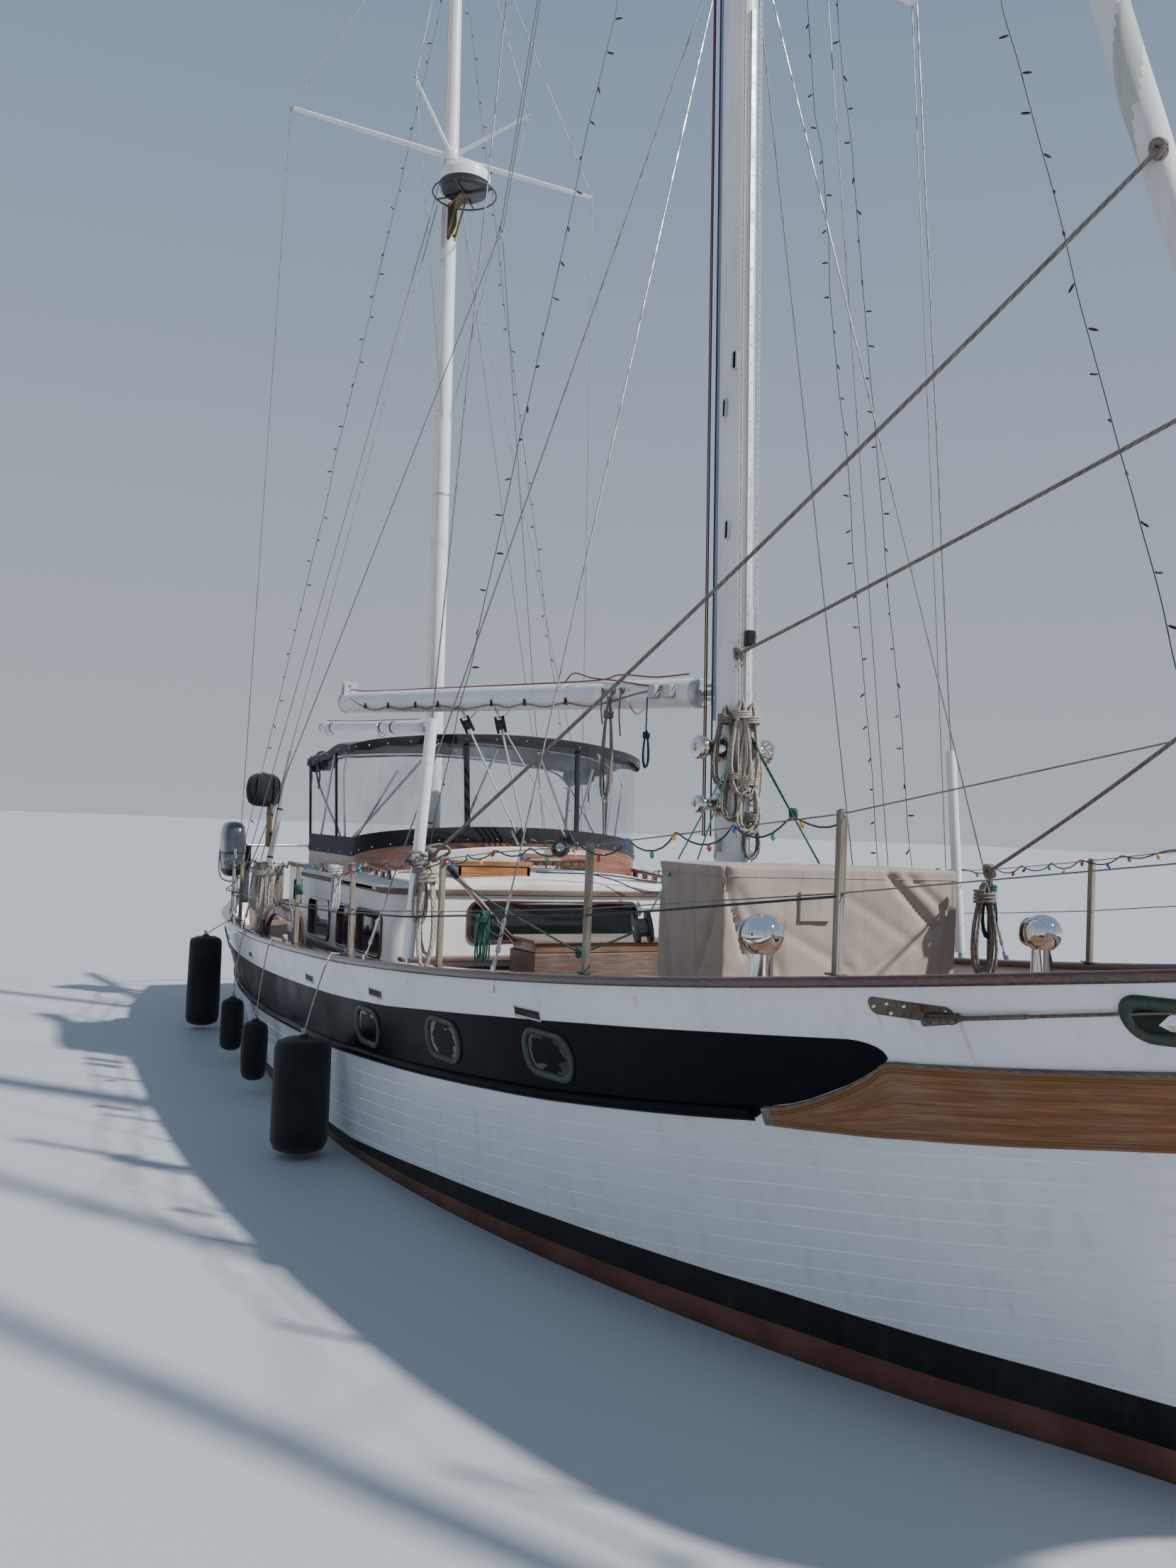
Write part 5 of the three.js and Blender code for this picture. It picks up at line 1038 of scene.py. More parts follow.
def strake_section(s):
    z = s["rail"] - between(STRAKE_DROP, s["x"])
    points = []
    for i in range(9):
        a = math.pi * (i / 8 - 0.5)
        height = z + 0.03 * math.sin(a)
        points.append((side_half(s, height) + 0.001 + 0.034 * math.cos(a), height))
    return points


def band_edges(x):
    """Top and foot of the dark band at x; forward its foot follows the name board's scallop."""
    top = rail_z(x) - between(BAND_DROP, x)
    foot = rail_z(x) - between(STRAKE_DROP, x)
    if x > 4.35:
        foot = between(SCALLOP, x)
    nose = max(0.0, (x - 4.82) / 0.16)
    top = top - 0.062 * (1 - math.sqrt(max(0.0, 1 - nose * nose)))
    return top, min(foot, top - 0.002)


SCALLOP = [
    (4.35, 1.131), (4.48, 1.165), (4.61, 1.217), (4.78, 1.3), (4.895, 1.369), (4.969, 1.422),
    (4.985, 1.44),
]
BAND_XS = [-6.88 + 0.14 * i for i in range(80)] + [
    4.3, 4.4, 4.5, 4.6, 4.7, 4.78, 4.84, 4.88, 4.92, 4.95, 4.97, 4.98
]
BAND_ROWS = 6
BAND_PROUD = 0.003

# x, top and foot of the name board
BOARD = [
    (4.35, 1.131, 1.06),
    (4.48, 1.163, 1.073),
    (4.61, 1.215, 1.088),
    (4.7, 1.257, 1.098),
    (4.78, 1.298, 1.107),
    (4.84, 1.334, 1.115),
    (4.895, 1.367, 1.123),
    (4.969, 1.42, 1.135),
    (5.1, 1.436, 1.152),
    (5.35, 1.466, 1.19),
    (5.6, 1.5, 1.234),
    (5.9, 1.545, 1.286),
    (6.1, 1.575, 1.325),
    (6.25, 1.585, 1.36),
    (6.36, 1.565, 1.405),
    (6.42, 1.52, 1.45),
]
BOARD_PROUD = 0.024
BOARD_BORDER = [
    # how far in from the edge, how proud of the hull
    (0.0, 0.002),
    (0.0, 0.02),
    (0.004, 0.024),
    (0.013, 0.024),
    (0.0155, 0.0205),
    (0.018, 0.024),
    (0.023, 0.024),
    (0.0255, 0.0205),
    (0.028, 0.024),
]


def make_board(name, side):
    """A carved board: two lines cut in all round it, and a worn top edge."""
    shape = Shape()
    xs = curve([(x, top, foot) for x, top, foot in BOARD], 3)
    ends = []
    for x, top, foot in ((p.x, p.y, p.z) for p in xs):
        tall = top - foot
        border = [(min(d, tall * 0.45), out) for d, out in BOARD_BORDER]
        upper = [(top - d, out) for d, out in border]
        lower = [(foot + d, out) for d, out in reversed(border)]
        middle = [(foot + tall * k, BOARD_PROUD) for k in (0.75, 0.5, 0.25)] if tall > 0.12 else [
            ((top + foot) / 2, BOARD_PROUD)
        ] * 3
        ends.append([on_side(x, z, side, out) for z, out in upper + middle + lower])
    last = len(BOARD_BORDER) * 2 + 2

    def finish(i, j):
        return "board_edge" if j in (0, 1, last) or i == 0 else "board"

    shape.loft(ends, finish)
    shape.make("name_board_" + name, "varnished_wood", replaces=["name_board_" + name], sharp=24)


CAP_XS = [-6.94] + [x for x in HULL_XS if -6.9 < x < 7.2] + [7.2]
STRAKE_XS = [x for x in HULL_XS if -6.55 <= x <= 4.38]

for side_name, side in SIDES:
    rail = Shape()
    strip(rail, CAP_XS, cap_section, "rail", side)
    rail.make(
        "cap_rail_" + side_name + "_wood",
        "varnished_wood",
        replaces=["cap_rail_" + side_name],
        sharp=50,
    )
    rub = Shape()
    strip(rub, STRAKE_XS, strake_section, "navy", side)
    rub.make("rub_strake_" + side_name + "_bar", "black_trim", replaces=["rub_strake_" + side_name])
    band = Shape()
    columns = []
    for x in BAND_XS:
        top, foot = band_edges(x)
        heights = [top + (foot - top) * i / BAND_ROWS for i in range(BAND_ROWS + 1)]
        outer = [on_side(x, z, side, BAND_PROUD) for z in heights]
        columns.append([on_side(x, top, side, 0.0003), *outer, on_side(x, foot, side, 0.0003)])
    band.loft(columns, "navy")
    band.make("dark_band_" + side_name, "black_trim")
    make_board(side_name, side)

taffrail = Shape()
taffrail_end = 1.235
taffrail.sweep(
    curve([(-6.985, -taffrail_end, 1.1425), (-7.0, 0, 1.1425), (-6.985, taffrail_end, 1.1425)], 10),
    rounded(0.118, 0.044, 0.012, 3),
    "rail_across",
)
taffrail.make("taffrail_wood", "varnished_wood", replaces=["taffrail"], sharp=50)


# Things that repeat


def geometry_tree(name, sockets):
    tree = bpy.data.node_groups.new(name, "GeometryNodeTree")
    tree.interface.new_socket("Geometry", in_out="INPUT", socket_type="NodeSocketGeometry")
    for socket, kind, value in sockets:
        made = tree.interface.new_socket(socket, in_out="INPUT", socket_type=kind)
        if value is not None:
            made.default_value = value
    tree.interface.new_socket("Geometry", in_out="OUTPUT", socket_type="NodeSocketGeometry")
    return tree, tree.nodes.new("NodeGroupInput").outputs, tree.nodes.new("NodeGroupOutput").inputs


def realized(tree, geometry, material, out):
    """The tree's end: real meshes with their material."""
    real = node(tree, "GeometryNodeRealizeInstances", {0: geometry}).outputs[0]
    shown = node(tree, "GeometryNodeSetMaterial", {"Geometry": real, "Material": material})
    tree.links.new(shown.outputs[0], out["Geometry"])


def studs_tree():
    """A low round head on every vertex, turned to the vertex's way."""
    tree, given, out = geometry_tree(
        "studs",
        [
            ("Radius", "NodeSocketFloat", 0.008),
            ("Height", "NodeSocketFloat", 0.005),
            ("Material", "NodeSocketMaterial", None),
        ],
    )
    crown = math_node(tree, "MULTIPLY", given["Radius"], 0.62)
    head = node(
        tree,
        "GeometryNodeMeshCone",
        {
            "Vertices": 10,
            "Radius Top": crown,
            "Radius Bottom": given["Radius"],
            "Depth": given["Height"],
        },
    ).outputs["Mesh"]
    way = node(tree, "GeometryNodeInputNamedAttribute", {"Name": "way"}, data_type="FLOAT_VECTOR").outputs[0]
    turn = node(tree, "FunctionNodeAlignRotationToVector", {"Vector": way}, axis="Z").outputs[0]
    points = node(tree, "GeometryNodeMeshToPoints", {"Mesh": given["Geometry"]}).outputs[0]
    placed = node(
        tree, "GeometryNodeInstanceOnPoints", {"Points": points, "Instance": head, "Rotation": turn}
    )
    realized(tree, placed.outputs[0], given["Material"], out)
    return tree


def string_tree():
    """Small lamps or clips at even steps along a line, each tipped its own way."""
    tree, given, out = geometry_tree(
        "string_of_lamps",
        [
            ("Spacing", "NodeSocketFloat", 0.25),
            ("Radius", "NodeSocketFloat", 0.012),
            ("Length", "NodeSocketFloat", 0.03),
            ("Every", "NodeSocketInt", 1),
            ("Turn", "NodeSocketInt", 0),
            ("Tip", "NodeSocketFloat", 0.6),
            ("Seed", "NodeSocketInt", 3),
            ("Material", "NodeSocketMaterial", None),
        ],
    )
    line = node(tree, "GeometryNodeMeshToCurve", {"Mesh": given["Geometry"]}).outputs[0]
    steps = node(
        tree, "GeometryNodeResampleCurve", {"Curve": line, "Length": given["Spacing"]}, mode="LENGTH"
    ).outputs[0]
    lamp = node(
        tree, "GeometryNodeMeshUVSphere", {"Segments": 8, "Rings": 6, "Radius": given["Radius"]}
    ).outputs["Mesh"]
    long = math_node(tree, "DIVIDE", math_node(tree, "MULTIPLY", given["Length"], 0.5), given["Radius"])
    scale = node(tree, "ShaderNodeCombineXYZ", {"X": 1.0, "Y": 1.0, "Z": long}).outputs[0]
    down = math_node(tree, "MULTIPLY", given["Length"], -0.6)
    shift = node(tree, "ShaderNodeCombineXYZ", {"Z": down}).outputs[0]
    hung = node(
        tree, "GeometryNodeTransform", {"Geometry": lamp, "Translation": shift, "Scale": scale}
    ).outputs[0]
    order = node(tree, "GeometryNodeInputIndex").outputs[0]
    share = math_node(tree, "MODULO", order, given["Every"])
    mine = node(
        tree,
        "FunctionNodeCompare",
        {0: share, 1: given["Turn"], "Epsilon": 0.1},
        data_type="FLOAT",
        operation="EQUAL",
    ).outputs[0]
    least = math_node(tree, "MULTIPLY", given["Tip"], -1.0)
    low_turn = node(tree, "ShaderNodeCombineXYZ", {"X": least, "Y": least, "Z": -math.pi}).outputs[0]
    high_turn = node(
        tree, "ShaderNodeCombineXYZ", {"X": given["Tip"], "Y": given["Tip"], "Z": math.pi}
    ).outputs[0]
    turn = node(
        tree,
        "FunctionNodeRandomValue",
        {"Min": low_turn, "Max": high_turn, "Seed": given["Seed"]},
        data_type="FLOAT_VECTOR",
    ).outputs[0]
    placed = node(
        tree,
        "GeometryNodeInstanceOnPoints",
        {"Points": steps, "Selection": mine, "Instance": hung, "Rotation": turn},
    )
    realized(tree, placed.outputs[0], given["Material"], out)
    return tree


STUDS, LAMPS = studs_tree(), string_tree()


def grown(name, mesh, tree, values, body=BOAT):
    """What a tree makes of a mesh, as a plain piece that rides on its body."""
    made = bpy.data.objects.new(name, mesh)
    bpy.context.scene.collection.objects.link(made)
    growth = made.modifiers.new(name, "NODES")
    growth.node_group = tree
    for item in tree.interface.items_tree:
        if item.in_out == "INPUT" and item.name in values:
            growth[item.identifier] = values[item.name]
    settle(made)
    made.data.shade_smooth()
    made.data.set_sharp_from_angle(angle=math.radians(40))
    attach(made, body)


def studs(name, places, radius, height, finish, body=BOAT):
    """Round heads of bolts, screws or snaps; places is a list of (point, way out)."""
    mesh = bpy.data.meshes.new(name)
    mesh.from_pydata([tuple(p) for p, _ in places], [], [])
    way = mesh.attributes.new("way", "FLOAT_VECTOR", "POINT")
    way.data.foreach_set("vector", [c for _, w in places for c in w])
    values = {"Radius": radius, "Height": height, "Material": FINISHES[finish]}
    grown(name, mesh, STUDS, values, body)


def line_mesh(name, path):
    mesh = bpy.data.meshes.new(name)
    mesh.from_pydata([tuple(p) for p in path], [(i, i + 1) for i in range(len(path) - 1)], [])
    return mesh


# On the hull's sides


def ring_on_side(shape, x, z, side, outline, profile, finish):
    """A frame that follows the hull: profile gives how far in from the outline, and how proud."""
    rings = []
    for by, out in profile:
        edge = inset(outline, by) if by else [Vector(p) for p in outline]
        rings.append([on_side(x + p.x, z + p.y, side, out) for p in edge])
    shape.loft(rings, finish)


PORT_SIZE = (0.4, 0.245, 0.108)
PORT_PLACES = [(0.92, 0.92), (2.0, 1.02), (3.03, 1.115), (-5.35, 0.86)]
PORT_PROFILE = [
    (0.0, -0.004),
    (0.0, 0.009),
    (0.004, 0.015),
    (0.013, 0.017),
    (0.029, 0.015),
    (0.034, 0.011),
    (0.037, 0.003),
    (0.05, 0.003),
]
SCUPPER_PLACES = [(-0.35, 0.205), (1.07, 0.2), (-2.6, 0.2), (-4.6, 0.2), (2.9, 0.2)]


def scupper(shape, x, drop, side):
    """A slot through the bulwark: a bright lip round a black disc, painted shade in place of its throat."""
    z = rail_z(x) - drop
    outline = rounded(0.24, 0.055, 0.012, 2)
    profile = [(0.0, -0.003), (0.0, 0.004), (0.004, 0.006), (0.009, 0.002), (0.011, 0.0012)]
    ring_on_side(shape, x, z, side, outline, profile, lambda i, j: "chrome" if i < 3 else "boot")


def hawse(shape, x, z, side):
    """A cast bronze fairlead with a rounded lip round a black disc, painted shade in place of its opening."""
    outline = rounded(0.36, 0.15, 0.07, 6)
    profile = [(-0.002, -0.002)]
    for i in range(9):
        a = math.pi * i / 8
        profile.append((0.018 - 0.02 * math.cos(a), 0.004 + 0.02 * math.sin(a)))
    profile.append((0.042, 0.0015))
    ring_on_side(shape, x, z, side, outline, profile, lambda i, j: "verdigris" if i < 9 else "boot")


TANG = {"x0": 4.98, "x1": 5.29, "z": 1.635, "tall": 0.062, "pin": (5.22, 1.627)}
WHISKER_TIP = Vector((8.86, 0.076, 2.2436))


def tang(shape, side):
    """A long rusty strap bolted through the bulwark, with a toggle that holds the whisker stay."""
    x0, x1, z = TANG["x0"], TANG["x1"], TANG["z"]
    outline = rounded(x1 - x0, TANG["tall"], 0.024, 5)
    profile = [(0.0, -0.001), (0.0, 0.006), (0.0015, 0.0075)]
    ring_on_side(shape, (x0 + x1) / 2, z, side, outline, profile, "rusty")
    pin = on_side(*TANG["pin"], side, 0.012)
    tip = Vector((WHISKER_TIP.x, side * WHISKER_TIP.y, WHISKER_TIP.z))
    way = (tip - pin).normalized()
    out = on_side(*TANG["pin"], side, 0.05) - on_side(*TANG["pin"], side, 0.0)
    for aside in (-0.013, 0.013):
        centre = pin + out.normalized() * (0.012 + aside) + way * 0.02
        shape.rod(centre - way * 0.05, centre + way * 0.075, 0.017, "rusty", 8, 0.012)
    shape.rod(pin - out * 0.35, pin + out * 0.9, 0.008, "rusty", 8)
    start = pin + out.normalized() * 0.012 + way * 0.07
    shape.turned(
        [(0.0, 0), (0.012, 0.0), (0.014, 0.02), (0.0085, 0.05), (0.0085, 0.27), (0.006, 0.285), (0.0, 0.285)],
        start,
        way,
        "rusty",
        10,
    )
    shape.tube([start + way * 0.28, tip], 0.0062, "rusty", 8)
    return [
        (on_side(x0 + dx, z + dz, side, 0.0075), on_side(x0, z, side, 1.0) - on_side(x0, z, side))
        for dx, dz in (
            (0.02, 0), (0.075, 0.017), (0.08, -0.017), (0.14, 0.016), (0.285, 0.016), (0.29, -0.012)
        )
    ]


for side_name, side in SIDES:
    ports = Shape()
    for x, z in PORT_PLACES:
        # Each port's glass is a dark disc over the solid hull: painted shade of an unlit inside.
        ring_on_side(
            ports,
            x,
            z,
            side,
            rounded(*PORT_SIZE, 7),
            PORT_PROFILE,
            lambda i, j: "verdigris" if i < 6 else "port_glass",
        )
    ports.make("ports_" + side_name, "bronze")
    screws = []
    for x, z in PORT_PLACES:
        for u, v in inset(rounded(*PORT_SIZE, 2), 0.02):
            out = on_side(x + u, z + v, side, 1.0) - on_side(x + u, z + v, side)
            screws.append((on_side(x + u, z + v, side, 0.0155), out))
    studs("port_screws_" + side_name, screws, 0.0045, 0.002, "bronze")
    fittings = Shape()
    for x, drop in SCUPPER_PLACES:
        scupper(fittings, x, drop, side)
    hawse(fittings, 6.0, 1.712, side)
    fittings.make("side_fittings_" + side_name, "bronze")
    stay = Shape()
    bolts = tang(stay, side)
    stay.make("whisker_stay_and_tang_" + side_name, "stainless", replaces=["whisker_stay_" + side_name])
    studs("tang_bolts_" + side_name, bolts, 0.0085, 0.005, "steel")


# Deckhouse

HOUSE_FRONT, HOUSE_AFT, HOUSE_HALF, HOUSE_TOP = -0.56, -3.15, 1.39, 1.67
HOUSE_BOW, HOUSE_CORNER = 0.06, 0.15
COCKPIT_FRONT, COCKPIT_HALF = -1.76, 1.08
ROOF_EDGE, ROOF_THICK, ROOF_CAMBER, ROOF_RISE = 0.03, 0.045, 0.085, 0.06


def house_way():
    """Round the deckhouse from aft to starboard, forward, across its bowed front and aft again."""
    half, front, aft, corner = HOUSE_HALF, HOUSE_FRONT, HOUSE_AFT, HOUSE_CORNER
    along, round_corner, across = 12, 6, 20
    points = [(aft, -half)]
    points += [(aft + (front - corner - aft) * i / along, -half) for i in range(1, along + 1)]
    for i in range(1, round_corner + 1):
        a = -math.pi / 2 + math.pi / 2 * i / (round_corner + 1)
        points.append((front - corner + corner * math.cos(a), -half + corner + corner * math.sin(a)))
    inner = half - corner
    for i in range(across + 1):
        y = -inner + 2 * inner * i / across
        points.append((front + HOUSE_BOW * (1 - (y / inner) ** 2), y))
    mirrored = [(x, -y) for x, y in reversed(points[: 1 + along + round_corner])]
    return [Vector((x, y)) for x, y in points + mirrored]


def sides_of(way):
    """The outward normal at each point of an open way."""
    out = []
    for i in range(len(way)):
        along = (way[min(i + 1, len(way) - 1)] - way[max(i - 1, 0)]).normalized()
        out.append(Vector((along.y, -along.x)))
    return out


def wall_along(shape, way, section, finish):
    """A bar that follows a level way: section is a list of (outwards, height) at each point."""
    rings = []
    for p, n in zip(way, sides_of(way)):
        rings.append([Vector((p.x + n.x * out, p.y + n.y * out, z)) for out, z in section])
    shape.loft(rings, finish)


def roof_z(x, y):
    share = max(0.0, min(1.0, HOUSE_FRONT - x))
    return HOUSE_TOP + ROOF_RISE * share + ROOF_CAMBER * (1 - (y / (HOUSE_HALF + 0.03)) ** 2)


SIDE_WINDOWS = [(-1.34, -0.73, 1.16, 1.48), (-1.9, -1.56, 1.15, 1.47), (-2.82, -2.18, 1.15, 1.46)]
FRONT_WINDOW = (-0.74, 0.74, 1.3, 1.59)


def window_parts(frames_of, panes, at, length, tall, radius):
    """A window's wooden frame and its tinted pane, whose near-black colour also paints the shade inside;
    at(u, v, out) places a point on the wall.
    """
    outline = rounded(length + 0.05, tall + 0.05, radius + 0.025, 5)
    profile = [(0.0, -0.004), (0.0, 0.012), (0.005, 0.018), (0.019, 0.018), (0.025, 0.012), (0.027, -0.03)]
    rings = [
        [at(p.x, p.y, out) for p in (inset(outline, by) if by else map(Vector, outline))]
        for by, out in profile
    ]
    frames_of.loft(rings, "rail", caps=False, rings_meet=True)
    pane = inset(outline, 0.0265)
    panes.loft([[at(p.x, p.y, out) for p in pane] for out in (-0.022, -0.016)], "glass")


def make_deckhouse():
    walls = Shape()
    wall_along(walls, house_way(), [(0.0, 0.93), (0.0, 1.672), (-0.038, 1.672), (-0.038, 0.93)], "cabin")
    house = walls.make("deckhouse_walls", "cream_paint", replaces=["deckhouse"])
    frames_of, panes = Shape(), Shape()
    openings = Shape()
    for x0, x1, z0, z1 in SIDE_WINDOWS:
        outline = [((x0 + x1) / 2 + u, (z0 + z1) / 2 + v) for u, v in rounded(x1 - x0, z1 - z0, 0.05, 5)]
        openings.loft([[Vector((u, y, v)) for u, v in outline] for y in (-1.6, 1.6)], "cabin")
        for side in (STARBOARD, PORT):
            window_parts(
                frames_of,
                panes,
                lambda u, v, out: Vector(((x0 + x1) / 2 + u, side * (HOUSE_HALF + out), (z0 + z1) / 2 + v)),
                x1 - x0,
                z1 - z0,
                0.05,
            )
    carve(house, openings, "cabin")
    y0, y1, z0, z1 = FRONT_WINDOW
    inner = HOUSE_HALF - HOUSE_CORNER

    def on_front(u, v, out):
        return Vector((HOUSE_FRONT + HOUSE_BOW * (1 - (u / inner) ** 2) + out, u, (z0 + z1) / 2 + v))

    front = Shape()
    outline = rounded(y1 - y0, z1 - z0, 0.06, 5)
    front.loft([[Vector((x, u, (z0 + z1) / 2 + v)) for u, v in outline] for x in (-0.8, -0.3)], "cabin")
    carve(house, front, "cabin")
    window_parts(frames_of, panes, on_front, y1 - y0, z1 - z0, 0.06)
    frames_of.make("deckhouse_window_frames", "varnished_wood")
    panes.make("deckhouse_panes", "dark_glass", replaces=["deckhouse_glazing"])
    eyebrow = Shape()
    trim = [(-0.004, 1.655), (0.024, 1.655), (0.03, 1.662), (0.03, 1.692), (0.022, 1.7), (-0.004, 1.7)]
    wall_along(eyebrow, house_way(), trim, "eyebrow")
    eyebrow.make("deckhouse_eyebrow", "varnished_wood")
    foot = Shape()
    wall_along(
        foot,
        house_way(),
        [(-0.002, 0.96), (0.018, 0.96), (0.018, 1.09), (0.012, 1.098), (-0.002, 1.1)],
        "eyebrow",
    )
    foot.make("deckhouse_foot_trim", "varnished_wood")


ROOF_SHARES = [
    -1, -0.995, -0.98, -0.94, -0.85, -0.7, -0.5, -0.25, 0, 0.25, 0.5, 0.7, 0.85, 0.94, 0.98, 0.995, 1
]


def make_roof():
    """The cambered top with its soft edge, closed to the cockpit's sides."""
    shape = Shape()
    front_x = HOUSE_FRONT + HOUSE_BOW + 0.03
    xs = [front_x - 0.35 * (1 - math.cos(math.pi / 2 * i / 8)) for i in range(9)]
    xs += [-1.0, -1.2, -1.4, -1.56, -1.72]
    rings = []
    for i, x in enumerate(xs):
        near = max(0.0, 1 - (front_x - x) / 0.35)
        half = HOUSE_HALF + ROOF_EDGE - 0.23 * near**2.4
        edge = 1.0 if i else 0.35
        over, under = [], []
        for share in ROOF_SHARES:
            y = half * share
            bow = HOUSE_BOW * near * share * share
            fall = (1 - abs(share) ** 9) ** (1 / 3)
            tall = (roof_z(x, y) + ROOF_THICK - HOUSE_TOP - 0.02) * (1 - near**6 * 0.55)
            over.append(Vector((x - bow, y, HOUSE_TOP + 0.02 + tall * max(fall, 0.0) * edge)))
            under.append(Vector((x - bow, y, HOUSE_TOP + 0.002)))
        rings.append(over + under[::-1])
    shape.loft(rings, "tread")
    for side in (STARBOARD, PORT):
        low_y, high_y = sorted((side * COCKPIT_HALF, side * (HOUSE_HALF + ROOF_EDGE)))
        shape.block(
            (HOUSE_AFT - 0.02, low_y, HOUSE_TOP + 0.002),
            (COCKPIT_FRONT + 0.06, high_y, HOUSE_TOP + 0.06),
            "tread",
            0.015,
        )
    return shape


HATCH = {"x0": -0.955, "x1": -0.675, "y0": -0.8, "y1": -0.17, "frame": 0.05, "lid": 0.04}
SLIDE = {"x0": -1.755, "x1": -1.325, "y0": 0.08, "y1": 0.69}
HOOD = {"x0": -1.15, "x1": -0.64, "y0": -0.14, "y1": 0.75, "tall": 0.125}
SLIDE_Z = roof_z(SLIDE["x0"], SLIDE["y0"]) + ROOF_THICK
HATCH_Z = roof_z(HATCH["x0"], HATCH["y1"]) + ROOF_THICK


def make_roof_fittings():
    roof = make_roof()
    hood_z = SLIDE_Z + HOOD["tall"]
    roof.block(
        (HOOD["x0"], HOOD["y0"], 1.72),
        (HOOD["x1"], HOOD["y1"], hood_z),
        "cabin",
        0.02,
    )
    made = roof.make("deckhouse_roof_and_hood", "cream_paint", replaces=["deckhouse_roof"], sharp=40)
    holes = Shape()
    holes.block(
        (HATCH["x0"] + 0.05, HATCH["y0"] + 0.05, 1.6),
        (HATCH["x1"] - 0.05, HATCH["y1"] - 0.05, 2.0),
        "cabin",
        0.01,
    )
    holes.block(
        (SLIDE["x0"] + 0.03, SLIDE["y0"] + 0.04, 1.6),
        (SLIDE["x1"] - 0.03, SLIDE["y1"] - 0.04, 1.9),
        "cabin",
        0.01,
    )
    carve(made, holes, "cabin")
    base = Shape()
    x0, x1, y0, y1 = (HATCH[k] for k in ("x0", "x1", "y0", "y1"))
    wide = 0.032
    for low_corner, high_corner in (
        ((x0, y0), (x1, y0 + wide)),
        ((x0, y1 - wide), (x1, y1)),
        ((x0, y0), (x0 + wide, y1)),
        ((x1 - wide, y0), (x1, y1)),
    ):
        base.block(
            (*low_corner, HATCH_Z - 0.09), (*high_corner, HATCH_Z + HATCH["frame"]), "varnish_y", 0.004
        )
    base.make("roof_hatch_frame", "varnished_wood")
    lid = Shape()
    z = HATCH_Z + HATCH["frame"] + 0.006
    count = 5
    step = (x1 - x0 + 0.03) / count
    for i in range(count):
        lid.block(
            (x0 - 0.015 + step * i + 0.002, y0 - 0.015, z),
            (x0 - 0.015 + step * (i + 1) - 0.002, y1 + 0.015, z + HATCH["lid"]),
            "varnish_y",
            0.005,
        )
    lid.block((x0 + 0.01, y0 + 0.01, z - 0.002), (x1 - 0.01, y1 - 0.01, z + 0.02), "varnish", 0.003)
    lid.make("roof_hatch_planks", "varnished_wood", "roof_hatch_lid", ["roof_hatch"])
    slide = Shape()
    z = SLIDE_Z + 0.008
    count = 7
    step = (SLIDE["y1"] - SLIDE["y0"]) / count
    for i in range(count):
        slide.block(
            (SLIDE["x0"], SLIDE["y0"] + step * i + 0.0015, z),
            (SLIDE["x1"], SLIDE["y0"] + step * (i + 1) - 0.0015, z + 0.036),
            "varnish",
            0.004,
        )
    for x in (SLIDE["x0"] + 0.03, SLIDE["x1"] - 0.05):
        slide.block(
            (x, SLIDE["y0"] + 0.02, z + 0.03),
            (x + 0.03, SLIDE["y1"] - 0.02, z + 0.04),
            "varnish_y",
            0.003,
        )
    slide.make("companion_slide_planks", "varnished_wood", "companion_hatch", ["companion_slide"])
    rails = Shape()
    for side in (STARBOARD, PORT):
        hand_rail(rails, [(x, side * 1.27) for x in (-0.95, -1.65)], lambda x, y: roof_z(x, y) + 0.035, 4)
    rails.block((-0.66, -0.1, 1.755), (-0.63, 1.0, 1.79), "eyebrow_y", 0.005)
    rails.make("roof_hand_rails", "varnished_wood")


def hand_rail(shape, ends, height, feet):
    """A wooden rail on short feet along a cabin top."""
    (x0, y0), (x1, y1) = ends
    path = []
    for i in range(feet * 4 + 1):
        t = i / (feet * 4)
        x, y = x0 + (x1 - x0) * t, y0 + (y1 - y0) * t
        path.append(Vector((x, y, height(x, y) + 0.055)))
    shape.sweep(path, rounded(0.026, 0.032, 0.01, 2), "rail")
    for i in range(feet + 1):
        t = min(0.98, max(0.02, i / feet))
        x, y = x0 + (x1 - x0) * t, y0 + (y1 - y0) * t
        z = height(x, y)
        shape.block((x - 0.035, y - 0.012, z - 0.03), (x + 0.035, y + 0.012, z + 0.045), "rail", 0.006)


make_deckhouse()
make_roof_fittings()


# Cockpit: coaming, enclosure, seats and wheel

COAMING = {"half": 1.345, "front": -1.17, "corner": -1.72, "aft": -3.13}
TOP = {"half": 1.4, "front": -1.23, "corner": -1.76, "aft": -3.12}
COAMING_THICK = 0.042
POST_ANGLES = (-20, 20)


def cockpit_way(half, front, corner, aft, steps=32):
    """Round the cockpit from aft to starboard, forward and back: x, y, outward normal, share."""
    reach = front - corner
    way = [(aft + (corner - aft) * i / 8, -half, 0.0, -1.0, 0.0) for i in range(8)]
    for i in range(steps + 1):
        a = math.pi * (i / steps - 0.5)
        n = Vector((math.cos(a) / reach, math.sin(a) / half)).normalized()
        way.append((corner + reach * math.cos(a), half * math.sin(a), n.x, n.y, math.cos(a)))
    return way + [(x, -y, nx, -ny, k) for x, y, nx, ny, k in way[7::-1]]


def coaming_top(share):
    return 1.95 + 0.17 * share


def top_z(x, y):
    return 2.845 + 0.125 * (1 - (y / TOP["half"]) ** 2) - max(0.0, (-2.1 - x) * 0.1)


def skirt_top(share):
    return coaming_top(share) + 0.075 + 0.03 * (1 - share) ** 2


COAMING_WAY = cockpit_way(**COAMING)
TOP_WAY = cockpit_way(**TOP)


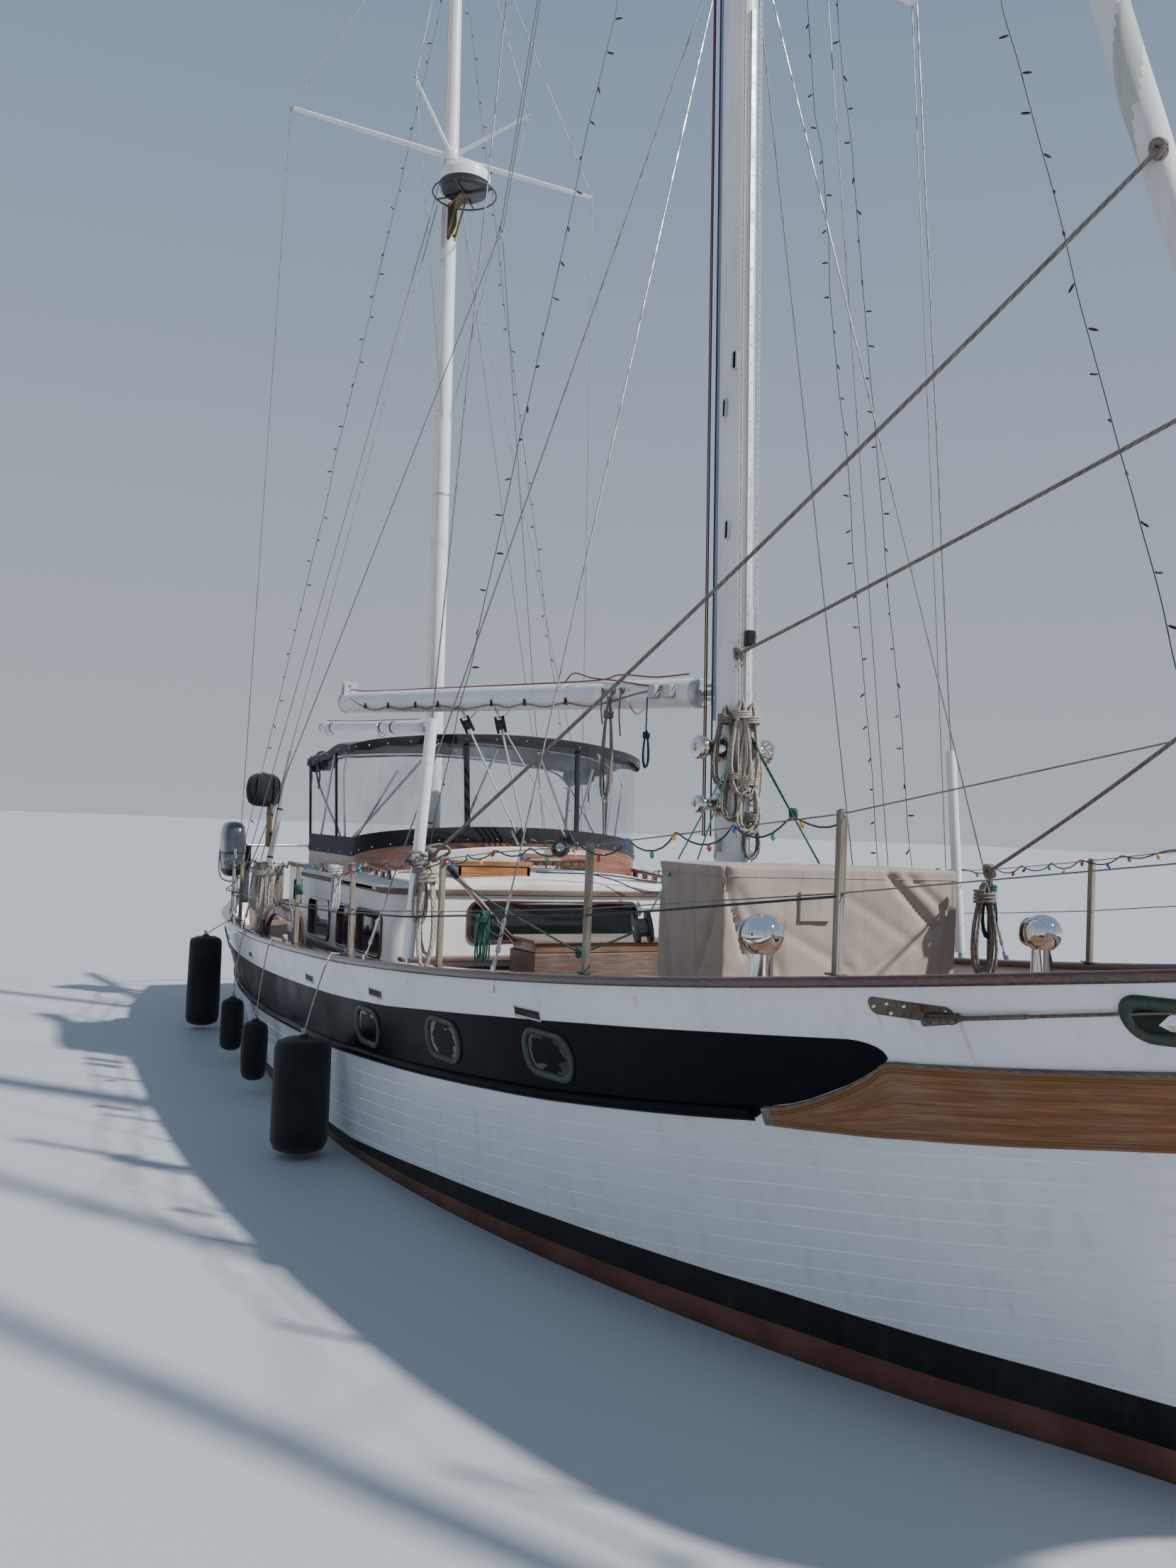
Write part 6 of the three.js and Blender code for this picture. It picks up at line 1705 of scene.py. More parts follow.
def up_the_panel(low, high, z, by=0.0):
    """A point on the clear panel's own plane at a height."""
    z0, z1 = coaming_top(low[4]), top_z(high[0], high[1])
    t = max(0.0, min(1.0, (z - z0) / (z1 - z0)))
    x, y = low[0] + (high[0] - low[0]) * t, low[1] + (high[1] - low[1]) * t
    nx, ny = low[2] + (high[2] - low[2]) * t, low[3] + (high[3] - low[3]) * t
    return Vector((x - nx * (0.012 + 0.018 * t + by), y - ny * (0.012 + 0.018 * t + by), z))


def make_coaming():
    shape = Shape()
    rings = []
    for x, y, nx, ny, share in COAMING_WAY:
        top = coaming_top(share)
        section = [(0.0, 1.69), (0.0, top - 0.008), (0.006, top), (0.036, top), (COAMING_THICK, top - 0.008)]
        section.append((COAMING_THICK, 1.69))
        rings.append([Vector((x - nx * by, y - ny * by, z)) for by, z in section])
    shape.loft(rings, "coaming")
    made = shape.make("cockpit_coaming_wood", "varnished_wood", replaces=["cockpit_coaming"])
    way_in = Shape()
    way_in.block((-1.34, 0.05, 1.5), (-1.09, 0.72, SLIDE_Z + 0.07), "coaming", 0.004)
    carve(made, way_in)
    beam = Shape()
    for y0, y1, on_hood in ((-0.98, -0.13, False), (-0.135, 0.6, True)):
        rings = []
        for i in range(17):
            y = y0 + (y1 - y0) * i / 16
            x = -1.35 + 0.33 * math.sqrt(1 - (y / 1.25) ** 2)
            top = 2.035 - 0.085 * (y / 0.98) ** 2
            foot = SLIDE_Z + HOOD["tall"] - 0.004 if on_hood else roof_z(x, y) + ROOF_THICK - 0.008
            section = [
                (0.035, foot), (0.035, top - 0.008), (0.027, top), (-0.037, top),
                (-0.045, top - 0.008), (-0.045, foot),
            ]
            rings.append([Vector((x + dx, y, z)) for dx, z in section])
        beam.loft(rings, "tread")
    beam.make("traveller_beam", "cream_paint")


def make_enclosure():
    skirt = Shape()
    rings = []
    for low, high in zip(COAMING_WAY, TOP_WAY):
        share = low[4]
        z0, z1 = coaming_top(share) - 0.055, skirt_top(share)
        out = [
            Vector((low[0] + low[2] * k, low[1] + low[3] * k, z))
            for k, z in ((0.006, z0), (0.012, z0 + 0.03))
        ]
        out.append(up_the_panel(low, high, coaming_top(share) + 0.02, -0.016))
        out.append(up_the_panel(low, high, z1, -0.007))
        out.append(up_the_panel(low, high, z1, 0.003))
        out.append(Vector((low[0] + low[2] * 0.001, low[1] + low[3] * 0.001, z0)))
        rings.append(out)
    skirt.loft(rings, "canvas")
    skirt.make("enclosure_skirt", "black_cloth")
    vinyl = Shape()
    rings = []
    for low, high in zip(COAMING_WAY, TOP_WAY):
        z0, z1 = coaming_top(low[4]) + 0.02, top_z(high[0], high[1]) - 0.004
        column = [z0 + (z1 - z0) * i / 6 for i in range(7)]
        over = [up_the_panel(low, high, z, 0.0) for z in column]
        under = [up_the_panel(low, high, z, 0.0025) for z in reversed(column)]
        rings.append(over + under)
    vinyl.loft(rings, "vinyl")
    vinyl.make("enclosure_clear_panels", "clear_vinyl", replaces=["enclosure_panels"])
    edges = Shape()
    ribs = [8 + round(32 * (a + 90) / 180) for a in POST_ANGLES]
    ribs += [5, len(COAMING_WAY) - 6, 0, len(COAMING_WAY) - 1]
    for i in ribs:
        low, high = COAMING_WAY[i], TOP_WAY[i]
        across = Vector((-low[3], low[2], 0))
        z0, z1 = coaming_top(low[4]) + 0.01, top_z(high[0], high[1]) - 0.002
        rings = []
        for k in range(7):
            z = z0 + (z1 - z0) * k / 6
            centre = up_the_panel(low, high, z, -0.004)
            out = Vector((low[2], low[3], 0))
            rings.append(
                [
                    centre + across * u + out * v
                    for u, v in (
                        (-0.024, -0.006), (0.024, -0.006), (0.024, 0.004), (0.012, 0.009),
                        (-0.012, 0.009), (-0.024, 0.004),
                    )
                ]
            )
        edges.loft(rings, "canvas")
    edges.make("enclosure_edges", "black_cloth")


BOWS = (-1.4, -2.1, -3.05)


def make_canopy():
    """The cloth top: stretched over its bows, and turned down all round its edge."""
    half_way = len(TOP_WAY) // 2
    rings = []
    shares = [math.sin(math.pi / 2 * (i / 14 - 1)) for i in range(29)]
    for i in range(half_way + 1):
        x, y, nx, ny, _ = TOP_WAY[i]
        half = abs(y)
        drop = 0.075 + 0.012 * math.sin(i * 1.7)

        def height(y_here, x_here=x):
            between_bows = min(abs(x_here - b) for b in BOWS)
            ripple = 0.0035 * noise.noise(Vector((x_here * 3.0, y_here * 4.0, 0.0)))
            return top_z(x_here, y_here) + 0.018 - 0.02 * min(1.0, between_bows / 0.35) ** 2 + ripple

        over = [Vector((x, half * k, height(half * k))) for k in shares]
        under = [Vector((x, half * k * 0.998, height(half * k) - 0.007)) for k in reversed(shares)]
        edge = []
        for side in (1, -1):
            z = height(half)
            outer = Vector((x + nx * 0.006, side * (half + abs(ny) * 0.006), z - 0.012))
            foot = Vector((x + nx * 0.004, side * (half + abs(ny) * 0.004), z - drop))
            inner = Vector((x - nx * 0.004, side * (half - abs(ny) * 0.004), z - drop))
            edge.append([outer, foot, inner])
        rings.append(over + edge[0] + under + edge[1][::-1])
    shape = Shape()
    shape.loft(rings, "canvas")
    made = shape.make("canopy", "black_cloth", replaces=["enclosure_top"], sharp=60)
    snaps = []
    for low, high in zip(COAMING_WAY[::2], TOP_WAY[::2]):
        out = Vector((high[2], high[3], 0))
        snaps.append((Vector((high[0], high[1], top_z(high[0], high[1]) - 0.03)) + out * 0.006, out))
        snaps.append((Vector((low[0], low[1], coaming_top(low[4]) - 0.03)) + out * 0.012, out))
    studs("enclosure_snaps", snaps, 0.008, 0.004, "steel")


def make_bows():
    shape = Shape()
    inset_by, under, shoulder = 0.07, 0.02, 0.14
    foot_x, foot_y, foot_z = -2.15, 1.29, 1.965
    for x in BOWS:
        ahead = max(0.0, x - TOP["corner"]) / (TOP["front"] - TOP["corner"] - inset_by)
        half = (TOP["half"] - inset_by) * math.sqrt(1 - ahead**2)
        path = [Vector((foot_x, -foot_y, foot_z)), Vector((x, -half, top_z(x, half) - shoulder))]
        path += [Vector((x, half * k / 6, top_z(x, half * k / 6) - under)) for k in (-5, -4, -2, 0, 2, 4, 5)]
        path += [Vector((x, half, top_z(x, half) - shoulder)), Vector((foot_x, foot_y, foot_z))]
        shape.tube(curve(path, 5), 0.011, "steel", 12)
    for side in (STARBOARD, PORT):
        for (x0, y0, z0), (x1, y1, z1) in (
            ((-1.95, 1.28, 2.0), (-1.45, 1.08, 2.62)),
            ((-2.9, 1.31, 1.96), (-2.5, 1.32, 2.8)),
            ((-1.36, 0.52, 2.12), (-1.4, 0.2, 2.86)),
        ):
            a, b = Vector((x0, side * y0, z0)), Vector((x1, side * y1, z1))
            shape.rod(a, b, 0.011, "steel", 10)
            shape.ball(a, 0.016, "steel", 10)
            shape.ball(b, 0.016, "steel", 10)
    shape.make("bow_tubes", "stainless", replaces=["canopy_bows"])


def make_rolled_curtain():
    """A side curtain rolled up under the canopy's after corner, its straps hanging."""
    shape = Shape()
    for side in (STARBOARD, PORT):
        rings = []
        for i in range(13):
            x = -3.08 + 0.5 * i / 12
            centre = Vector((x, side * (1.33 + 0.012 * math.sin(i)), 2.73 - 0.02 * math.sin(i * 1.3)))
            size = 0.062 + 0.014 * math.sin(i * 2.1) * (0 < i < 12)
            rings.append([centre + Vector((0, u * size, v * size * 1.15)) for u, v in circle(1, 12)])
        shape.loft(rings, "canvas")
        for x in (-3.0, -2.72):
            strap = [
                (x, side * 1.4, 2.78),
                (x, side * 1.41, 2.7),
                (x + 0.01, side * 1.39, 2.6),
                (x, side * 1.395, 2.47),
            ]
            shape.sweep(
                curve(strap, 4),
                [(-0.002, -0.019), (0.002, -0.019), (0.002, 0.019), (-0.002, 0.019)],
                "canvas",
            )
    shape.make("rolled_curtains", "black_cloth")


SEAT = {"x0": -2.98, "x1": -1.8, "y0": 0.45, "y1": 1.07, "top": 1.36}


VOXEL, SWELL_MOST, SWELL_PRESSURE, SWELL_STEPS = 0.009, 0.014, 4.0, 20


def stuffed(made):
    """A stuffed piece blown up a little as cloth, so that it swells between its corners."""
    scene = bpy.context.scene
    work = bpy.data.objects.new(made.name + "_work", made.data.copy())
    scene.collection.objects.link(work)
    skin = work.modifiers.new("skin", "REMESH")
    skin.mode = "VOXEL"
    skin.voxel_size = VOXEL
    graph = bpy.context.evaluated_depsgraph_get()
    mesh = bpy.data.meshes.new_from_object(work.evaluated_get(graph))
    work.modifiers.clear()
    work.data = mesh
    start = [v.co.copy() for v in mesh.vertices]
    cloth = work.modifiers.new("cloth", "CLOTH")
    cloth.settings.use_pressure = True
    cloth.settings.uniform_pressure_force = SWELL_PRESSURE
    cloth.settings.effector_weights.gravity = 0.0
    cloth.settings.quality = 4
    for moment in range(1, SWELL_STEPS + 1):
        scene.frame_set(moment)
    graph = bpy.context.evaluated_depsgraph_get()
    result = bpy.data.meshes.new_from_object(work.evaluated_get(graph))
    for vertex, before in zip(result.vertices, start):
        moved = vertex.co - before
        if moved.length > SWELL_MOST:
            vertex.co = before + moved.normalized() * SWELL_MOST
    scene.frame_set(1)
    bpy.data.objects.remove(work)
    result.materials.clear()
    for material in made.data.materials:
        result.materials.append(material)
    for polygon in result.polygons:
        polygon.material_index = 0
        polygon.use_smooth = True
    made.data = result


def plump(shape, low, high, finish, rows=12):
    """A cushion's crowned form: its sides pull in between its corners."""
    low, high = Vector(low), Vector(high)
    middle, size = (low + high) / 2, (high - low) / 2
    rings = []
    for i in range(rows + 1):
        a = math.pi * (i / rows - 0.5)
        fall = abs(math.cos(a)) ** 0.35
        z = middle.z + size.z * math.copysign(abs(math.sin(a)) ** 0.8, a)
        ring = []
        for j in range(48):
            b = 2 * math.pi * j / 48
            u = math.copysign(abs(math.cos(b)) ** 0.22, math.cos(b))
            v = math.copysign(abs(math.sin(b)) ** 0.22, math.sin(b))
            pull = 1 - 0.035 * (1 - abs(u)) - 0.035 * (1 - abs(v))
            k = fall * pull
            ring.append(Vector((middle.x + size.x * u * k, middle.y + size.y * v * k, z)))
        rings.append(ring)
    shape.loft(rings, finish)


def make_cockpit():
    wood = Shape()
    for side in (STARBOARD, PORT):
        y0, y1 = sorted((side * SEAT["y0"], side * SEAT["y1"]))
        wood.block((SEAT["x0"], y0, 0.9), (SEAT["x1"], y1, SEAT["top"] - 0.03), "cabin", 0.01)
        for k in range(7):
            a = y0 + (y1 - y0) * k / 7
            wood.block(
                (SEAT["x0"], a + 0.003, SEAT["top"] - 0.03),
                (SEAT["x1"], a + (y1 - y0) / 7 - 0.003, SEAT["top"]),
                "varnish",
                0.004,
            )
    wood.block((-3.02, -0.42, 0.77), (-1.76, 0.42, 0.8), "planks", 0.004)
    wood.make("cockpit_seats", "varnished_wood")
    for side_name, side in SIDES:
        cushion = Shape()
        y0, y1 = sorted((side * (SEAT["y0"] + 0.02), side * (SEAT["y1"] - 0.02)))
        plump(
            cushion,
            (SEAT["x0"] + 0.02, y0, SEAT["top"] + 0.002),
            (SEAT["x1"] - 0.02, y1, SEAT["top"] + 0.085),
            "cushion",
        )
        made = cushion.make(
            "cushion_" + side_name, "tan_cloth", replaces=["seat_cushion_" + side_name], sharp=80
        )
        stuffed(made)
    stand = Shape()
    at = Vector((-2.12, 0, 0.76))
    profile = [
        (0.0, 0.0), (0.13, 0.0), (0.13, 0.02), (0.1, 0.035), (0.095, 0.05), (0.062, 0.84),
        (0.066, 0.86), (0.1, 0.9), (0.102, 0.93), (0.0, 0.94),
    ]
    stand.turned(profile, at, UP, "cabin", 28)
    stand.rod((-2.06, -0.17, 0.8), (-2.06, -0.17, 1.68), 0.014, "steel")
    stand.rod((-2.06, 0.17, 0.8), (-2.06, 0.17, 1.68), 0.014, "steel")
    stand.tube(
        curve(
            [(-2.06, -0.17, 1.66), (-2.06, -0.12, 1.75), (-2.06, 0.12, 1.75), (-2.06, 0.17, 1.66)], 6
        ),
        0.014,
        "steel",
    )
    stand.make("pedestal_and_guard", "white_gelcoat", replaces=["steering_pedestal"])
    compass = Shape()
    compass.turned(
        [(0.0, 0.0), (0.085, 0.0), (0.09, 0.03), (0.07, 0.035), (0.0, 0.035)],
        (-2.12, 0, 1.701),
        UP,
        "black",
        24,
    )
    compass.turned(
        [(0.068, 0.0), (0.066, 0.03), (0.05, 0.055), (0.025, 0.07), (0.0, 0.074)],
        (-2.12, 0, 1.736),
        UP,
        "glass",
        24,
    )
    compass.make("compass", "black_trim")
    wheel = Shape()
    hub = Vector((-2.25, 0, 1.56))
    rim = [hub + Vector((0, 0.395 * c, 0.395 * s)) for c, s in circle(1, 48)]
    wheel.tube([*rim, rim[0]], 0.015, "steel", 10)
    for i in range(6):
        c, s = math.cos(i * math.pi / 3), math.sin(i * math.pi / 3)
        way = Vector((0, c, s))
        wheel.rod(hub + way * 0.03 + Vector((0.02, 0, 0)), hub + way * 0.385, 0.008, "steel", 8)
    wheel.turned(
        [
            (0.0, -0.03), (0.032, -0.03), (0.04, -0.015), (0.04, 0.03), (0.02, 0.05), (0.02, 0.062),
            (0.0, 0.062),
        ],
        hub,
        (1, 0, 0),
        "chrome",
        20,
    )
    wheel.make("steering_wheel_spokes", "stainless", "helm", ["steering_wheel"])


make_coaming()
make_bows()
make_canopy()
make_enclosure()
make_rolled_curtain()
make_cockpit()


# Aft cabin

AFT = {"x0": -5.75, "x1": -3.26, "half": 1.08, "taper": 0.22, "top": 1.7}
AFT_WINDOWS = [(-5.35, -4.85, 1.28, 1.5), (-4.5, -3.9, 1.28, 1.51)]


def aft_outline(out, steps=10):
    front, aft = AFT["half"] + out, AFT["half"] - AFT["taper"] + out
    right = [
        (AFT["x0"] - out + (AFT["x1"] - AFT["x0"] + 2 * out) * i / steps, -(aft + (front - aft) * i / steps))
        for i in range(steps + 1)
    ]
    return right + [(x, -y) for x, y in reversed(right)]


def make_aft_cabin():
    walls = Shape()
    rings = [
        [Vector((x, y, z)) for x, y in aft_outline(out)]
        for out, z in ((0, 0.86), (0, 1.662), (0.0, 1.68), (-0.045, 1.68), (-0.045, 0.86))
    ]
    walls.loft(rings, "cabin", caps=False, rings_meet=True)
    house = walls.make("aft_cabin_walls", "cream_paint", replaces=["aft_cabin"])
    frames_of, panes = Shape(), Shape()
    holes = Shape()
    for x0, x1, z0, z1 in AFT_WINDOWS:
        outline = [((x0 + x1) / 2 + u, (z0 + z1) / 2 + v) for u, v in rounded(x1 - x0, z1 - z0, 0.05, 5)]
        holes.loft([[Vector((u, y, v)) for u, v in outline] for y in (-1.4, 1.4)], "cabin")
        for side in (STARBOARD, PORT):

            def on_wall(u, v, out):
                x = (x0 + x1) / 2 + u
                half = AFT["half"] - AFT["taper"] * (AFT["x1"] - x) / (AFT["x1"] - AFT["x0"])
                return Vector((x, side * (half + out), (z0 + z1) / 2 + v))

            window_parts(frames_of, panes, on_wall, x1 - x0, z1 - z0, 0.05)
    carve(house, holes, "cabin")
    frames_of.make("aft_window_frames", "varnished_wood")
    panes.make("aft_panes", "dark_glass")
    top = Shape()
    rings = []
    for i in range(15):
        x = AFT["x0"] - 0.03 + (AFT["x1"] - AFT["x0"] + 0.06) * i / 14
        half = AFT["half"] - AFT["taper"] * (AFT["x1"] - x) / (AFT["x1"] - AFT["x0"]) + 0.03
        low = 1.681
        over = []
        for k in ROOF_SHARES:
            fall = (1 - abs(k) ** 9) ** (1 / 3)
            end = min(1.0, 0.35 + 4 * min(i, 14 - i) / 14)
            over.append(Vector((x, half * k, low + (0.04 + 0.055 * (1 - k * k)) * fall * end)))
        under = [Vector((x, half * k, low)) for k in reversed(ROOF_SHARES)]
        rings.append(over + under)
    top.loft(rings, "tread")
    top.make("aft_cabin_top", "cream_paint")
    trim = Shape()
    outline = aft_outline(0.0)
    rings = []
    for (x, y), (ox, oy) in zip(outline, aft_outline(0.028)):
        rings.append(
            [
                Vector((x, y, 1.64)),
                Vector((ox, oy, 1.645)),
                Vector((ox, oy, 1.676)),
                Vector((x, y, 1.68)),
            ]
        )
    trim.loft(rings, "eyebrow", rings_meet=True)
    for side in (STARBOARD, PORT):
        hand_rail(trim, [(-3.7, side * 0.9), (-5.3, side * 0.74)], lambda x, y: 1.715, 4)
    hatch_z = 1.765
    trim.block((-4.85, -0.3, hatch_z - 0.06), (-4.2, 0.3, hatch_z + 0.02), "varnish_y", 0.006)
    trim.block((-4.88, -0.33, hatch_z + 0.02), (-4.17, 0.33, hatch_z + 0.05), "varnish", 0.008)
    trim.make("aft_cabin_trim", "varnished_wood")


make_aft_cabin()


# Foredeck: hatch, box, vents and cover

FORE_HATCH = {"x": 4.65, "half": 0.31}
FORE_Z = deck_z(4.65) + 0.09


def make_fore_hatch():
    wood = Shape()
    x, h = FORE_HATCH["x"], FORE_HATCH["half"]
    for low, high in (
        ((x - h, -h), (x + h, -h + 0.04)),
        ((x - h, h - 0.04), (x + h, h)),
        ((x - h, -h), (x - h + 0.04, h)),
        ((x + h - 0.04, -h), (x + h, h)),
    ):
        wood.block((*low, 1.35), (*high, FORE_Z), "varnish_y", 0.005)
    wood.make("fore_hatch_frame", "varnished_wood")
    lid = Shape()
    for i in range(6):
        a = x - h - 0.02 + (2 * h + 0.04) * i / 6
        lid.block(
            (a + 0.002, -h - 0.02, FORE_Z + 0.006),
            (a + (2 * h + 0.04) / 6 - 0.002, h + 0.02, FORE_Z + 0.045),
            "varnish_y",
            0.005,
        )
    for y in (-0.2, 0.2):
        lid.block((x - h, y - 0.025, FORE_Z + 0.02), (x + h, y + 0.025, FORE_Z + 0.05), "varnish", 0.005)
    lid.make("fore_hatch_planks", "varnished_wood", "fore_hatch_cover", ["fore_hatch_lid"])


BOXES = {"x0": -0.15, "x1": 0.3, "half": 0.56, "top": 1.385}


def make_deck_box():
    wood = Shape()
    x0, x1, half, top = (BOXES[k] for k in ("x0", "x1", "half", "top"))
    wood.block((x0, -half, 1.0), (x1, half, top - 0.1), "eyebrow_y", 0.008)
    wood.block(
        (x0 + 0.015, -half + 0.015, top - 0.098),
        (x1 - 0.015, half - 0.015, top - 0.026),
        "sprit_y",
        0.006,
    )
    for i in range(5):
        a = x0 - 0.012 + (x1 - x0 + 0.024) * i / 5
        wood.block(
            (a + 0.0015, -half - 0.012, top - 0.025),
            (a + (x1 - x0 + 0.024) / 5 - 0.0015, half + 0.012, top),
            "teak_grey",
            0.004,
        )
    wood.make("deck_box_wood", "varnished_wood", replaces=["deck_box"])


VENT = {"x": 3.63, "y": 0.93, "z": 1.75, "ball": 0.104, "round": 0.86}


def make_vents():
    """Bright cowls that open aft, each on a stem in a wooden box."""
    for side_name, side in SIDES:
        at = Vector((VENT["x"], side * VENT["y"], VENT["z"]))
        cowl = Shape()
        rings = []
        for i in range(19):
            a = math.pi * VENT["round"] * i / 18
            r, d = VENT["ball"] * math.sin(a), VENT["ball"] * math.cos(a)
            rings.append([at + Vector((d, r * c, r * s)) for c, s in circle(1, 32)])
        lip = VENT["ball"] * math.sin(math.pi * VENT["round"])
        d = VENT["ball"] * math.cos(math.pi * VENT["round"])
        for grow, back in ((1.12, 0.004), (1.14, -0.002), (0.98, -0.006), (0.9, 0.004)):
            rings.append(
                [
                    at + Vector((d + back, lip * grow * 1.6 * c, lip * grow * 1.6 * s))
                    for c, s in circle(1, 32)
                ]
            )
        cowl.loft(rings, lambda i, j: "red_paint" if i > 20 else "mirror")
        deck = deck_z(VENT["x"], VENT["y"])
        cowl.turned(
            [
                (0.0, 0.0), (0.085, 0.0), (0.085, 0.012), (0.066, 0.02), (0.058, 0.05), (0.056, 0.3),
                (0.0, 0.3),
            ],
            (at.x, at.y, deck + 0.09),
            UP,
            "mirror",
            28,
        )
        cowl.block(
            (at.x - 0.11, at.y - 0.11, deck - 0.03),
            (at.x + 0.11, at.y + 0.11, deck + 0.092),
            "varnish",
            0.008,
        )
        cowl.make("vent_cowl_" + side_name + "_bright", "stainless", replaces=["vent_cowl_" + side_name])


COVER = {"x0": 2.43, "x1": 3.12, "half": 0.82, "top": 2.06}
COVER_FOOT, COVER_TIE = 1.16, 0.13
# Creases in the cover: where each begins and ends, its half-width and its depth
COVER_FOLDS = [
    ((3.12, -0.82, 2.05), (3.12, -0.66, 1.6), 0.022, 0.04),
    ((3.12, -0.8, 2.03), (3.12, -0.42, 1.48), 0.035, 0.016),
    ((3.12, -0.5, 1.75), (3.12, 0.05, 1.5), 0.03, 0.012),
    ((3.12, 0.3, 2.02), (3.12, 0.66, 1.72), 0.03, 0.038),
    ((3.12, 0.42, 2.03), (3.12, 0.78, 1.8), 0.022, 0.02),
    ((3.12, 0.6, 1.7), (3.12, 0.1, 1.45), 0.03, 0.012),
    ((3.12, 0.0, 1.9), (3.12, 0.55, 1.62), 0.03, 0.01),
    ((3.12, 0.78, 1.95), (3.12, 0.7, 1.4), 0.03, 0.02),
    ((3.12, -0.82, 2.04), (2.86, -0.82, 1.5), 0.025, 0.03),
    ((2.43, -0.82, 2.0), (2.6, -0.82, 1.4), 0.03, 0.025),
    ((3.12, 0.82, 2.04), (2.8, 0.82, 1.5), 0.025, 0.03),
    ((2.43, 0.0, 2.0), (2.43, 0.6, 1.4), 0.03, 0.02),
    ((2.43, 0.0, 2.0), (2.43, -0.5, 1.5), 0.03, 0.02),
]


def near_line(p, a, b):
    """How far a point is from the straight piece between two others."""
    along = b - a
    t = max(0.0, min(1.0, (p - a).dot(along) / along.length_squared))
    return (p - a - along * t).length


def cover_point(x, y, nx, ny, z):
    """A point of the cover's side, drawn in by its folds and its tie."""
    share = (z - COVER_FOOT) / (COVER["top"] - COVER_FOOT)
    p = Vector((x, y, z))
    into = 0.006 + 0.012 * (1 - share)
    into += sum(
        depth * math.exp(
            -((near_line(p, Vector(a), Vector(b)) / half) ** 2)
        ) for a, b, half, depth in COVER_FOLDS
    )
    into += 0.03 * math.exp(-(((share - COVER_TIE) / 0.05) ** 2))
    gather = abs(noise.noise(Vector((x * 8, y * 8, share * 0.8))))
    into += 0.045 * gather * max(0.0, 0.55 - share)
    into += 0.008 * noise.noise(Vector((x * 2.3, y * 2.3, share * 2.5)))
    into += 0.004 * noise.noise(Vector((x * 9, y * 9 + z * 6, z * 7)))
    return Vector((x - nx * max(0.0, into), y - ny * max(0.0, into), z))


def make_cover():
    """A cloth cover over the gear before the mast, tied near its foot."""
    middle = (COVER["x0"] + COVER["x1"]) / 2
    length, top = COVER["x1"] - COVER["x0"], COVER["top"]
    outline = [Vector((middle + x, y, 0)) for x, y in rounded(length, 2 * COVER["half"], 0.03, 4)]
    outline = even([*outline, outline[0]], 0.017)[:-1]
    count = len(outline)
    walls = []
    for i, p in enumerate(outline):
        way = outline[(i + 1) % count] - outline[i - 1]
        out = Vector((way.y, -way.x, 0)).normalized()
        walls.append((p.x, p.y, out.x, out.y))
    rings = []
    for k in range(45):
        z = COVER_FOOT + (top - 0.012 - COVER_FOOT) * k / 44
        rings.append([cover_point(*wall, z) for wall in walls])
    edge = rings[-1]
    for by, z in ((0.003, top - 0.005), (0.01, top - 0.001), (0.03, top), (0.07, top)):
        ring = []
        for p, wall in zip(edge, walls):
            sag = 0.008 * noise.noise(Vector((p.x * 4, p.y * 4, 1))) if by > 0.02 else 0.0
            ring.append(Vector((p.x - wall[2] * by, p.y - wall[3] * by, z - abs(sag))))
        rings.append(ring)
    for k in (0.8, 0.55, 0.3, 0.08, 0.001):
        ring = []
        for p in rings[48]:
            x, y = middle + (p.x - middle) * k, p.y * k
            ring.append(Vector((x, y, top - 0.006 - 0.012 * abs(noise.noise(Vector((x * 3, y * 3, 2)))))))
        rings.append(ring)
    outside = list(rings)
    inside = []
    for i, ring in enumerate(outside[::-1]):
        down = 0.0022 if i < 8 else 0.0
        inset_by = 0.0 if i < 8 else 0.0022
        inside.append(
            [
                Vector((p.x - w[2] * inset_by, p.y - w[3] * inset_by, p.z - down))
                for p, w in zip(ring, walls)
            ]
        )
    shape = Shape()
    shape.loft(outside + inside, "cover", caps=False, rings_meet=True)
    made = shape.make("foredeck_cover_cloth", "tan_cloth", replaces=["foredeck_cover"], sharp=80)
    trim = Shape()
    welt = [cover_point(*wall, top - 0.055) + Vector((wall[2], wall[3], 0)) * 0.001 for wall in walls]
    trim.tube([*welt, welt[0]], 0.0028, "cover", 6)
    trim.block((COVER["x1"] - 0.03, -0.33, 1.77), (COVER["x1"] + 0.009, -0.12, 1.93), "cover", 0.003)
    trim.make("cover_welt_and_patch", "tan_cloth")
    tie = Shape()
    z = COVER_FOOT + (top - COVER_FOOT) * COVER_TIE
    cord = [cover_point(*wall, z) + Vector((wall[2], wall[3], 0)) * 0.005 for wall in walls]
    tie.tube([*cord, cord[0]], 0.006, "dark_rope", 8)
    tie.make("cover_tie", "black_trim")


make_fore_hatch()
make_deck_box()
make_vents()
make_cover()


# Masts, booms and their gear

RAKE = math.tan(math.radians(2.6))
MAIN_X, MIZZEN_X = 2.0, -3.42
MAIN_HEAD, MIZZEN_HEAD = 17.7, 12.6
MAIN_HALF_X, MAIN_HALF_Y, MIZZEN_RADIUS = 0.14, 0.1, 0.076


def mast_x(x, z):
    return x - (z - 1.5) * RAKE


def oval_mast(shape, x, foot, head, half_x, half_y, finish, taper=0.8, sides=32):
    """A mast that leans aft, straight for seven tenths of its height and then tapered."""
    rings = []
    for z, k in ((foot, 1), (foot + (head - foot) * 0.7, 1), (head, taper), (head + 0.004, taper * 0.9)):
        rings.append(
            [Vector((mast_x(x, z) + half_x * k * c, half_y * k * s, z)) for c, s in circle(1, sides)]
        )
    shape.loft(rings, finish)


def on_mast(z, ahead=0.0, aside=0.0, x=MAIN_X):
    return Vector((mast_x(x, z) + ahead, aside, z))


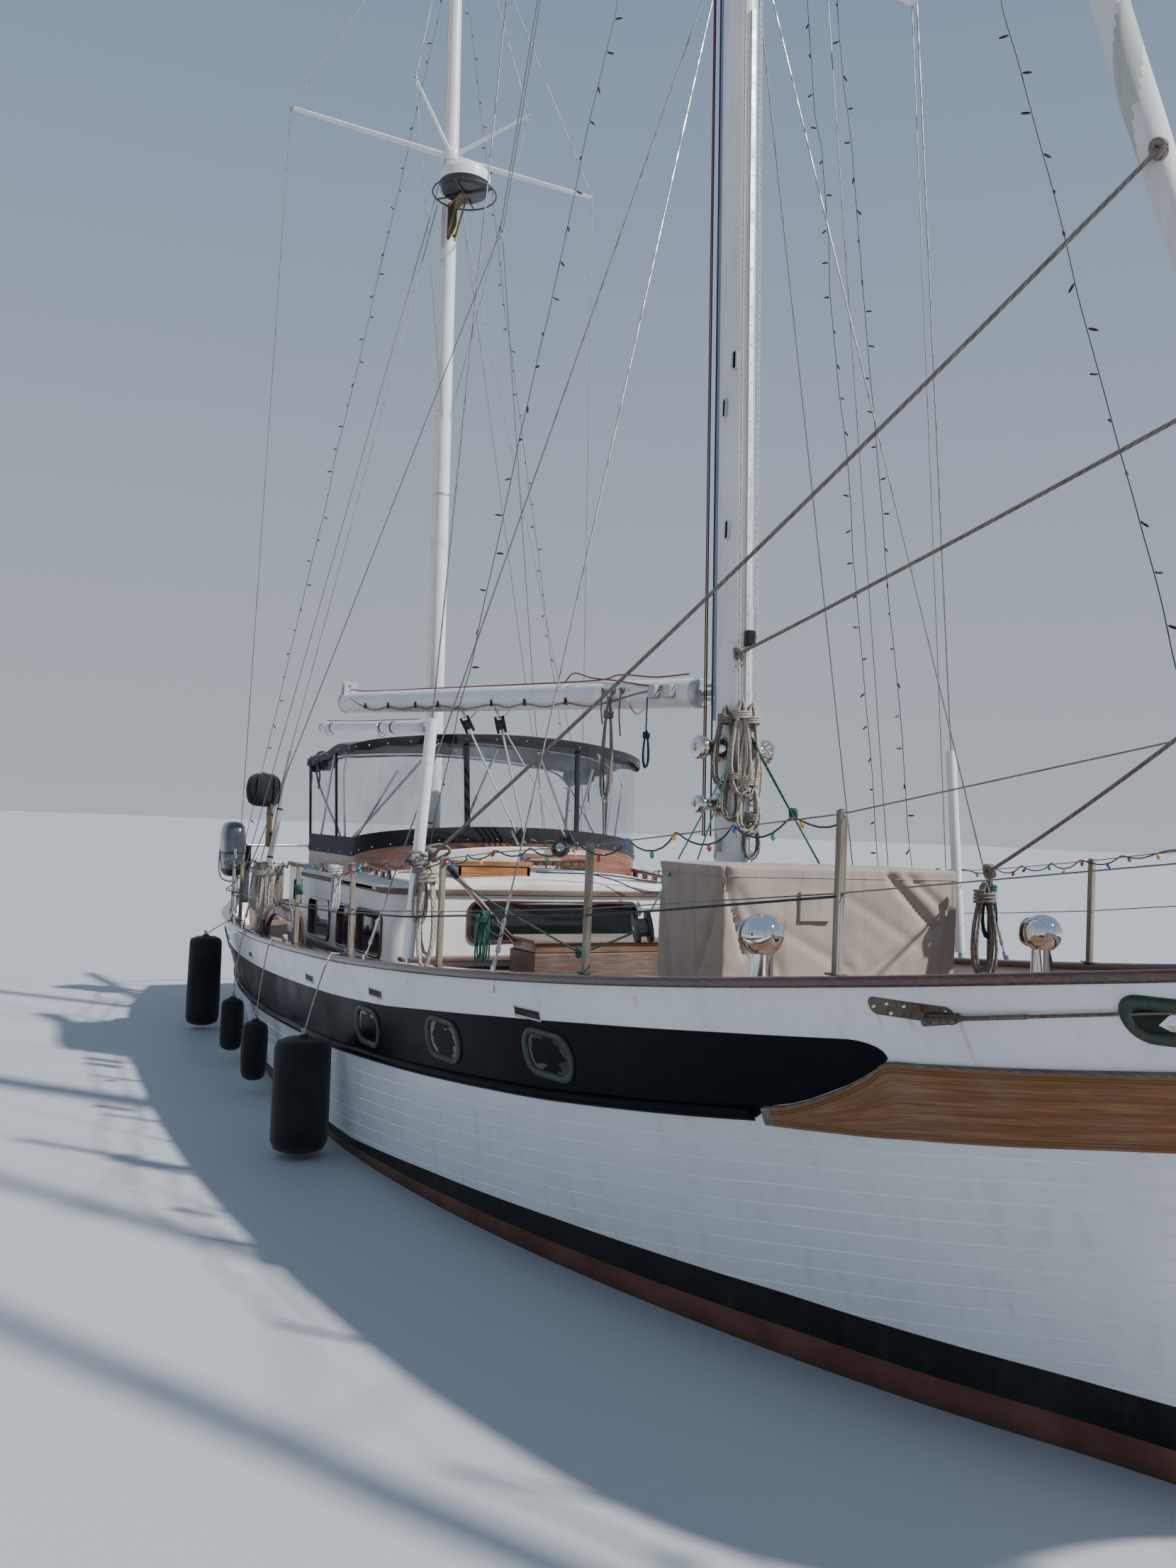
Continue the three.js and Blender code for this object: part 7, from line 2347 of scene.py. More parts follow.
WINCHES = [(2.755, STARBOARD, 0.075), (2.4, STARBOARD, 0.055), (2.755, PORT, 0.075)]
MAIN_SPREADERS = [(8.3, 1.56), (13.0, 1.15)]
MIZZEN_SPREADER, JUMPER = (9.25, 1.68), (9.6, 0.62)


def winch(shape, at, way, r):
    """A winch: its foot, waisted drum with a knurled skirt, and the self-holding crown."""
    profile = [
        (0, 0), (r * 1.15, 0), (r * 1.15, 0.012), (r * 0.95, 0.02), (r * 0.72, 0.045), (r * 0.66, 0.09)
    ]
    profile += [
        (r * 0.74, 0.115), (r * 0.98, 0.128), (r, 0.135), (r * 0.98, 0.142), (r * 0.8, 0.15),
        (r * 0.98, 0.158),
    ]
    profile += [(r, 0.165), (r * 0.85, 0.178), (r * 0.35, 0.182), (r * 0.3, 0.17), (0, 0.17)]
    shape.turned(profile, at, way, "chrome", 28)


def spreader(shape, root, tip, wide, thick, finish):
    """A flattened arm with rounded edges that narrows to a metal tip."""
    root, tip = Vector(root), Vector(tip)
    rings = []
    for k in (0, 0.5, 0.92, 0.96, 1.0):
        centre = root.lerp(tip, k)
        size = 1 - 0.35 * k
        rings.append([centre + Vector((wide * size * c, 0, thick * size * s)) for c, s in circle(1, 16)])
    shape.loft(rings, finish)
    shape.ball(tip, 0.022, "steel", 12)


def make_main_mast():
    tube = Shape()
    oval_mast(tube, MAIN_X, deck_z(2.06) - 0.02, MAIN_HEAD, MAIN_HALF_X, MAIN_HALF_Y, "spar")
    tube.turned(
        [(0.0, 0), (0.21, 0), (0.215, 0.02), (0.2, 0.05), (0.165, 0.06), (0.16, 0.11), (0.0, 0.11)],
        (mast_x(MAIN_X, 1.15), 0, deck_z(2.0) - 0.01),
        UP,
        "canvas",
        32,
    )
    tube.make("main_mast_tube", "white_spar", replaces=["main_mast"])
    # Its slate-blue finish is painted shade along the mast's shaded aft edge.
    slot = Shape()
    rings = []
    for z in (2.95, MAIN_HEAD - 0.9):
        outline = [
            (-0.05, 0.034), (0.03, 0.034), (0.03, -0.034), (-0.05, -0.034), (-0.056, -0.028),
            (-0.056, -0.008),
        ]
        outline += [(-0.04, -0.008), (-0.04, 0.008), (-0.056, 0.008), (-0.056, 0.028)]
        rings.append([on_mast(z, -0.14 + u, v) for u, v in outline])
    slot.loft(rings, "slot")
    slot.make("mast_furling_slot", "white_spar")
    gear = Shape()
    for z, side, r in WINCHES:
        pad = on_mast(z, 0, side * 0.075)
        gear.block(pad - Vector((0.06, 0.03, 0.08)), pad + Vector((0.06, 0.03, 0.08)), "spar_metal", 0.015)
        winch(gear, on_mast(z, 0, side * 0.1), (0, side, 0), r)
    for z, reach in MAIN_SPREADERS:
        gear.turned(
            [
                (0, -0.05), (MAIN_HALF_X + 0.01, -0.05), (MAIN_HALF_X + 0.014, 0.0),
                (MAIN_HALF_X + 0.01, 0.05), (0, 0.05),
            ],
            on_mast(z),
            UP,
            "spar_metal",
            28,
        )
        for side in (STARBOARD, PORT):
            spreader(
                gear,
                on_mast(z, -0.01, side * 0.09),
                on_mast(z + 0.03, -0.05, side * reach),
                0.075,
                0.026,
                "spar",
            )
    for z, ahead, aside in EXIT_BOXES:
        at = on_mast(z, ahead, aside)
        out = Vector((ahead / MAIN_HALF_X**2, aside / MAIN_HALF_Y**2, 0)).normalized()
        across = UP.cross(out)
        rings = []
        for by, proud in ((0, -0.01), (0, 0.012), (0.006, 0.016), (0.012, 0.016), (0.014, 0.004)):
            outline = inset(rounded(0.04, 0.13, 0.018, 4), by)
            rings.append([at + across * u + UP * v + out * proud for u, v in outline])
        gear.loft(rings, lambda i, j: "spar_metal" if i < 3 else "black")
    for z, side in ((1.9, STARBOARD), (2.1, PORT), (1.75, STARBOARD), (2.15, STARBOARD)):
        horn_cleat(gear, on_mast(z, 0.02, side * 0.101), (0, side, 0), UP, 0.17, "spar_metal")
    rings = []
    for z in (2.05, 7.6):
        outline = [
            (0.0, 0.007), (0.012, 0.016), (0.02, 0.016), (0.02, -0.016), (0.012, -0.016), (0.0, -0.007)
        ]
        rings.append([on_mast(z, MAIN_HALF_X - 0.004 + u, v) for u, v in outline])
    gear.loft(rings, "spar_metal")
    gear.block(on_mast(3.4, 0.145, -0.03), on_mast(3.5, 0.2, 0.03), "black", 0.008)
    gear.make("mast_gear", "stainless")
    bolts = [(on_mast(2.1 + 0.125 * i, MAIN_HALF_X + 0.0165), Vector((1, 0, 0.045))) for i in range(44)]
    studs("mast_track_bolts", bolts, 0.0045, 0.003, "steel")


EXIT_BOXES = [
    # height, then the place on the mast's section
    (4.95, 0.02, -0.099),
    (4.15, 0.05, -0.093),
    (4.75, -0.03, 0.098),
    (3.6, 0.03, 0.098),
    (5.25, 0.09, -0.077),
]


def horn_cleat(shape, at, out, along, length, finish):
    at, out, along = Vector(at), Vector(out).normalized(), Vector(along).normalized()
    for k in (-0.16, 0.16):
        foot = at + along * length * k
        shape.rod(foot - out * 0.004, foot + out * length * 0.2, length * 0.06, finish, 10)
    horn = [
        at + out * length * (0.2 + 0.06 * (abs(k) * 2) ** 2) + along * length * k
        for k in (-0.5, -0.3, 0, 0.3, 0.5)
    ]
    shape.tube(curve(horn, 3), length * 0.065, finish, 10, lambda t: 1 - 0.55 * abs(2 * t - 1) ** 2)
    shape.sweep(
        [at - along * length * 0.25, at + along * length * 0.25],
        rounded(0.036, 0.008, 0.003, 2),
        finish,
    )


def make_mizzen_mast():
    tube = Shape()
    oval_mast(tube, MIZZEN_X, 1.7, MIZZEN_HEAD, MIZZEN_RADIUS, MIZZEN_RADIUS, "spar", 0.75, 28)
    tube.turned(
        [(0, 0), (0.14, 0), (0.145, 0.03), (0.1, 0.05), (0.09, 0.09), (0, 0.09)],
        (MIZZEN_X, 0, 1.7),
        UP,
        "spar_metal",
        28,
    )
    tube.block(
        on_mast(3.0, -0.11, -0.02, MIZZEN_X),
        on_mast(3.0, -0.06, 0.02, MIZZEN_X) + Vector((0, 0, 0.002)),
        "spar",
    )
    for z in (3.1, 5.6):
        tube.turned(
            [(0, -0.012), (0.081, -0.012), (0.083, 0), (0.081, 0.012), (0, 0.012)],
            on_mast(z, 0, 0, MIZZEN_X),
            UP,
            "spar_metal",
            28,
        )
    tube.make("mizzen_mast_tube", "white_spar", replaces=["mizzen_mast"])
    arms = Shape()
    z, reach = MIZZEN_SPREADER
    arms.turned(
        [(0, -0.055), (0.09, -0.055), (0.098, -0.04), (0.098, 0.04), (0.09, 0.055), (0, 0.055)],
        on_mast(z, 0, 0, MIZZEN_X),
        UP,
        "spar",
        28,
    )
    jumper_z, jumper = JUMPER
    for side in (STARBOARD, PORT):
        spreader(
            arms,
            on_mast(z, 0, side * 0.07, MIZZEN_X),
            on_mast(z + 0.03, -0.02, side * reach, MIZZEN_X),
            0.045,
            0.024,
            "spar",
        )
        root = on_mast(z + 0.02, 0.06, side * 0.04, MIZZEN_X)
        tip = on_mast(jumper_z, jumper - 0.02, side * jumper, MIZZEN_X)
        arms.tube([root, tip], 0.022, "spar", 14, lambda t: 1 - 0.35 * t)
        arms.ball(tip, 0.02, "steel", 10)
    arms.make("mizzen_spreader_arms", "white_spar", replaces=["mizzen_spreaders"])
    lines = Shape()
    for side in (STARBOARD, PORT):
        tip = on_mast(jumper_z, jumper - 0.02, side * jumper, MIZZEN_X)
        lines.tube(
            [
                on_mast(MIZZEN_HEAD - 0.25, 0.05, side * 0.03, MIZZEN_X),
                tip,
                on_mast(6.4, 0.06, side * 0.04, MIZZEN_X),
            ],
            0.0035,
            "wire",
            6,
        )
    lines.make("jumper_stays", "stainless")


BOOM_PIVOT = Vector((mast_x(MAIN_X, 3.14) - 0.245, 0, 3.14))
MIZZEN_PIVOT = Vector((mast_x(MIZZEN_X, 3.18) - 0.13, 0, 3.18))


class Boom:
    """Places on a boom: a distance along it, then aside (to port) and up from its middle."""

    def __init__(self, pivot, length, radius, rise, degrees):
        a = math.radians(degrees)
        self.pivot, self.length, self.radius = pivot, length, radius
        self.way = Vector((-math.cos(a), -math.sin(a), rise / length))
        self.along = self.way.normalized()
        self.aside = Vector((-math.sin(a), math.cos(a), 0))
        self.up = self.aside.cross(self.along)

    def at(self, d, aside=0.0, up=0.0):
        return self.pivot + self.way * d + self.aside * aside + self.up * up


MAIN_BOOM = Boom(BOOM_PIVOT, 5.06, 0.1, 0.19, 11.5)
MIZZEN_BOOM = Boom(MIZZEN_PIVOT, 3.08, 0.07, 0.13, 5.5)


def boom_tube(shape, boom, start):
    """The spar, with a groove along its top and capped ends."""
    r = boom.radius
    outline = []
    for i in range(32):
        a = 2 * math.pi * i / 32 + math.pi / 2
        k = 0.93 if i == 0 else 1.0
        outline.append((r * k * math.cos(a), r * k * math.sin(a)))
    ends = [
        (start, 0.9), (start + 0.01, 0.99), (start + 0.035, 1.0), (boom.length - 0.035, 1.0),
        (boom.length - 0.01, 0.99), (boom.length, 0.9),
    ]
    rings = [[boom.at(d, u * k, v * k) for u, v in outline] for d, k in ends]
    shape.loft(rings, lambda i, j: "spar_metal" if i in (0, 1, 3, 4) else "spar")
    for d in (start + 0.05, boom.length - 0.05):
        rings = [
            [boom.at(d + e, u * k, v * k) for u, v in outline]
            for e, k in ((-0.012, 1.0), (-0.01, 1.015), (0.01, 1.015), (0.012, 1.0))
        ]
        shape.loft(rings, "spar_metal")


def bail(shape, boom, d, drop):
    """A bent strap under a boom, which a block hangs from."""
    r, foot = boom.radius, 0.02
    path = [boom.at(d, -r - 0.004, 0.02), boom.at(d, -r * 0.8, -r * 0.75), boom.at(d, -foot, -r - drop)]
    path += [boom.at(d, foot, -r - drop), boom.at(d, r * 0.8, -r * 0.75), boom.at(d, r + 0.004, 0.02)]
    shape.tube(curve(path, 4), 0.006, "steel", 8)
    for side in (-1, 1):
        inside, outside = boom.at(d, side * (r - 0.01), 0.02), boom.at(d, side * (r + 0.01), 0.02)
        shape.rod(inside, outside, 0.013, "steel", 10)


def gooseneck(shape, boom):
    """Two cheeks and the pin that a boom swings on."""
    p = boom.pivot
    for dz in (-0.055, 0.035):
        low, high = p + Vector((-0.035, -0.04, dz)), p + Vector((0.105, 0.04, dz + 0.02))
        shape.block(low, high, "spar_metal", 0.008)
    shape.rod(p + Vector((0, 0, -0.09)), p + Vector((0, 0, 0.09)), 0.012, "steel", 12)


FAIRLEADS = [0.95, 1.45, 1.97, 2.42, 3.23, 3.6, 4.08, 4.5]


def make_booms():
    boom = MAIN_BOOM
    tube = Shape()
    boom_tube(tube, boom, 0.075)
    tube.rod(boom.at(0.0), boom.at(0.1), 0.022, "spar_metal", 16)
    tube.make("main_boom_tube", "white_spar", "main_boom_spar", ["main_boom"])
    neck = Shape()
    gooseneck(neck, boom)
    neck.make("main_gooseneck", "stainless")
    gear = Shape()
    for d in (2.4, 2.88):
        bail(gear, boom, d, 0.05)
    bail(gear, boom, 0.74, 0.03)
    for d in FAIRLEADS:
        centre = boom.at(d, -0.088, -0.055)
        gear.rod(centre - boom.along * 0.012, centre + boom.along * 0.012, 0.017, "black", 12)
        gear.block(
            boom.at(d, -0.1, -0.03) - Vector((0.015, 0.004, 0.012)),
            boom.at(d, -0.1, -0.03) + Vector((0.015, 0.004, 0.012)),
            "black",
            0.003,
        )
    for d in (0.3, 0.45):
        gear.block(
            boom.at(d, -0.12, 0.0) - Vector((0.05, 0.02, 0.045)),
            boom.at(d, -0.1, 0.0) + Vector((0.05, 0.01, 0.045)),
            "spar_metal",
            0.01,
        )
        gear.rod(boom.at(d, -0.13, 0), boom.at(d, -0.09, 0), 0.025, "black", 16)
    gear.block(boom.at(4.98, -0.03, 0.09), boom.at(5.06, 0.03, 0.16), "spar_metal", 0.006)
    gear.rod(boom.at(5.05, -0.035, 0.14), boom.at(5.05, 0.035, 0.14), 0.03, "black", 16)
    gear.make("main_boom_fittings", "stainless", "main_boom_spar")
    line = Shape()
    path = [boom.at(5.0, -0.02, 0.1), boom.at(4.8, -0.09, 0.03), boom.at(4.5, -0.092, -0.06)]
    for a, b in zip(FAIRLEADS[::-1], FAIRLEADS[-2::-1]):
        path.append(boom.at((a + b) / 2, -0.095, -0.075 - 0.02 * (a - b)))
        path.append(boom.at(b, -0.092, -0.058))
    path += [boom.at(0.6, -0.105, 0.0), boom.at(0.3, -0.125, 0.02)]
    line.tube(curve(path, 5), 0.006, "old_rope", 8)
    for d, tail in ((0.8, 0.3), (1.0, 0.22), (0.9, 0.26)):
        knot(line, boom.at(d, -0.1, 0.02), 0.028, "old_rope")
        end = boom.at(d, -0.115, 0.0)
        line.tube(
            curve([end, end + Vector((0.01, -0.01, -tail * 0.5)), end + Vector((0.02, 0, -tail))], 5),
            0.006,
            "old_rope",
            8,
        )
    line.make("boom_outhaul", "tan_cloth", "main_boom_spar")
    red = Shape()
    path = [
        boom.at(5.0, 0.0, 0.13), boom.at(4.6, -0.01, 0.104), boom.at(3.6, 0.0, 0.106),
        boom.at(2.2, -0.01, 0.106), boom.at(1.2, -0.02, 0.11),
    ]
    path += [boom.at(0.9, -0.04, 0.14), boom.at(0.5, -0.06, 0.11), boom.at(0.16, -0.07, 0.12)]
    red.tube(curve(path, 8), 0.0055, "red_rope", 8)
    path = [
        boom.at(1.6, 0.0, 0.106), boom.at(1.45, -0.03, 0.17), boom.at(1.25, -0.02, 0.13),
        boom.at(0.95, -0.05, 0.1), boom.at(0.55, -0.1, 0.05), boom.at(0.3, -0.11, 0.03),
    ]
    red.tube(curve(path, 6), 0.0055, "red_rope", 8)
    red.make("boom_red_line", "tan_cloth", "main_boom_spar")
    small = MIZZEN_BOOM
    tube = Shape()
    boom_tube(tube, small, 0.075)
    tube.rod(small.at(0.0), small.at(0.1), 0.022, "spar_metal", 16)
    tube.make("mizzen_boom_tube", "white_spar", "mizzen_boom_spar", ["mizzen_boom"])
    neck = Shape()
    gooseneck(neck, small)
    neck.make("mizzen_gooseneck", "stainless")
    gear = Shape()
    bail(gear, small, 1.25, 0.03)
    bail(gear, small, 2.85, 0.03)
    for d in (0.9, 1.2, 2.7):
        rings = [
            [small.at(d + e, u * k, v * k) for u, v in circle(small.radius, 28)]
            for e, k in ((-0.02, 1.0), (-0.018, 1.03), (0.018, 1.03), (0.02, 1.0))
        ]
        gear.loft(rings, "black")
    gear.tube(
        curve(
            [
                small.at(2.95, 0, 0.09),
                small.at(2.0, 0, 0.078),
                small.at(1.0, 0, 0.085),
                small.at(0.3, 0, 0.09),
            ],
            8,
        ),
        0.0045,
        "red_rope",
        8,
    )
    gear.make("mizzen_boom_fittings", "stainless", "mizzen_boom_spar")


def knot(shape, at, size, finish):
    """A small lumpy knot: two turns of the rope round each other."""
    at = Vector(at)
    for tilt in (0.4, -0.7):
        ring = []
        for i in range(13):
            a = 2 * math.pi * i / 12
            ring.append(
                at + Vector(
                    (
                        size * 0.6 * math.cos(a),
                        size * 0.6 * math.sin(a) * tilt,
                        size * 0.6 * math.sin(a),
                    )
                )
            )
        shape.tube(ring, size * 0.38, finish, 8)


def block_and_shackle(shape, at, way, size, finish="black"):
    """A pulley between its cheeks, with its strap and shackle, hung along a way."""
    at, way = Vector(at), Vector(way).normalized()
    side = way.cross(Vector((0.35, 0.94, 0))).normalized()
    axle = side.cross(way)
    for k in (-0.3, 0.3):
        rings = []
        for out in (k * size - 0.1 * size, k * size + 0.1 * size):
            rings.append(
                [
                    at + side * (u * size * 0.5) + way * (v * size * 0.72) + axle * out
                    for u, v in circle(1, 18)
                ]
            )
        shape.loft(rings, finish)
    shape.rod(at - axle * size * 0.24, at + axle * size * 0.24, size * 0.42, "dome_base", 16)
    shape.rod(at - axle * size * 0.42, at + axle * size * 0.42, size * 0.1, "steel", 10)
    bow = [
        at - way * size * 0.6 + side * 0.01,
        at - way * size * 0.95 + side * size * 0.16,
        at - way * size * 1.2,
    ]
    bow += [at - way * size * 0.95 - side * size * 0.16, at - way * size * 0.6 - side * 0.01]
    shape.tube(curve(bow, 4), size * 0.06, "steel", 8)


MAINSHEETS = [
    # how far along the boom its block hangs, the tackle's foot, and its number of parts
    (2.88, (-1.03, -0.1, 2.06), 4),
    (2.4, (-1.02, -0.06, 2.07), 3),
    (2.38, (-0.9, 0.31, 2.04), 1),
]


def make_mainsheets():
    """Two tackles and a leading part, from the boom down to the beam before the coaming."""
    fixed = Shape()
    for n, (d, foot, parts) in enumerate(MAINSHEETS):
        head = MAIN_BOOM.at(d, 0, -MAIN_BOOM.radius - 0.13)
        foot = Vector(foot)
        way = (head - foot).normalized()
        ropes = Shape()
        side = way.cross(Vector((0.4, 0.9, 0))).normalized()
        for i in range(parts):
            k = (i - (parts - 1) / 2) * 0.026
            a = foot + way * 0.1 + side * k
            b = head - way * 0.02 + side * k * 1.15
            ropes.tube([a.lerp(b, t / 16) for t in range(17)], 0.0065, "white_rope", 8)
        made = ropes.make(f"mainsheet_parts_{n + 1}", "tan_cloth", None)
        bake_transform(made)
        if n < 2:
            upper = Shape()
            block_and_shackle(upper, head + way * 0.02, -way, 0.1)
            upper.make(f"mainsheet_block_{n + 1}", "black_trim", "main_boom_spar")
        block_and_shackle(
            fixed, foot + way * 0.06, way, 0.1 if n < 2 else 0.12, "spar_metal" if n == 0 else "black"
        )
    hood_top = SLIDE_Z + HOOD["tall"]
    links = curve(
        [
            (-0.89, 0.32, hood_top + 0.04),
            (-0.78, 0.42, hood_top + 0.014),
            (-0.66, 0.54, hood_top + 0.014),
        ],
        4,
    )
    for i, (a, b) in enumerate(zip(links, links[1:])):
        along = (b - a).normalized()
        across = along.cross(UP if i % 2 else Vector((0.3, 0, 1))).normalized()
        middle = (a + b) / 2
        ring = [middle + along * (0.02 * c) + across * (0.011 * s) for c, s in circle(1, 12)]
        fixed.tube([*ring, ring[0]], 0.0035, "steel", 6)
    for y in (-0.17, 0.0, 0.17):
        at = Vector((-1.045, y, 2.046))
        ring = [at + Vector((0, 0.05 * c, 0.024 + 0.022 * s)) for c, s in circle(1, 16)]
        fixed.tube([*ring, ring[0]], 0.007, "verdigris", 8)
        fixed.block(at + Vector((-0.02, -0.06, -0.006)), at + Vector((0.02, 0.06, 0.006)), "verdigris", 0.004)
    fixed.make("mainsheet_lower_gear", "bronze")


# Standing rigging


def chainplate(x, side):
    s = station(x)
    return Vector((x, side * (s["half"] - 0.01), s["rail"] - 0.02))


def turnbuckle(shape, foot, way, size=1.0):
    """A toggle, an open body with its screws, and the wire's end fitting; gives where it stops."""
    foot, way = Vector(foot), Vector(way).normalized()
    shape.block(foot - Vector((0.02, 0.004, 0.09)), foot + Vector((0.02, 0.004, 0.05)), "steel", 0.003)
    at = foot + way * 0.045
    s = size
    shape.rod(at - way * 0.02, at + way * 0.03, 0.013 * s, "steel", 10)
    profile = [(0, 0.02), (0.0065, 0.02), (0.0065, 0.08), (0.015, 0.085), (0.015, 0.11), (0.0115, 0.125)]
    profile += [
        (0.0115, 0.235), (0.015, 0.25), (0.015, 0.275), (0.0065, 0.28), (0.0065, 0.33), (0.009, 0.335),
        (0.008, 0.42), (0.0045, 0.44), (0, 0.44),
    ]
    shape.turned([(r * s, d * s) for r, d in profile], at, way, "steel", 12)
    return at + way * 0.42 * s


def stay(shape, points, radius=0.005):
    """A wire through its points, set up by a turnbuckle at its foot."""
    points = [Vector(p) for p in points]
    points[0] = turnbuckle(shape, points[0], points[1] - points[0], 0.9)
    shape.tube(points, radius, "wire", 6)


# x of the cap shroud's foot, the forward lower's and the after lower's
MAIN_SHROUD_FEET = {"starboard": (1.56, 2.6, 0.85), "port": (1.98, 2.45, 0.85)}
MIZZEN_SHROUD_FEET = (-3.74, -3.15)
BACKSTAY_PLATE = Vector((-2.297, 0, 7.822))


def make_shrouds():
    for side_name, side in SIDES:
        cap, ahead, astern = MAIN_SHROUD_FEET[side_name]
        tips = [on_mast(z + 0.034, -0.05, side * (reach + 0.012)) for z, reach in MAIN_SPREADERS]
        wires = Shape()
        stay(wires, [chainplate(cap, side), *tips, on_mast(MAIN_HEAD - 0.25, 0, side * 0.092)])
        stay(wires, [chainplate(ahead, side), on_mast(8.25, 0.02, side * 0.106)])
        stay(wires, [chainplate(astern, side), on_mast(8.2, -0.02, side * 0.106)])
        if side == PORT:
            stay(wires, [chainplate(1.24, side), on_mast(14.8, 0, side * 0.1)], 0.004)
            stay(
                wires,
                [
                    chainplate(cap - 0.12, side) + Vector((0, 0, 0.02)),
                    tips[0] - Vector((0.03, side * 0.02, 0)),
                ],
                0.0035,
            )
        for z in (8.2, MAIN_HEAD - 0.25):
            wires.block(
                on_mast(z, -0.04, side * 0.1) - Vector((0, 0.008, 0.06)),
                on_mast(z, 0.04, side * 0.1) + Vector((0, 0.008, 0.06)),
                "steel",
                0.004,
            )
        wires.make("main_shroud_wires_" + side_name, "stainless", replaces=["main_shrouds_" + side_name])
        wires = Shape()
        z, reach = MIZZEN_SPREADER
        tip = on_mast(z + 0.034, -0.03, side * (reach + 0.022), MIZZEN_X)
        stay(
            wires,
            [
                chainplate(MIZZEN_SHROUD_FEET[0], side),
                tip,
                on_mast(MIZZEN_HEAD - 0.2, 0, side * 0.072, MIZZEN_X),
            ],
            0.0042,
        )
        stay(
            wires,
            [chainplate(MIZZEN_SHROUD_FEET[1], side), on_mast(8.95, 0, side * 0.082, MIZZEN_X)],
            0.0042,
        )
        stay(wires, [chainplate(-4.2, side), on_mast(9.1, -0.02, side * 0.08, MIZZEN_X)], 0.0042)
        wires.make("mizzen_shroud_wires_" + side_name, "stainless", replaces=["mizzen_shrouds_" + side_name])
        wires = Shape()
        plate = Vector((BACKSTAY_PLATE.x, side * 0.014, BACKSTAY_PLATE.z))
        stay(wires, [chainplate(-4.38, side), plate, on_mast(MAIN_HEAD - 0.1, -0.122, side * 0.014)], 0.005)
        if side == STARBOARD:
            wires.block(
                plate - Vector((0.004, 0.02, 0.07)), plate + Vector((0.004, 0.05, 0.07)), "steel", 0.002
            )
        wires.make("backstay_wire_" + side_name, "stainless", replaces=["backstay_" + side_name])
        pipe = Shape()
        foot = chainplate(cap, side)
        head = tips[0]

        def along(z):
            return foot.lerp(head, (z - foot.z) / (head.z - foot.z))

        low, high = along(foot.z + 0.058), along(foot.z + 1.47)
        profile = [
            (0.029, 0), (0.035, 0), (0.0355, 0.002), (0.0355, (high - low).length),
            (0.031, (high - low).length), (0.03, 0.01),
        ]
        rings_of(pipe, profile, low, high - low, "pipe", 24)
        pipe.turned(
            [(0.0365, 0), (0.037, 0.003), (0.037, 0.03), (0.0365, 0.033), (0.035, 0.033), (0.035, 0)],
            along(foot.z + 1.2),
            high - low,
            "pipe",
            24,
        )
        pipe.make(
            "shroud_pipe_" + side_name + "_tube", "white_gelcoat", replaces=["shroud_pipe_" + side_name]
        )


def rings_of(shape, profile, at, way, finish, sides):
    """A turned ring: its profile is a closed loop clear of the axis."""
    at, way = Vector(at), Vector(way).normalized()
    side = way.cross(Vector((1, 0, 0))).normalized()
    up = way.cross(side)
    rings = [[at + way * d + side * r * c + up * r * s for c, s in circle(1, sides)] for r, d in profile]
    shape.loft(rings, finish, caps=False, rings_meet=True)


# Furled sails

SPRIT_TIP, SPRIT_HEEL = 8.9, 6.33


def sprit_z(x):
    return 2.11 + (x - 7.3) * 0.06


def furled_sail(name, node_name, foot, head, radius, spine, lumps):
    """A sail rolled on its stay: its leech winds up it in a spiral, over a drum at the foot."""
    foot, head = Vector(foot), Vector(head)
    way = (head - foot).normalized()
    length = (head - foot).length
    side = way.cross(Vector((0, 1, 0))).normalized()
    up = way.cross(side)
    profile = [
        (0.045, 0.7), (0.07, 0.88), (0.12, 1.0), (0.3, 1.0), (0.5, 0.9), (0.7, 0.66), (0.85, 0.48),
        (0.93, 0.32), (0.945, 0.15),
    ]
    shape = Shape()
    rings = []
    steps, sides = 220, 24
    for i in range(steps + 1):
        share = 0.045 + 0.9 * i / steps
        r = radius * between(profile, share)
        turn = share * length / spine * 2 * math.pi
        ring = []
        for j in range(sides):
            a = 2 * math.pi * j / sides
            ridge = ((a - turn) / (2 * math.pi)) % 1.0
            lip = 0.16 * (1 - ridge) ** 3
            ripple = lumps * noise.noise(Vector((share * length * 1.4, math.cos(a) * 1.2, math.sin(a) * 1.2)))
            k = r * (0.88 + lip + ripple)
            ring.append(foot + way * (share * length) + side * (k * math.cos(a)) + up * (k * math.sin(a)))
        rings.append(ring)

    def finish(i, j):
        turn = (0.045 + 0.9 * i / steps) * length / spine
        return "sail_edge" if (j / sides - turn) % 1.0 < 0.3 else "sail"

    shape.loft(rings, finish)
    shape.make(name, "sailcloth", replaces=[node_name], sharp=60)
    gear = Shape()
    gear.rod(foot, foot + way * length, 0.011, "spar_metal", 10)
    at = foot + way * (0.021 * length)
    drum = [
        (0, 0), (radius * 1.25, 0), (radius * 1.3, 0.008), (radius * 1.25, 0.016),
        (radius * 0.5, 0.02), (radius * 0.5, 0.1),
    ]
    drum += [
        (radius * 1.25, 0.104), (radius * 1.3, 0.112), (radius * 1.25, 0.12), (0.03, 0.124),
        (0.03, 0.2), (0, 0.2),
    ]
    gear.turned(drum, at, way, "black", 28)
    gear.turned(
        [(0.0, 0), (radius * 0.7, 0), (radius * 0.85, 0.02), (radius * 0.7, 0.075), (0, 0.075)],
        at + way * 0.022,
        way,
        "dark_rope",
        24,
    )
    gear.turned(
        [(0, 0), (0.03, 0), (0.034, 0.05), (0.03, 0.12), (0, 0.12)],
        foot + way * (0.95 * length),
        way,
        "black",
        20,
    )
    gear.make(name + "_gear", "black_trim")


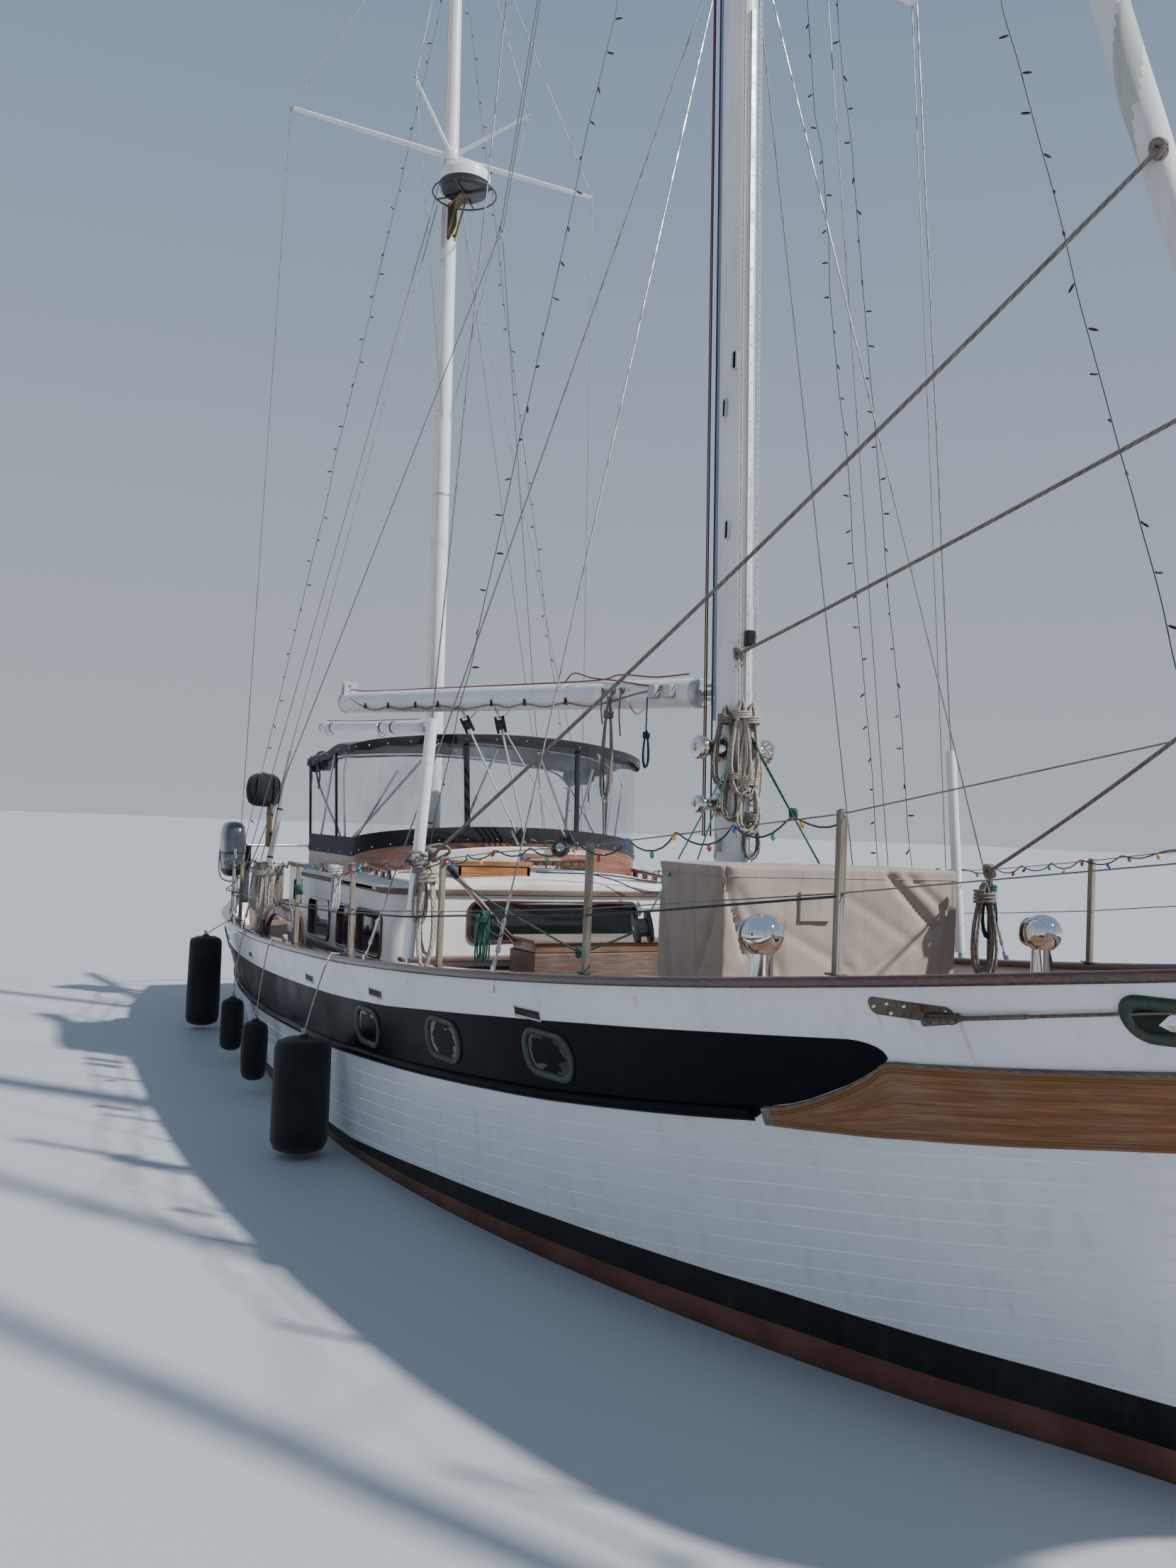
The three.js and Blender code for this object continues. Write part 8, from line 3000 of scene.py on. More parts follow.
make_main_mast()
make_mizzen_mast()
make_booms()
make_mainsheets()
make_shrouds()
STAYSAIL = (Vector((6.14, 0, deck_z(6.14) + 0.03)), on_mast(15.6, 0.143))
GENOA = (Vector((SPRIT_TIP - 0.12, 0, sprit_z(8.78) + 0.18)), on_mast(MAIN_HEAD - 0.12, 0.126))
furled_sail("staysail_rolled", "furled_staysail", *STAYSAIL, 0.08, 1.3, 0.1)
furled_sail("genoa_rolled", "furled_genoa", *GENOA, 0.095, 1.7, 0.08)


# Rope and cable work

# The end's turns round a hank: where they sit as a share of its height, the step that they start at
NECK_DOWN, NECK_START, NECK_TURNS = 0.2, 5, 4


def hank_path(at, across, tall, wide, turns, radius, seed):
    """Loops that hang from a point, then the end's turns round their neck."""
    at, across = Vector(at), Vector(across).normalized()
    out = across.cross(UP).normalized()
    rng = random.Random(seed)
    sizes = [
        (tall * rng.uniform(0.84, 1.0), wide * rng.uniform(0.6, 1.0), rng.uniform(-0.3, 0.3) * wide)
        for _ in range(turns + 1)
    ]
    path = []
    for i in range(turns * 16 + 1):
        t = i / 16
        k = min(int(t), turns - 1)
        h, w, lean = (a + (b - a) * (t - k) for a, b in zip(sizes[k], sizes[k + 1]))
        down = (1 - math.cos(2 * math.pi * t)) / 2
        u = w / 2 * math.sin(2 * math.pi * t) * (0.3 + 0.7 * down) + lean * down * 0.6
        spread = t * radius * 2.1
        path.append(at - UP * (h * down) + across * u + out * spread * (0.6 + 0.4 * down))
    half_u = wide * 0.16 + radius * 2.5
    half_v = turns * radius * 0.72 + radius * 2.5
    middle = at + out * (turns * radius * 1.05)
    for i in range(NECK_START, NECK_TURNS * 16):
        a = 2 * math.pi * i / 16
        drop = tall * NECK_DOWN - (i - NECK_START) / 16 * radius * 2.1
        path.append(middle - UP * drop + across * (half_u * math.sin(a)) + out * (half_v * math.cos(a)))
    return path


def hank(name, at, across, tall, wide, turns, radius, finish, seed, body=BOAT, start=None):
    """A rope coiled up and hung on the boat, at times some way below where it starts."""
    path = hank_path(at, across, tall, wide, turns, radius, seed)
    if start:
        path = [*even([start, at], 0.02)[:-1], *path]
    shape = Shape()
    shape.tube(path, radius, finish, 8)
    made = shape.make(name, "tan_cloth", body)
    tuple(path[0])
    length_of(path)
    [tuple(p) for p in path]


def wound(line, near, far, pitch, droop, seed):
    """A cable that winds along a line, here close to it and there hanging away."""
    line = even(line, 0.035)
    out, run = [], 0.0
    for i, (p, (side, up)) in enumerate(zip(line, frames(line))):
        run += (p - line[i - 1]).length if i else 0.0
        slack = max(0.0, noise.noise(Vector((run * 0.9, seed * 7.3, 0.0))) + 0.25)
        r = near + far * slack
        a = 2 * math.pi * run / pitch + 2 * noise.noise(Vector((run * 2.0, seed, 3.0)))
        out.append(p + side * (r * math.cos(a)) + up * (r * math.sin(a)) - UP * (droop * slack))
    return out


def bulbs(name, path, spacing, radius, length, seed, tip=0.7):
    """Coloured lamps along a cable, each colour in its turn."""
    for turn, bulb in enumerate(BULB_COLOURS):
        values = {
            "Spacing": spacing,
            "Radius": radius,
            "Length": length,
            "Every": len(BULB_COLOURS),
            "Turn": turn,
            "Tip": tip,
            "Seed": seed + turn,
            "Material": FINISHES[bulb],
        }
        grown(f"{name}_{bulb}", line_mesh(name, path), LAMPS, values)


def light_string(name, a, b, sag, seed):
    """A thin cable with small dark clips, run up the rigging."""
    path = wound(hanging(a, b, sag, 20), 0.001, 0.02, 1.9, 0.01, seed)
    shape = Shape()
    shape.tube(path, 0.0028, "cable", 6)
    shape.make(name, "black_trim")
    values = {
        "Spacing": 0.24,
        "Radius": 0.0065,
        "Length": 0.05,
        "Every": 1,
        "Turn": 0,
        "Tip": 1.9,
        "Seed": seed,
        "Material": FINISHES["black"],
    }
    grown(name + "_clips", line_mesh(name, path), LAMPS, values)


# Lifelines and their posts

STANCHION_XS = (4.79, 3.29, 1.81, 0.32, -1.15, -2.6, -4.1, -5.5)
STANCHION_HALF, STANCHION_TALL, STANCHION_INSET = 0.016, 0.625, 0.095
LINE_LOW, LINE_HIGH = 0.31, 0.61
# x of the shrouds that the lines pass outside of, and how far outside
PASSED = {
    "starboard": {1.56: 0.022, 2.6: 0.022, 0.85: 0.022, -3.15: 0.022, -3.74: 0.022, -4.3: 0.022},
    "port": {1.98: 0.058, 2.45: 0.022, 0.85: 0.022, -3.15: 0.022, -3.74: 0.022, -4.3: 0.022},
}


def line_at(x, side, up):
    s = station(x)
    passed = PASSED["port" if side == PORT else "starboard"]
    inwards = -passed[x] if x in passed else STANCHION_INSET
    return Vector((x, side * (s["half"] - inwards), s["rail"] + up))


def lifeline(side, up):
    """A lifeline's points from the bow to the stern."""
    xs = sorted([*STANCHION_XS, *PASSED["port" if side == PORT else "starboard"]], reverse=True)
    return [line_at(x, side, up) for x in xs]


def make_lifelines():
    for side_name, side in SIDES:
        posts = Shape()
        h = STANCHION_HALF
        for x in STANCHION_XS:
            foot = line_at(x, side, 0.001)
            top = foot.z + STANCHION_TALL - 0.002
            posts.block((x - h, foot.y - h, foot.z), (x + h, foot.y + h, top), "post", 0.003)
            posts.block(
                (x - 0.05, foot.y - 0.022, foot.z - 0.002),
                (x + 0.05, foot.y + 0.03, foot.z + 0.005),
                "rusty",
                0.002,
            )
            for up in (LINE_LOW, LINE_HIGH):
                at = line_at(x, side, up)
                posts.rod(at - Vector((0.019, 0, 0)), at + Vector((0.019, 0, 0)), 0.0085, "steel", 10)
        posts.make("stanchions_" + side_name, "weathered_grey", replaces=["lifelines_" + side_name])
        wires = Shape()
        for up in (LINE_LOW, LINE_HIGH):
            path = lifeline(side, up)
            ahead = Vector((6.5, side * 0.88, 2.7 if up == LINE_HIGH else 2.28))
            astern = Vector((-5.65, side * (station(-5.65)["half"] - STANCHION_INSET), rail_z(-5.65) + up))
            wires.tube([ahead, *path, astern], 0.0032, "wire", 6)
        for x in STANCHION_XS[::2]:
            for up in (LINE_LOW, LINE_HIGH):
                knot(wires, line_at(x, side, up), 0.02, "cable" if up == LINE_HIGH else "old_rope")
        wires.make("lifeline_wires_" + side_name, "stainless")
        cable = Shape()
        path = wound(lifeline(side, LINE_HIGH), 0.009, 0.035, 0.34, 0.035, 2 + side)
        cable.tube(path, 0.0042, "cable", 6)
        if side == STARBOARD:
            low = lifeline(side, LINE_LOW)
            second = [
                p + Vector((0, side * 0.012, -0.012 - 0.02 * abs(math.sin(i * 1.3))))
                for i, p in enumerate(low)
            ]
            cable.tube(curve(second, 6), 0.0055, "dark_rope", 8)
            tail = [
                low[2] + Vector((0, 0.02, 0)),
                low[2] + Vector((0.1, 0.03, -0.12)),
                low[2] + Vector((-0.3, 0.06, -0.09)),
            ]
            cable.tube(curve(tail, 6), 0.004, "cable", 6)
        cable.make("light_cable_" + side_name, "black_trim")
        bulbs("rail_lamps_" + side_name, path, 0.21, 0.0105, 0.034, 11 + side)
        if side == STARBOARD:
            aft = [p for p in path if p.x < 0.9]
            bulbs("small_lamps", aft, 0.075, 0.006, 0.02, 31, 1.8)


def make_light_strings():
    light_string("rigging_lights_1", line_at(1.25, PORT, 0.05), on_mast(12.3, 0, 0.09), 0.1, 41)
    light_string("rigging_lights_2", line_at(1.63, PORT, 0.05), on_mast(14.9, 0, 0.09), 0.12, 42)
    light_string("rigging_lights_3", line_at(1.57, STARBOARD, 0.6), on_mast(11.7, 0, -0.09), 0.1, 43)
    light_string("rigging_lights_4", (5.45, 0, 2.0), on_mast(14.6, 0.15, 0.02), 0.12, 44)
    light_string(
        "mizzen_lights_1", line_at(-3.74, STARBOARD, 0.3), on_mast(11.4, 0, -0.07, MIZZEN_X), 0.1, 45
    )
    light_string("mizzen_lights_2", line_at(-3.74, PORT, 0.3), on_mast(11.4, 0, 0.07, MIZZEN_X), 0.1, 46)


make_lifelines()
make_light_strings()


# Bow: bowsprit, platform, pulpit, anchor and windlass

PLATFORM = {"x0": 7.42, "x1": 8.3, "half": 0.23, "low": 0.07, "high": 0.11}


def sprit_at(x, y=0.0, up=0.0):
    return Vector((x, y, sprit_z(x) + up))


def along_sprit(shape, x0, x1, y0, y1, up0, up1, finish, bevel=0.004):
    """A board that lies along the bowsprit's own slope."""
    slope = math.atan(sprit_z(1) - sprit_z(0))
    place = Matrix.Translation(sprit_at(x0)) @ Matrix.Rotation(-slope, 4, "Y")
    shape.block((0, y0, up0), ((x1 - x0) / math.cos(slope), y1, up1), finish, bevel, place)


def chain(shape, path, wire, finish, pitch):
    """Links along a path, each turned across the one before."""
    points = even(path, pitch)
    for i, (a, b) in enumerate(zip(points, points[1:])):
        way = (b - a).normalized()
        side = way.cross(UP if abs(way.z) < 0.9 else Vector((1, 0, 0))).normalized()
        if i % 2:
            side = way.cross(side)
        middle, reach = (a + b) / 2, pitch / 2 + wire
        ring = [middle + way * (reach * c) + side * (wire * 2.0 * s) for c, s in circle(1, 10)]
        shape.tube([*ring, ring[0]], wire, finish, 6)


def make_bowsprit():
    wood = Shape()
    rings = []
    for x, k in (
        (SPRIT_HEEL, 0.9), (SPRIT_HEEL + 0.01, 1), (7.2, 0.99), (8.0, 0.9), (8.86, 0.76),
        (8.885, 0.73), (SPRIT_TIP, 0.6),
    ):
        centre = sprit_at(x, 0, 0.095)
        rings.append([centre + Vector((0, 0.088 * k * c, 0.088 * k * s)) for c, s in circle(1, 32)])
    wood.loft(rings, "sprit")
    post_foot = deck_z(6.48) - 0.01
    wood.turned([(0, 0), (0.07, 0), (0.07, 0.55), (0.0, 0.55)], (6.48, 0, post_foot), UP, "sprit", 24)
    wood.make("bowsprit_spar", "varnished_wood", replaces=["bowsprit"])
    boards = Shape()
    p = PLATFORM
    for side in (STARBOARD, PORT):
        for k in range(3):
            y0, y1 = sorted((side * (0.094 + 0.046 * k), side * (0.094 + 0.046 * k + 0.04)))
            along_sprit(boards, p["x0"], p["x1"], y0, y1, p["low"] + 0.001, p["high"], "sprit")
    for x in (7.44, 7.86, 8.24):
        along_sprit(boards, x, x + 0.045, -p["half"], p["half"], 0.015, p["low"], "sprit_y")
    boards.make("bowsprit_platform", "varnished_wood")
    iron = Shape()
    for x, r in ((8.8, 0.072), (7.24, 0.091), (6.55, 0.093)):
        iron.turned(
            [
                (r - 0.01, -0.025), (r, -0.025), (r + 0.003, -0.02), (r + 0.003, 0.02), (r, 0.025),
                (r - 0.01, 0.025),
            ],
            sprit_at(x, 0, 0.095),
            (1, 0, 0.06),
            "galvanised",
            28,
        )
    for way in ((0, 0, 1), (0, 0, -1), (0, 1, -0.3), (0, -1, -0.3)):
        way = Vector(way).normalized()
        foot = sprit_at(8.8, 0, 0.095) + way * 0.07
        ring = [foot + way * 0.02 + way * (0.022 * c) + Vector((0.022 * s, 0, 0)) for c, s in circle(1, 16)]
        iron.tube([*ring, ring[0]], 0.006, "galvanised", 8)
    for side in (-1, 1):
        along_sprit(
            iron, 8.12, 8.44, -0.12 + side * 0.034 - 0.003, -0.12 + side * 0.034 + 0.003, 0.03, 0.17,
            "galvanised", 0.002,
        )
    iron.turned(
        [(0, -0.03), (0.035, -0.03), (0.018, 0), (0.035, 0.03), (0, 0.03)],
        sprit_at(8.38, -0.12, 0.1),
        (0, 1, 0),
        "black",
        20,
    )
    iron.make("bowsprit_irons", "stainless")
    stay_wire = Shape()
    head, foot = sprit_at(8.8, 0, 0.0), Vector((stem_x(0.06) + 0.012, 0, 0.06))
    way = (foot - head).normalized()
    start = turnbuckle(stay_wire, head + way * 0.03, way, 1.0)
    stay_wire.tube([start, foot], 0.006, "wire", 8)
    stay_wire.block(foot - Vector((0.03, 0.012, 0.04)), foot + Vector((0.02, 0.012, 0.04)), "bronze", 0.006)
    stay_wire.make("bobstay_wire", "stainless", replaces=["bobstay"])


def make_anchor():
    """A plough anchor stowed over its roller, and its chain to the windlass."""
    iron = Shape()
    y = -0.12
    shank = []
    for x, up, tall in (
        (7.62, 0.128, 0.032), (7.8, 0.13, 0.038), (8.15, 0.136, 0.046), (8.36, 0.134, 0.05),
        (8.43, 0.1, 0.05), (8.46, 0.02, 0.046),
    ):
        centre = sprit_at(x, y, up)
        shank.append([centre + Vector((0, u, v)) for u, v in rounded(0.022, tall, 0.006, 2)])
    iron.loft(shank, "galvanised")
    rings = []
    for x0, x1, half, up in (
        (8.4, 8.45, 0.018, 0.13), (8.385, 8.5, 0.07, 0.02), (8.37, 8.52, 0.095, -0.07),
        (8.352, 8.47, 0.07, -0.18), (8.342, 8.38, 0.022, -0.29), (8.34, 8.352, 0.004, -0.318),
    ):
        base = sprit_z(8.4) + up
        rings.append(
            [
                Vector((x0, y - half, base)),
                Vector(((x0 + x1) / 2, y - half * 0.62, base)),
                Vector((x1, y, base)),
                Vector(((x0 + x1) / 2, y + half * 0.62, base)),
                Vector((x0, y + half, base)),
                Vector((x0 + 0.012, y + half * 0.5, base)),
                Vector((x1 - 0.014, y, base)),
                Vector((x0 + 0.012, y - half * 0.5, base)),
            ]
        )
    iron.loft(rings, "galvanised")
    ring = [sprit_at(7.61, y, 0.128) + Vector((0.024 * c, 0.024 * s, 0)) for c, s in circle(1, 16)]
    iron.tube([*ring, ring[0]], 0.007, "galvanised", 8)
    path = curve(
        [
            sprit_at(7.59, y, 0.125), sprit_at(7.35, y * 0.95, 0.125), (6.9, -0.14, 2.16),
            (6.3, -0.15, 1.95), (5.75, -0.15, 1.78), (5.58, -0.15, 1.74),
        ],
        5,
    )
    chain(iron, path, 0.005, "galvanised", 0.034)
    iron.make("anchor_and_chain", "weathered_grey")
    drum = Shape()
    drum.block((5.39, -0.1, 1.46), (5.61, 0.1, 1.77), "galvanised", 0.03)
    for side in (STARBOARD, PORT):
        drum.turned(
            [
                (0, 0), (0.058, 0), (0.058, 0.01), (0.036, 0.03), (0.034, 0.06), (0.045, 0.09),
                (0.058, 0.105), (0.056, 0.112), (0.02, 0.112), (0, 0.11),
            ],
            (5.5, side * 0.098, 1.69),
            (0, side, 0),
            "galvanised" if side == PORT else "bronze",
            24,
        )
    drum.turned(
        [(0, 0), (0.03, 0), (0.034, 0.01), (0.028, 0.03), (0, 0.034)], (5.5, 0, 1.769), UP, "rusty", 16
    )
    drum.make("windlass", "weathered_grey")


def make_pulpit():
    tube = Shape()
    path = [(6.5, 0.9, 2.72), (7.3, 0.46, 2.76), (8.2, 0.3, 2.78), (8.8, 0.23, 2.79), (8.99, 0.0, 2.79)]
    path += [(x, -y, z) for x, y, z in path[-2::-1]]
    tube.tube(curve(path, 8), 0.0155, "steel", 12)
    for x, y0, z0, y1, z1 in (
        (6.5, 0.86, rail_z(6.5) + 0.001, 0.9, 2.72), (8.2, 0.2, sprit_z(8.2) + 0.112, 0.3, 2.78)
    ):
        for side in (STARBOARD, PORT):
            foot, head = Vector((x, side * y0, z0)), Vector((x, side * y1, z1))
            tube.rod(foot, head, 0.0135, "steel", 12)
            tube.turned(
                [(0, 0), (0.038, 0), (0.038, 0.006), (0.018, 0.012), (0.017, 0.03), (0, 0.03)],
                foot,
                UP,
                "steel",
                20,
            )
    for side, finish in ((STARBOARD, "bulb_green"), (PORT, "bulb_red")):
        at = Vector((7.3, side * 0.45, 2.69))
        tube.block(at - Vector((0.035, 0.03, 0.045)), at + Vector((0.035, 0.03, 0.045)), "black", 0.008)
        tube.turned(
            [(0, 0), (0.026, 0), (0.026, 0.05), (0, 0.05)],
            at + Vector((0.02, side * 0.02, -0.025)),
            UP,
            finish,
            16,
        )
    tube.make("pulpit_tubes", "stainless", replaces=["bow_pulpit"])


make_bowsprit()
make_anchor()
make_pulpit()


# Stern: rail, outboard motor, pole with its bag and board


def make_stern_rail():
    tube = Shape()
    inwards, up = 0.095, 0.66
    xs = (-5.65, -6.3, -6.85)
    side_path = {
        s: [Vector((x, s * (station(x)["half"] - inwards), rail_z(x) + up)) for x in xs]
        for s in (STARBOARD, PORT)
    }
    across = [Vector((-6.96, y, rail_z(-6.95) + up + 0.01)) for y in (-0.6, 0.6)]
    path = [*side_path[STARBOARD], *across, *side_path[PORT][::-1]]
    tube.tube(path, 0.0145, "steel", 12)
    low = [p - UP * 0.3 for p in path]
    tube.tube(low, 0.0035, "wire", 6)
    for side in (STARBOARD, PORT):
        for head in side_path[side]:
            foot = head - UP * (up - 0.001)
            tube.rod(foot, head, 0.0125, "steel", 12)
            tube.turned(
                [(0, 0), (0.036, 0), (0.036, 0.006), (0.017, 0.012), (0.016, 0.03), (0, 0.03)],
                foot,
                UP,
                "steel",
                20,
            )
    tube.make("stern_rail_tubes", "stainless", replaces=["stern_rail"])


COWL = {"x": -6.35, "y": -1.4, "half_x": 0.25, "half_y": 0.13}


def make_outboard():
    """A small outboard clamped on the rail, its cowl and leg, and its carrying loop."""
    cowl = Shape()
    rings = []
    rows = [
        (1.472, 0.4), (1.476, 0.52), (1.5, 0.72), (1.56, 0.9), (1.66, 0.985), (1.735, 1.0),
        (1.74, 0.975), (1.75, 0.975), (1.755, 1.0), (1.88, 1.0), (1.97, 0.965), (2.04, 0.87),
        (2.085, 0.7), (2.106, 0.45), (2.109, 0.2),
    ]
    for z, k in rows:
        ring = []
        for j in range(40):
            a = 2 * math.pi * j / 40
            u = math.copysign(abs(math.cos(a)) ** 0.62, math.cos(a))
            v = math.copysign(abs(math.sin(a)) ** 0.7, math.sin(a))
            ring.append(Vector((COWL["x"] + COWL["half_x"] * k * u, COWL["y"] + COWL["half_y"] * k * v, z)))
        rings.append(ring)
    cowl.loft(rings, lambda i, j: "black" if i in (6, 7) or i < 3 else "engine")
    cowl.make("outboard_cowl", "black_trim", replaces=["outboard_motor"], sharp=50)
    leg = Shape()
    leg.block((-6.42, -1.33, 1.54), (-6.325, -1.185, 1.84), "black", 0.012)
    leg.block((-6.41, -1.29, 1.172), (-6.325, -1.19, 1.56), "engine", 0.018)
    leg.rod((-6.372, -1.19, 1.66), (-6.372, -1.12, 1.66), 0.008, "steel", 10)
    leg.rod((-6.372, -1.115, 1.62), (-6.372, -1.115, 1.7), 0.005, "steel", 8)
    loop = [
        (-6.45, -1.5, 1.92), (-6.42, -1.535, 1.7), (-6.4, -1.53, 1.5), (-6.38, -1.48, 1.425),
        (-6.36, -1.38, 1.41), (-6.35, -1.28, 1.47),
    ]
    leg.tube(curve(loop, 6), 0.009, "spar_metal", 10)
    leg.make("outboard_leg_and_loop", "black_trim")


def make_pole():
    pole = Shape()
    foot, head = Vector((-5.9, -1.195, 0.86)), Vector((-5.9, -0.87, 2.95))
    way = (head - foot).normalized()
    length = (head - foot).length
    pole.turned(
        [
            (0, 0), (0.035, 0), (0.035, length - 0.002), (0.031, length), (0.027, length),
            (0.026, length - 0.06), (0, length - 0.06),
        ],
        foot,
        way,
        "spar_metal",
        28,
    )
    for d in (0.86, 1.42):
        pole.turned(
            [(0.034, 0), (0.037, 0.002), (0.037, 0.022), (0.034, 0.024)],
            foot + way * d,
            way,
            "black",
            24,
        )
    pole.make("stern_pole_tube", "weathered_grey", replaces=["stern_pole"])
    board = Shape()
    outline = rounded(0.17, 0.57, 0.07, 6)
    rings = []
    for by, y in ((0.008, -1.086), (0, -1.078), (0, -1.06), (0.008, -1.052)):
        rings.append(
            [
                Vector((-5.995 + p.x, y, 2.115 + p.y))
                for p in (inset(outline, by) if by else map(Vector, outline))
            ]
        )
    board.loft(rings, "vest")
    for z in (1.98, 2.2):
        board.block((-6.083, -1.09, z), (-5.9, -1.05, z + 0.025), "black", 0.004)
    board.make("stern_board", "tan_cloth")
    bag = Shape()
    rings = []
    rows = [
        (2.305, 0.42), (2.31, 0.62), (2.34, 0.84), (2.39, 0.96), (2.45, 1.0), (2.52, 0.995),
        (2.585, 0.95), (2.635, 0.85), (2.665, 0.68), (2.678, 0.4), (2.68, 0.12),
    ]
    for z, k in rows:
        ring = []
        for j in range(48):
            a = 2 * math.pi * j / 48
            u = math.copysign(abs(math.cos(a)) ** 0.7, math.cos(a))
            v = math.copysign(abs(math.sin(a)) ** 0.75, math.sin(a))
            fold = 0.05 * noise.noise(Vector((math.cos(a) * 2.2, math.sin(a) * 3.2, z * 9)))
            crease = 0.03 * math.sin(z * 60 + math.cos(a) * 3) * (1 - k)
            m = k * (0.97 + fold + crease)
            ring.append(Vector((-6.0 + 0.107 * u * m, -1.15 + 0.205 * v * m, z)))
        rings.append(ring)
    bag.loft(rings, "canvas")
    made = bag.make("stern_bag", "black_cloth", sharp=70)
    stuffed(made)
    straps = Shape()
    for y in (-1.24, -1.05):
        strap = [(-6.0, y, 2.675), (-5.9, y, 2.62), (-5.885, y, 2.5), (-5.895, y, 2.37), (-5.96, y, 2.306)]
        straps.sweep(
            curve(strap, 5),
            [(-0.0015, -0.013), (0.0015, -0.013), (0.0015, 0.013), (-0.0015, 0.013)],
            "canvas",
        )
    straps.make("stern_bag_straps", "black_cloth")


ARCH = [
    (-3.0, -1.74, 1.0), (-2.98, -1.74, 1.22), (-2.67, -1.75, 1.37), (-2.15, -1.77, 1.375),
    (-1.66, -1.78, 1.32), (-1.47, -1.79, 1.0),
]


def make_stern_gear():
    """A varnished arch on the side deck with hoses over it, and the coils on the rail."""
    arch = Shape()
    arch.sweep(curve(ARCH, 6), rounded(0.045, 0.1, 0.018, 3), "coaming")
    arch.make("side_deck_arch", "varnished_wood")
    hose = Shape()
    for k, lift in ((0.0, 0.09), (0.035, 0.07), (-0.03, 0.11)):
        path = [
            Vector(p) + Vector((k * 2, -0.03 + k, lift if n not in (0, 5) else 0))
            for n, p in enumerate(ARCH)
        ]
        hose.tube(curve(path, 6), 0.011, "old_rope", 10)
    hose.make("side_deck_hoses", "black_trim")
    coils = (
        (-2.75, 0.44, 0.2, 6, "rope"),
        (-2.35, 0.5, 0.22, 6, "rope"),
        (-1.95, 0.42, 0.18, 5, "rope"),
        (-1.7, 0.36, 0.14, 4, "old_rope"),
    )
    for n, (x, tall, wide, turns, finish) in enumerate(coils):
        at = line_at(x, STARBOARD, LINE_HIGH - 0.005) - Vector((0, 0.008, 0))
        hank(f"rail_coil_{n + 1}", at, (1, 0.05, 0), tall, wide, turns, 0.0065, finish, 51 + n)
    at = line_at(0.02, STARBOARD, LINE_HIGH - 0.005) - Vector((0, 0.008, 0))
    hank("rail_coil_5", at, (1, 0.05, 0), 0.34, 0.09, 3, 0.009, "white_rope", 61)
    ties = Shape()
    knot(ties, line_at(-1.04, STARBOARD, 0.42) - Vector((0, 0.02, 0)), 0.045, "green_rope")
    winch(ties, (-4.75, -1.28, 1.1), UP, 0.06)
    winch(ties, (-4.75, 1.28, 1.1), UP, 0.06)
    ties.make("quarter_winches_and_knot", "stainless")


make_stern_rail()
make_outboard()
make_pole()
make_stern_gear()


# Radar on the mizzen mast

RADAR = {"z": 8.8, "radius": 0.262, "height": 0.26, "ahead": 0.42}


def make_radar():
    x = mast_x(MIZZEN_X, RADAR["z"]) + RADAR["ahead"]
    at = Vector((x, 0, RADAR["z"]))
    r, h = RADAR["radius"], RADAR["height"] / 2
    dome = Shape()
    profile = [
        (0.0, -h), (r * 0.86, -h), (r * 0.9, -h + 0.01), (r * 0.96, -0.07), (r * 0.995, -0.055),
        (r, -0.05),
    ]
    profile += [
        (r, -0.044), (r * 0.985, -0.04), (r * 0.99, 0.03), (r * 0.95, 0.075), (r * 0.82, 0.108),
        (r * 0.5, 0.126), (0.0, h),
    ]
    dome.turned(profile, at, UP, lambda i, j: "dome_base" if i < 5 else "dome", 48)
    dome.make("radar_dome", "white_gelcoat", replaces=["radar"], sharp=40)
    frame_of = Shape()
    mast_front = mast_x(MIZZEN_X, RADAR["z"] - 0.15) + MIZZEN_RADIUS
    frame_of.block(
        (mast_front, -0.058, RADAR["z"] - 0.158),
        (x + 0.04, 0.058, RADAR["z"] - 0.1305),
        "bronze",
        0.006,
    )
    for side in (-1, 1):
        a = Vector((mast_front - 0.004, side * 0.04, RADAR["z"] - 0.45))
        b = Vector((x - 0.06, side * 0.045, RADAR["z"] - 0.15))
        frame_of.rod(a, b, 0.011, "bronze", 12)
    frame_of.block(
        (mast_front - 0.012, -0.05, RADAR["z"] - 0.49),
        (mast_front + 0.012, 0.05, RADAR["z"] - 0.1),
        "bronze",
        0.005,
    )
    ring_z = RADAR["z"] - 0.142
    ring = [Vector((x + 0.325 * c, 0.325 * s, ring_z)) for c, s in circle(1, 56)]
    frame_of.tube([*ring, ring[0]], 0.009, "dome_base", 10)
    for degrees in (40, 140, 220, 320):
        c, s = math.cos(math.radians(degrees)), math.sin(math.radians(degrees))
        frame_of.rod(
            (x + 0.01 * c, 0.01 * s, ring_z),
            (x + 0.325 * c, 0.325 * s, ring_z),
            0.0085,
            "dome_base",
            10,
        )
    frame_of.make("radar_bracket_and_guard", "black_trim")


make_radar()


# Fenders along the starboard side

FENDERS = [
    # x, centre height, radius, half length, x of its line on the rail
    (0.4, 0.41, 0.195, 0.35, 0.28),
    (-1.5, 0.35, 0.11, 0.21, -1.5),
    (-2.8, 0.345, 0.107, 0.205, -2.75),
    (-4.6, 0.5, 0.172, 0.43, -4.1),
]


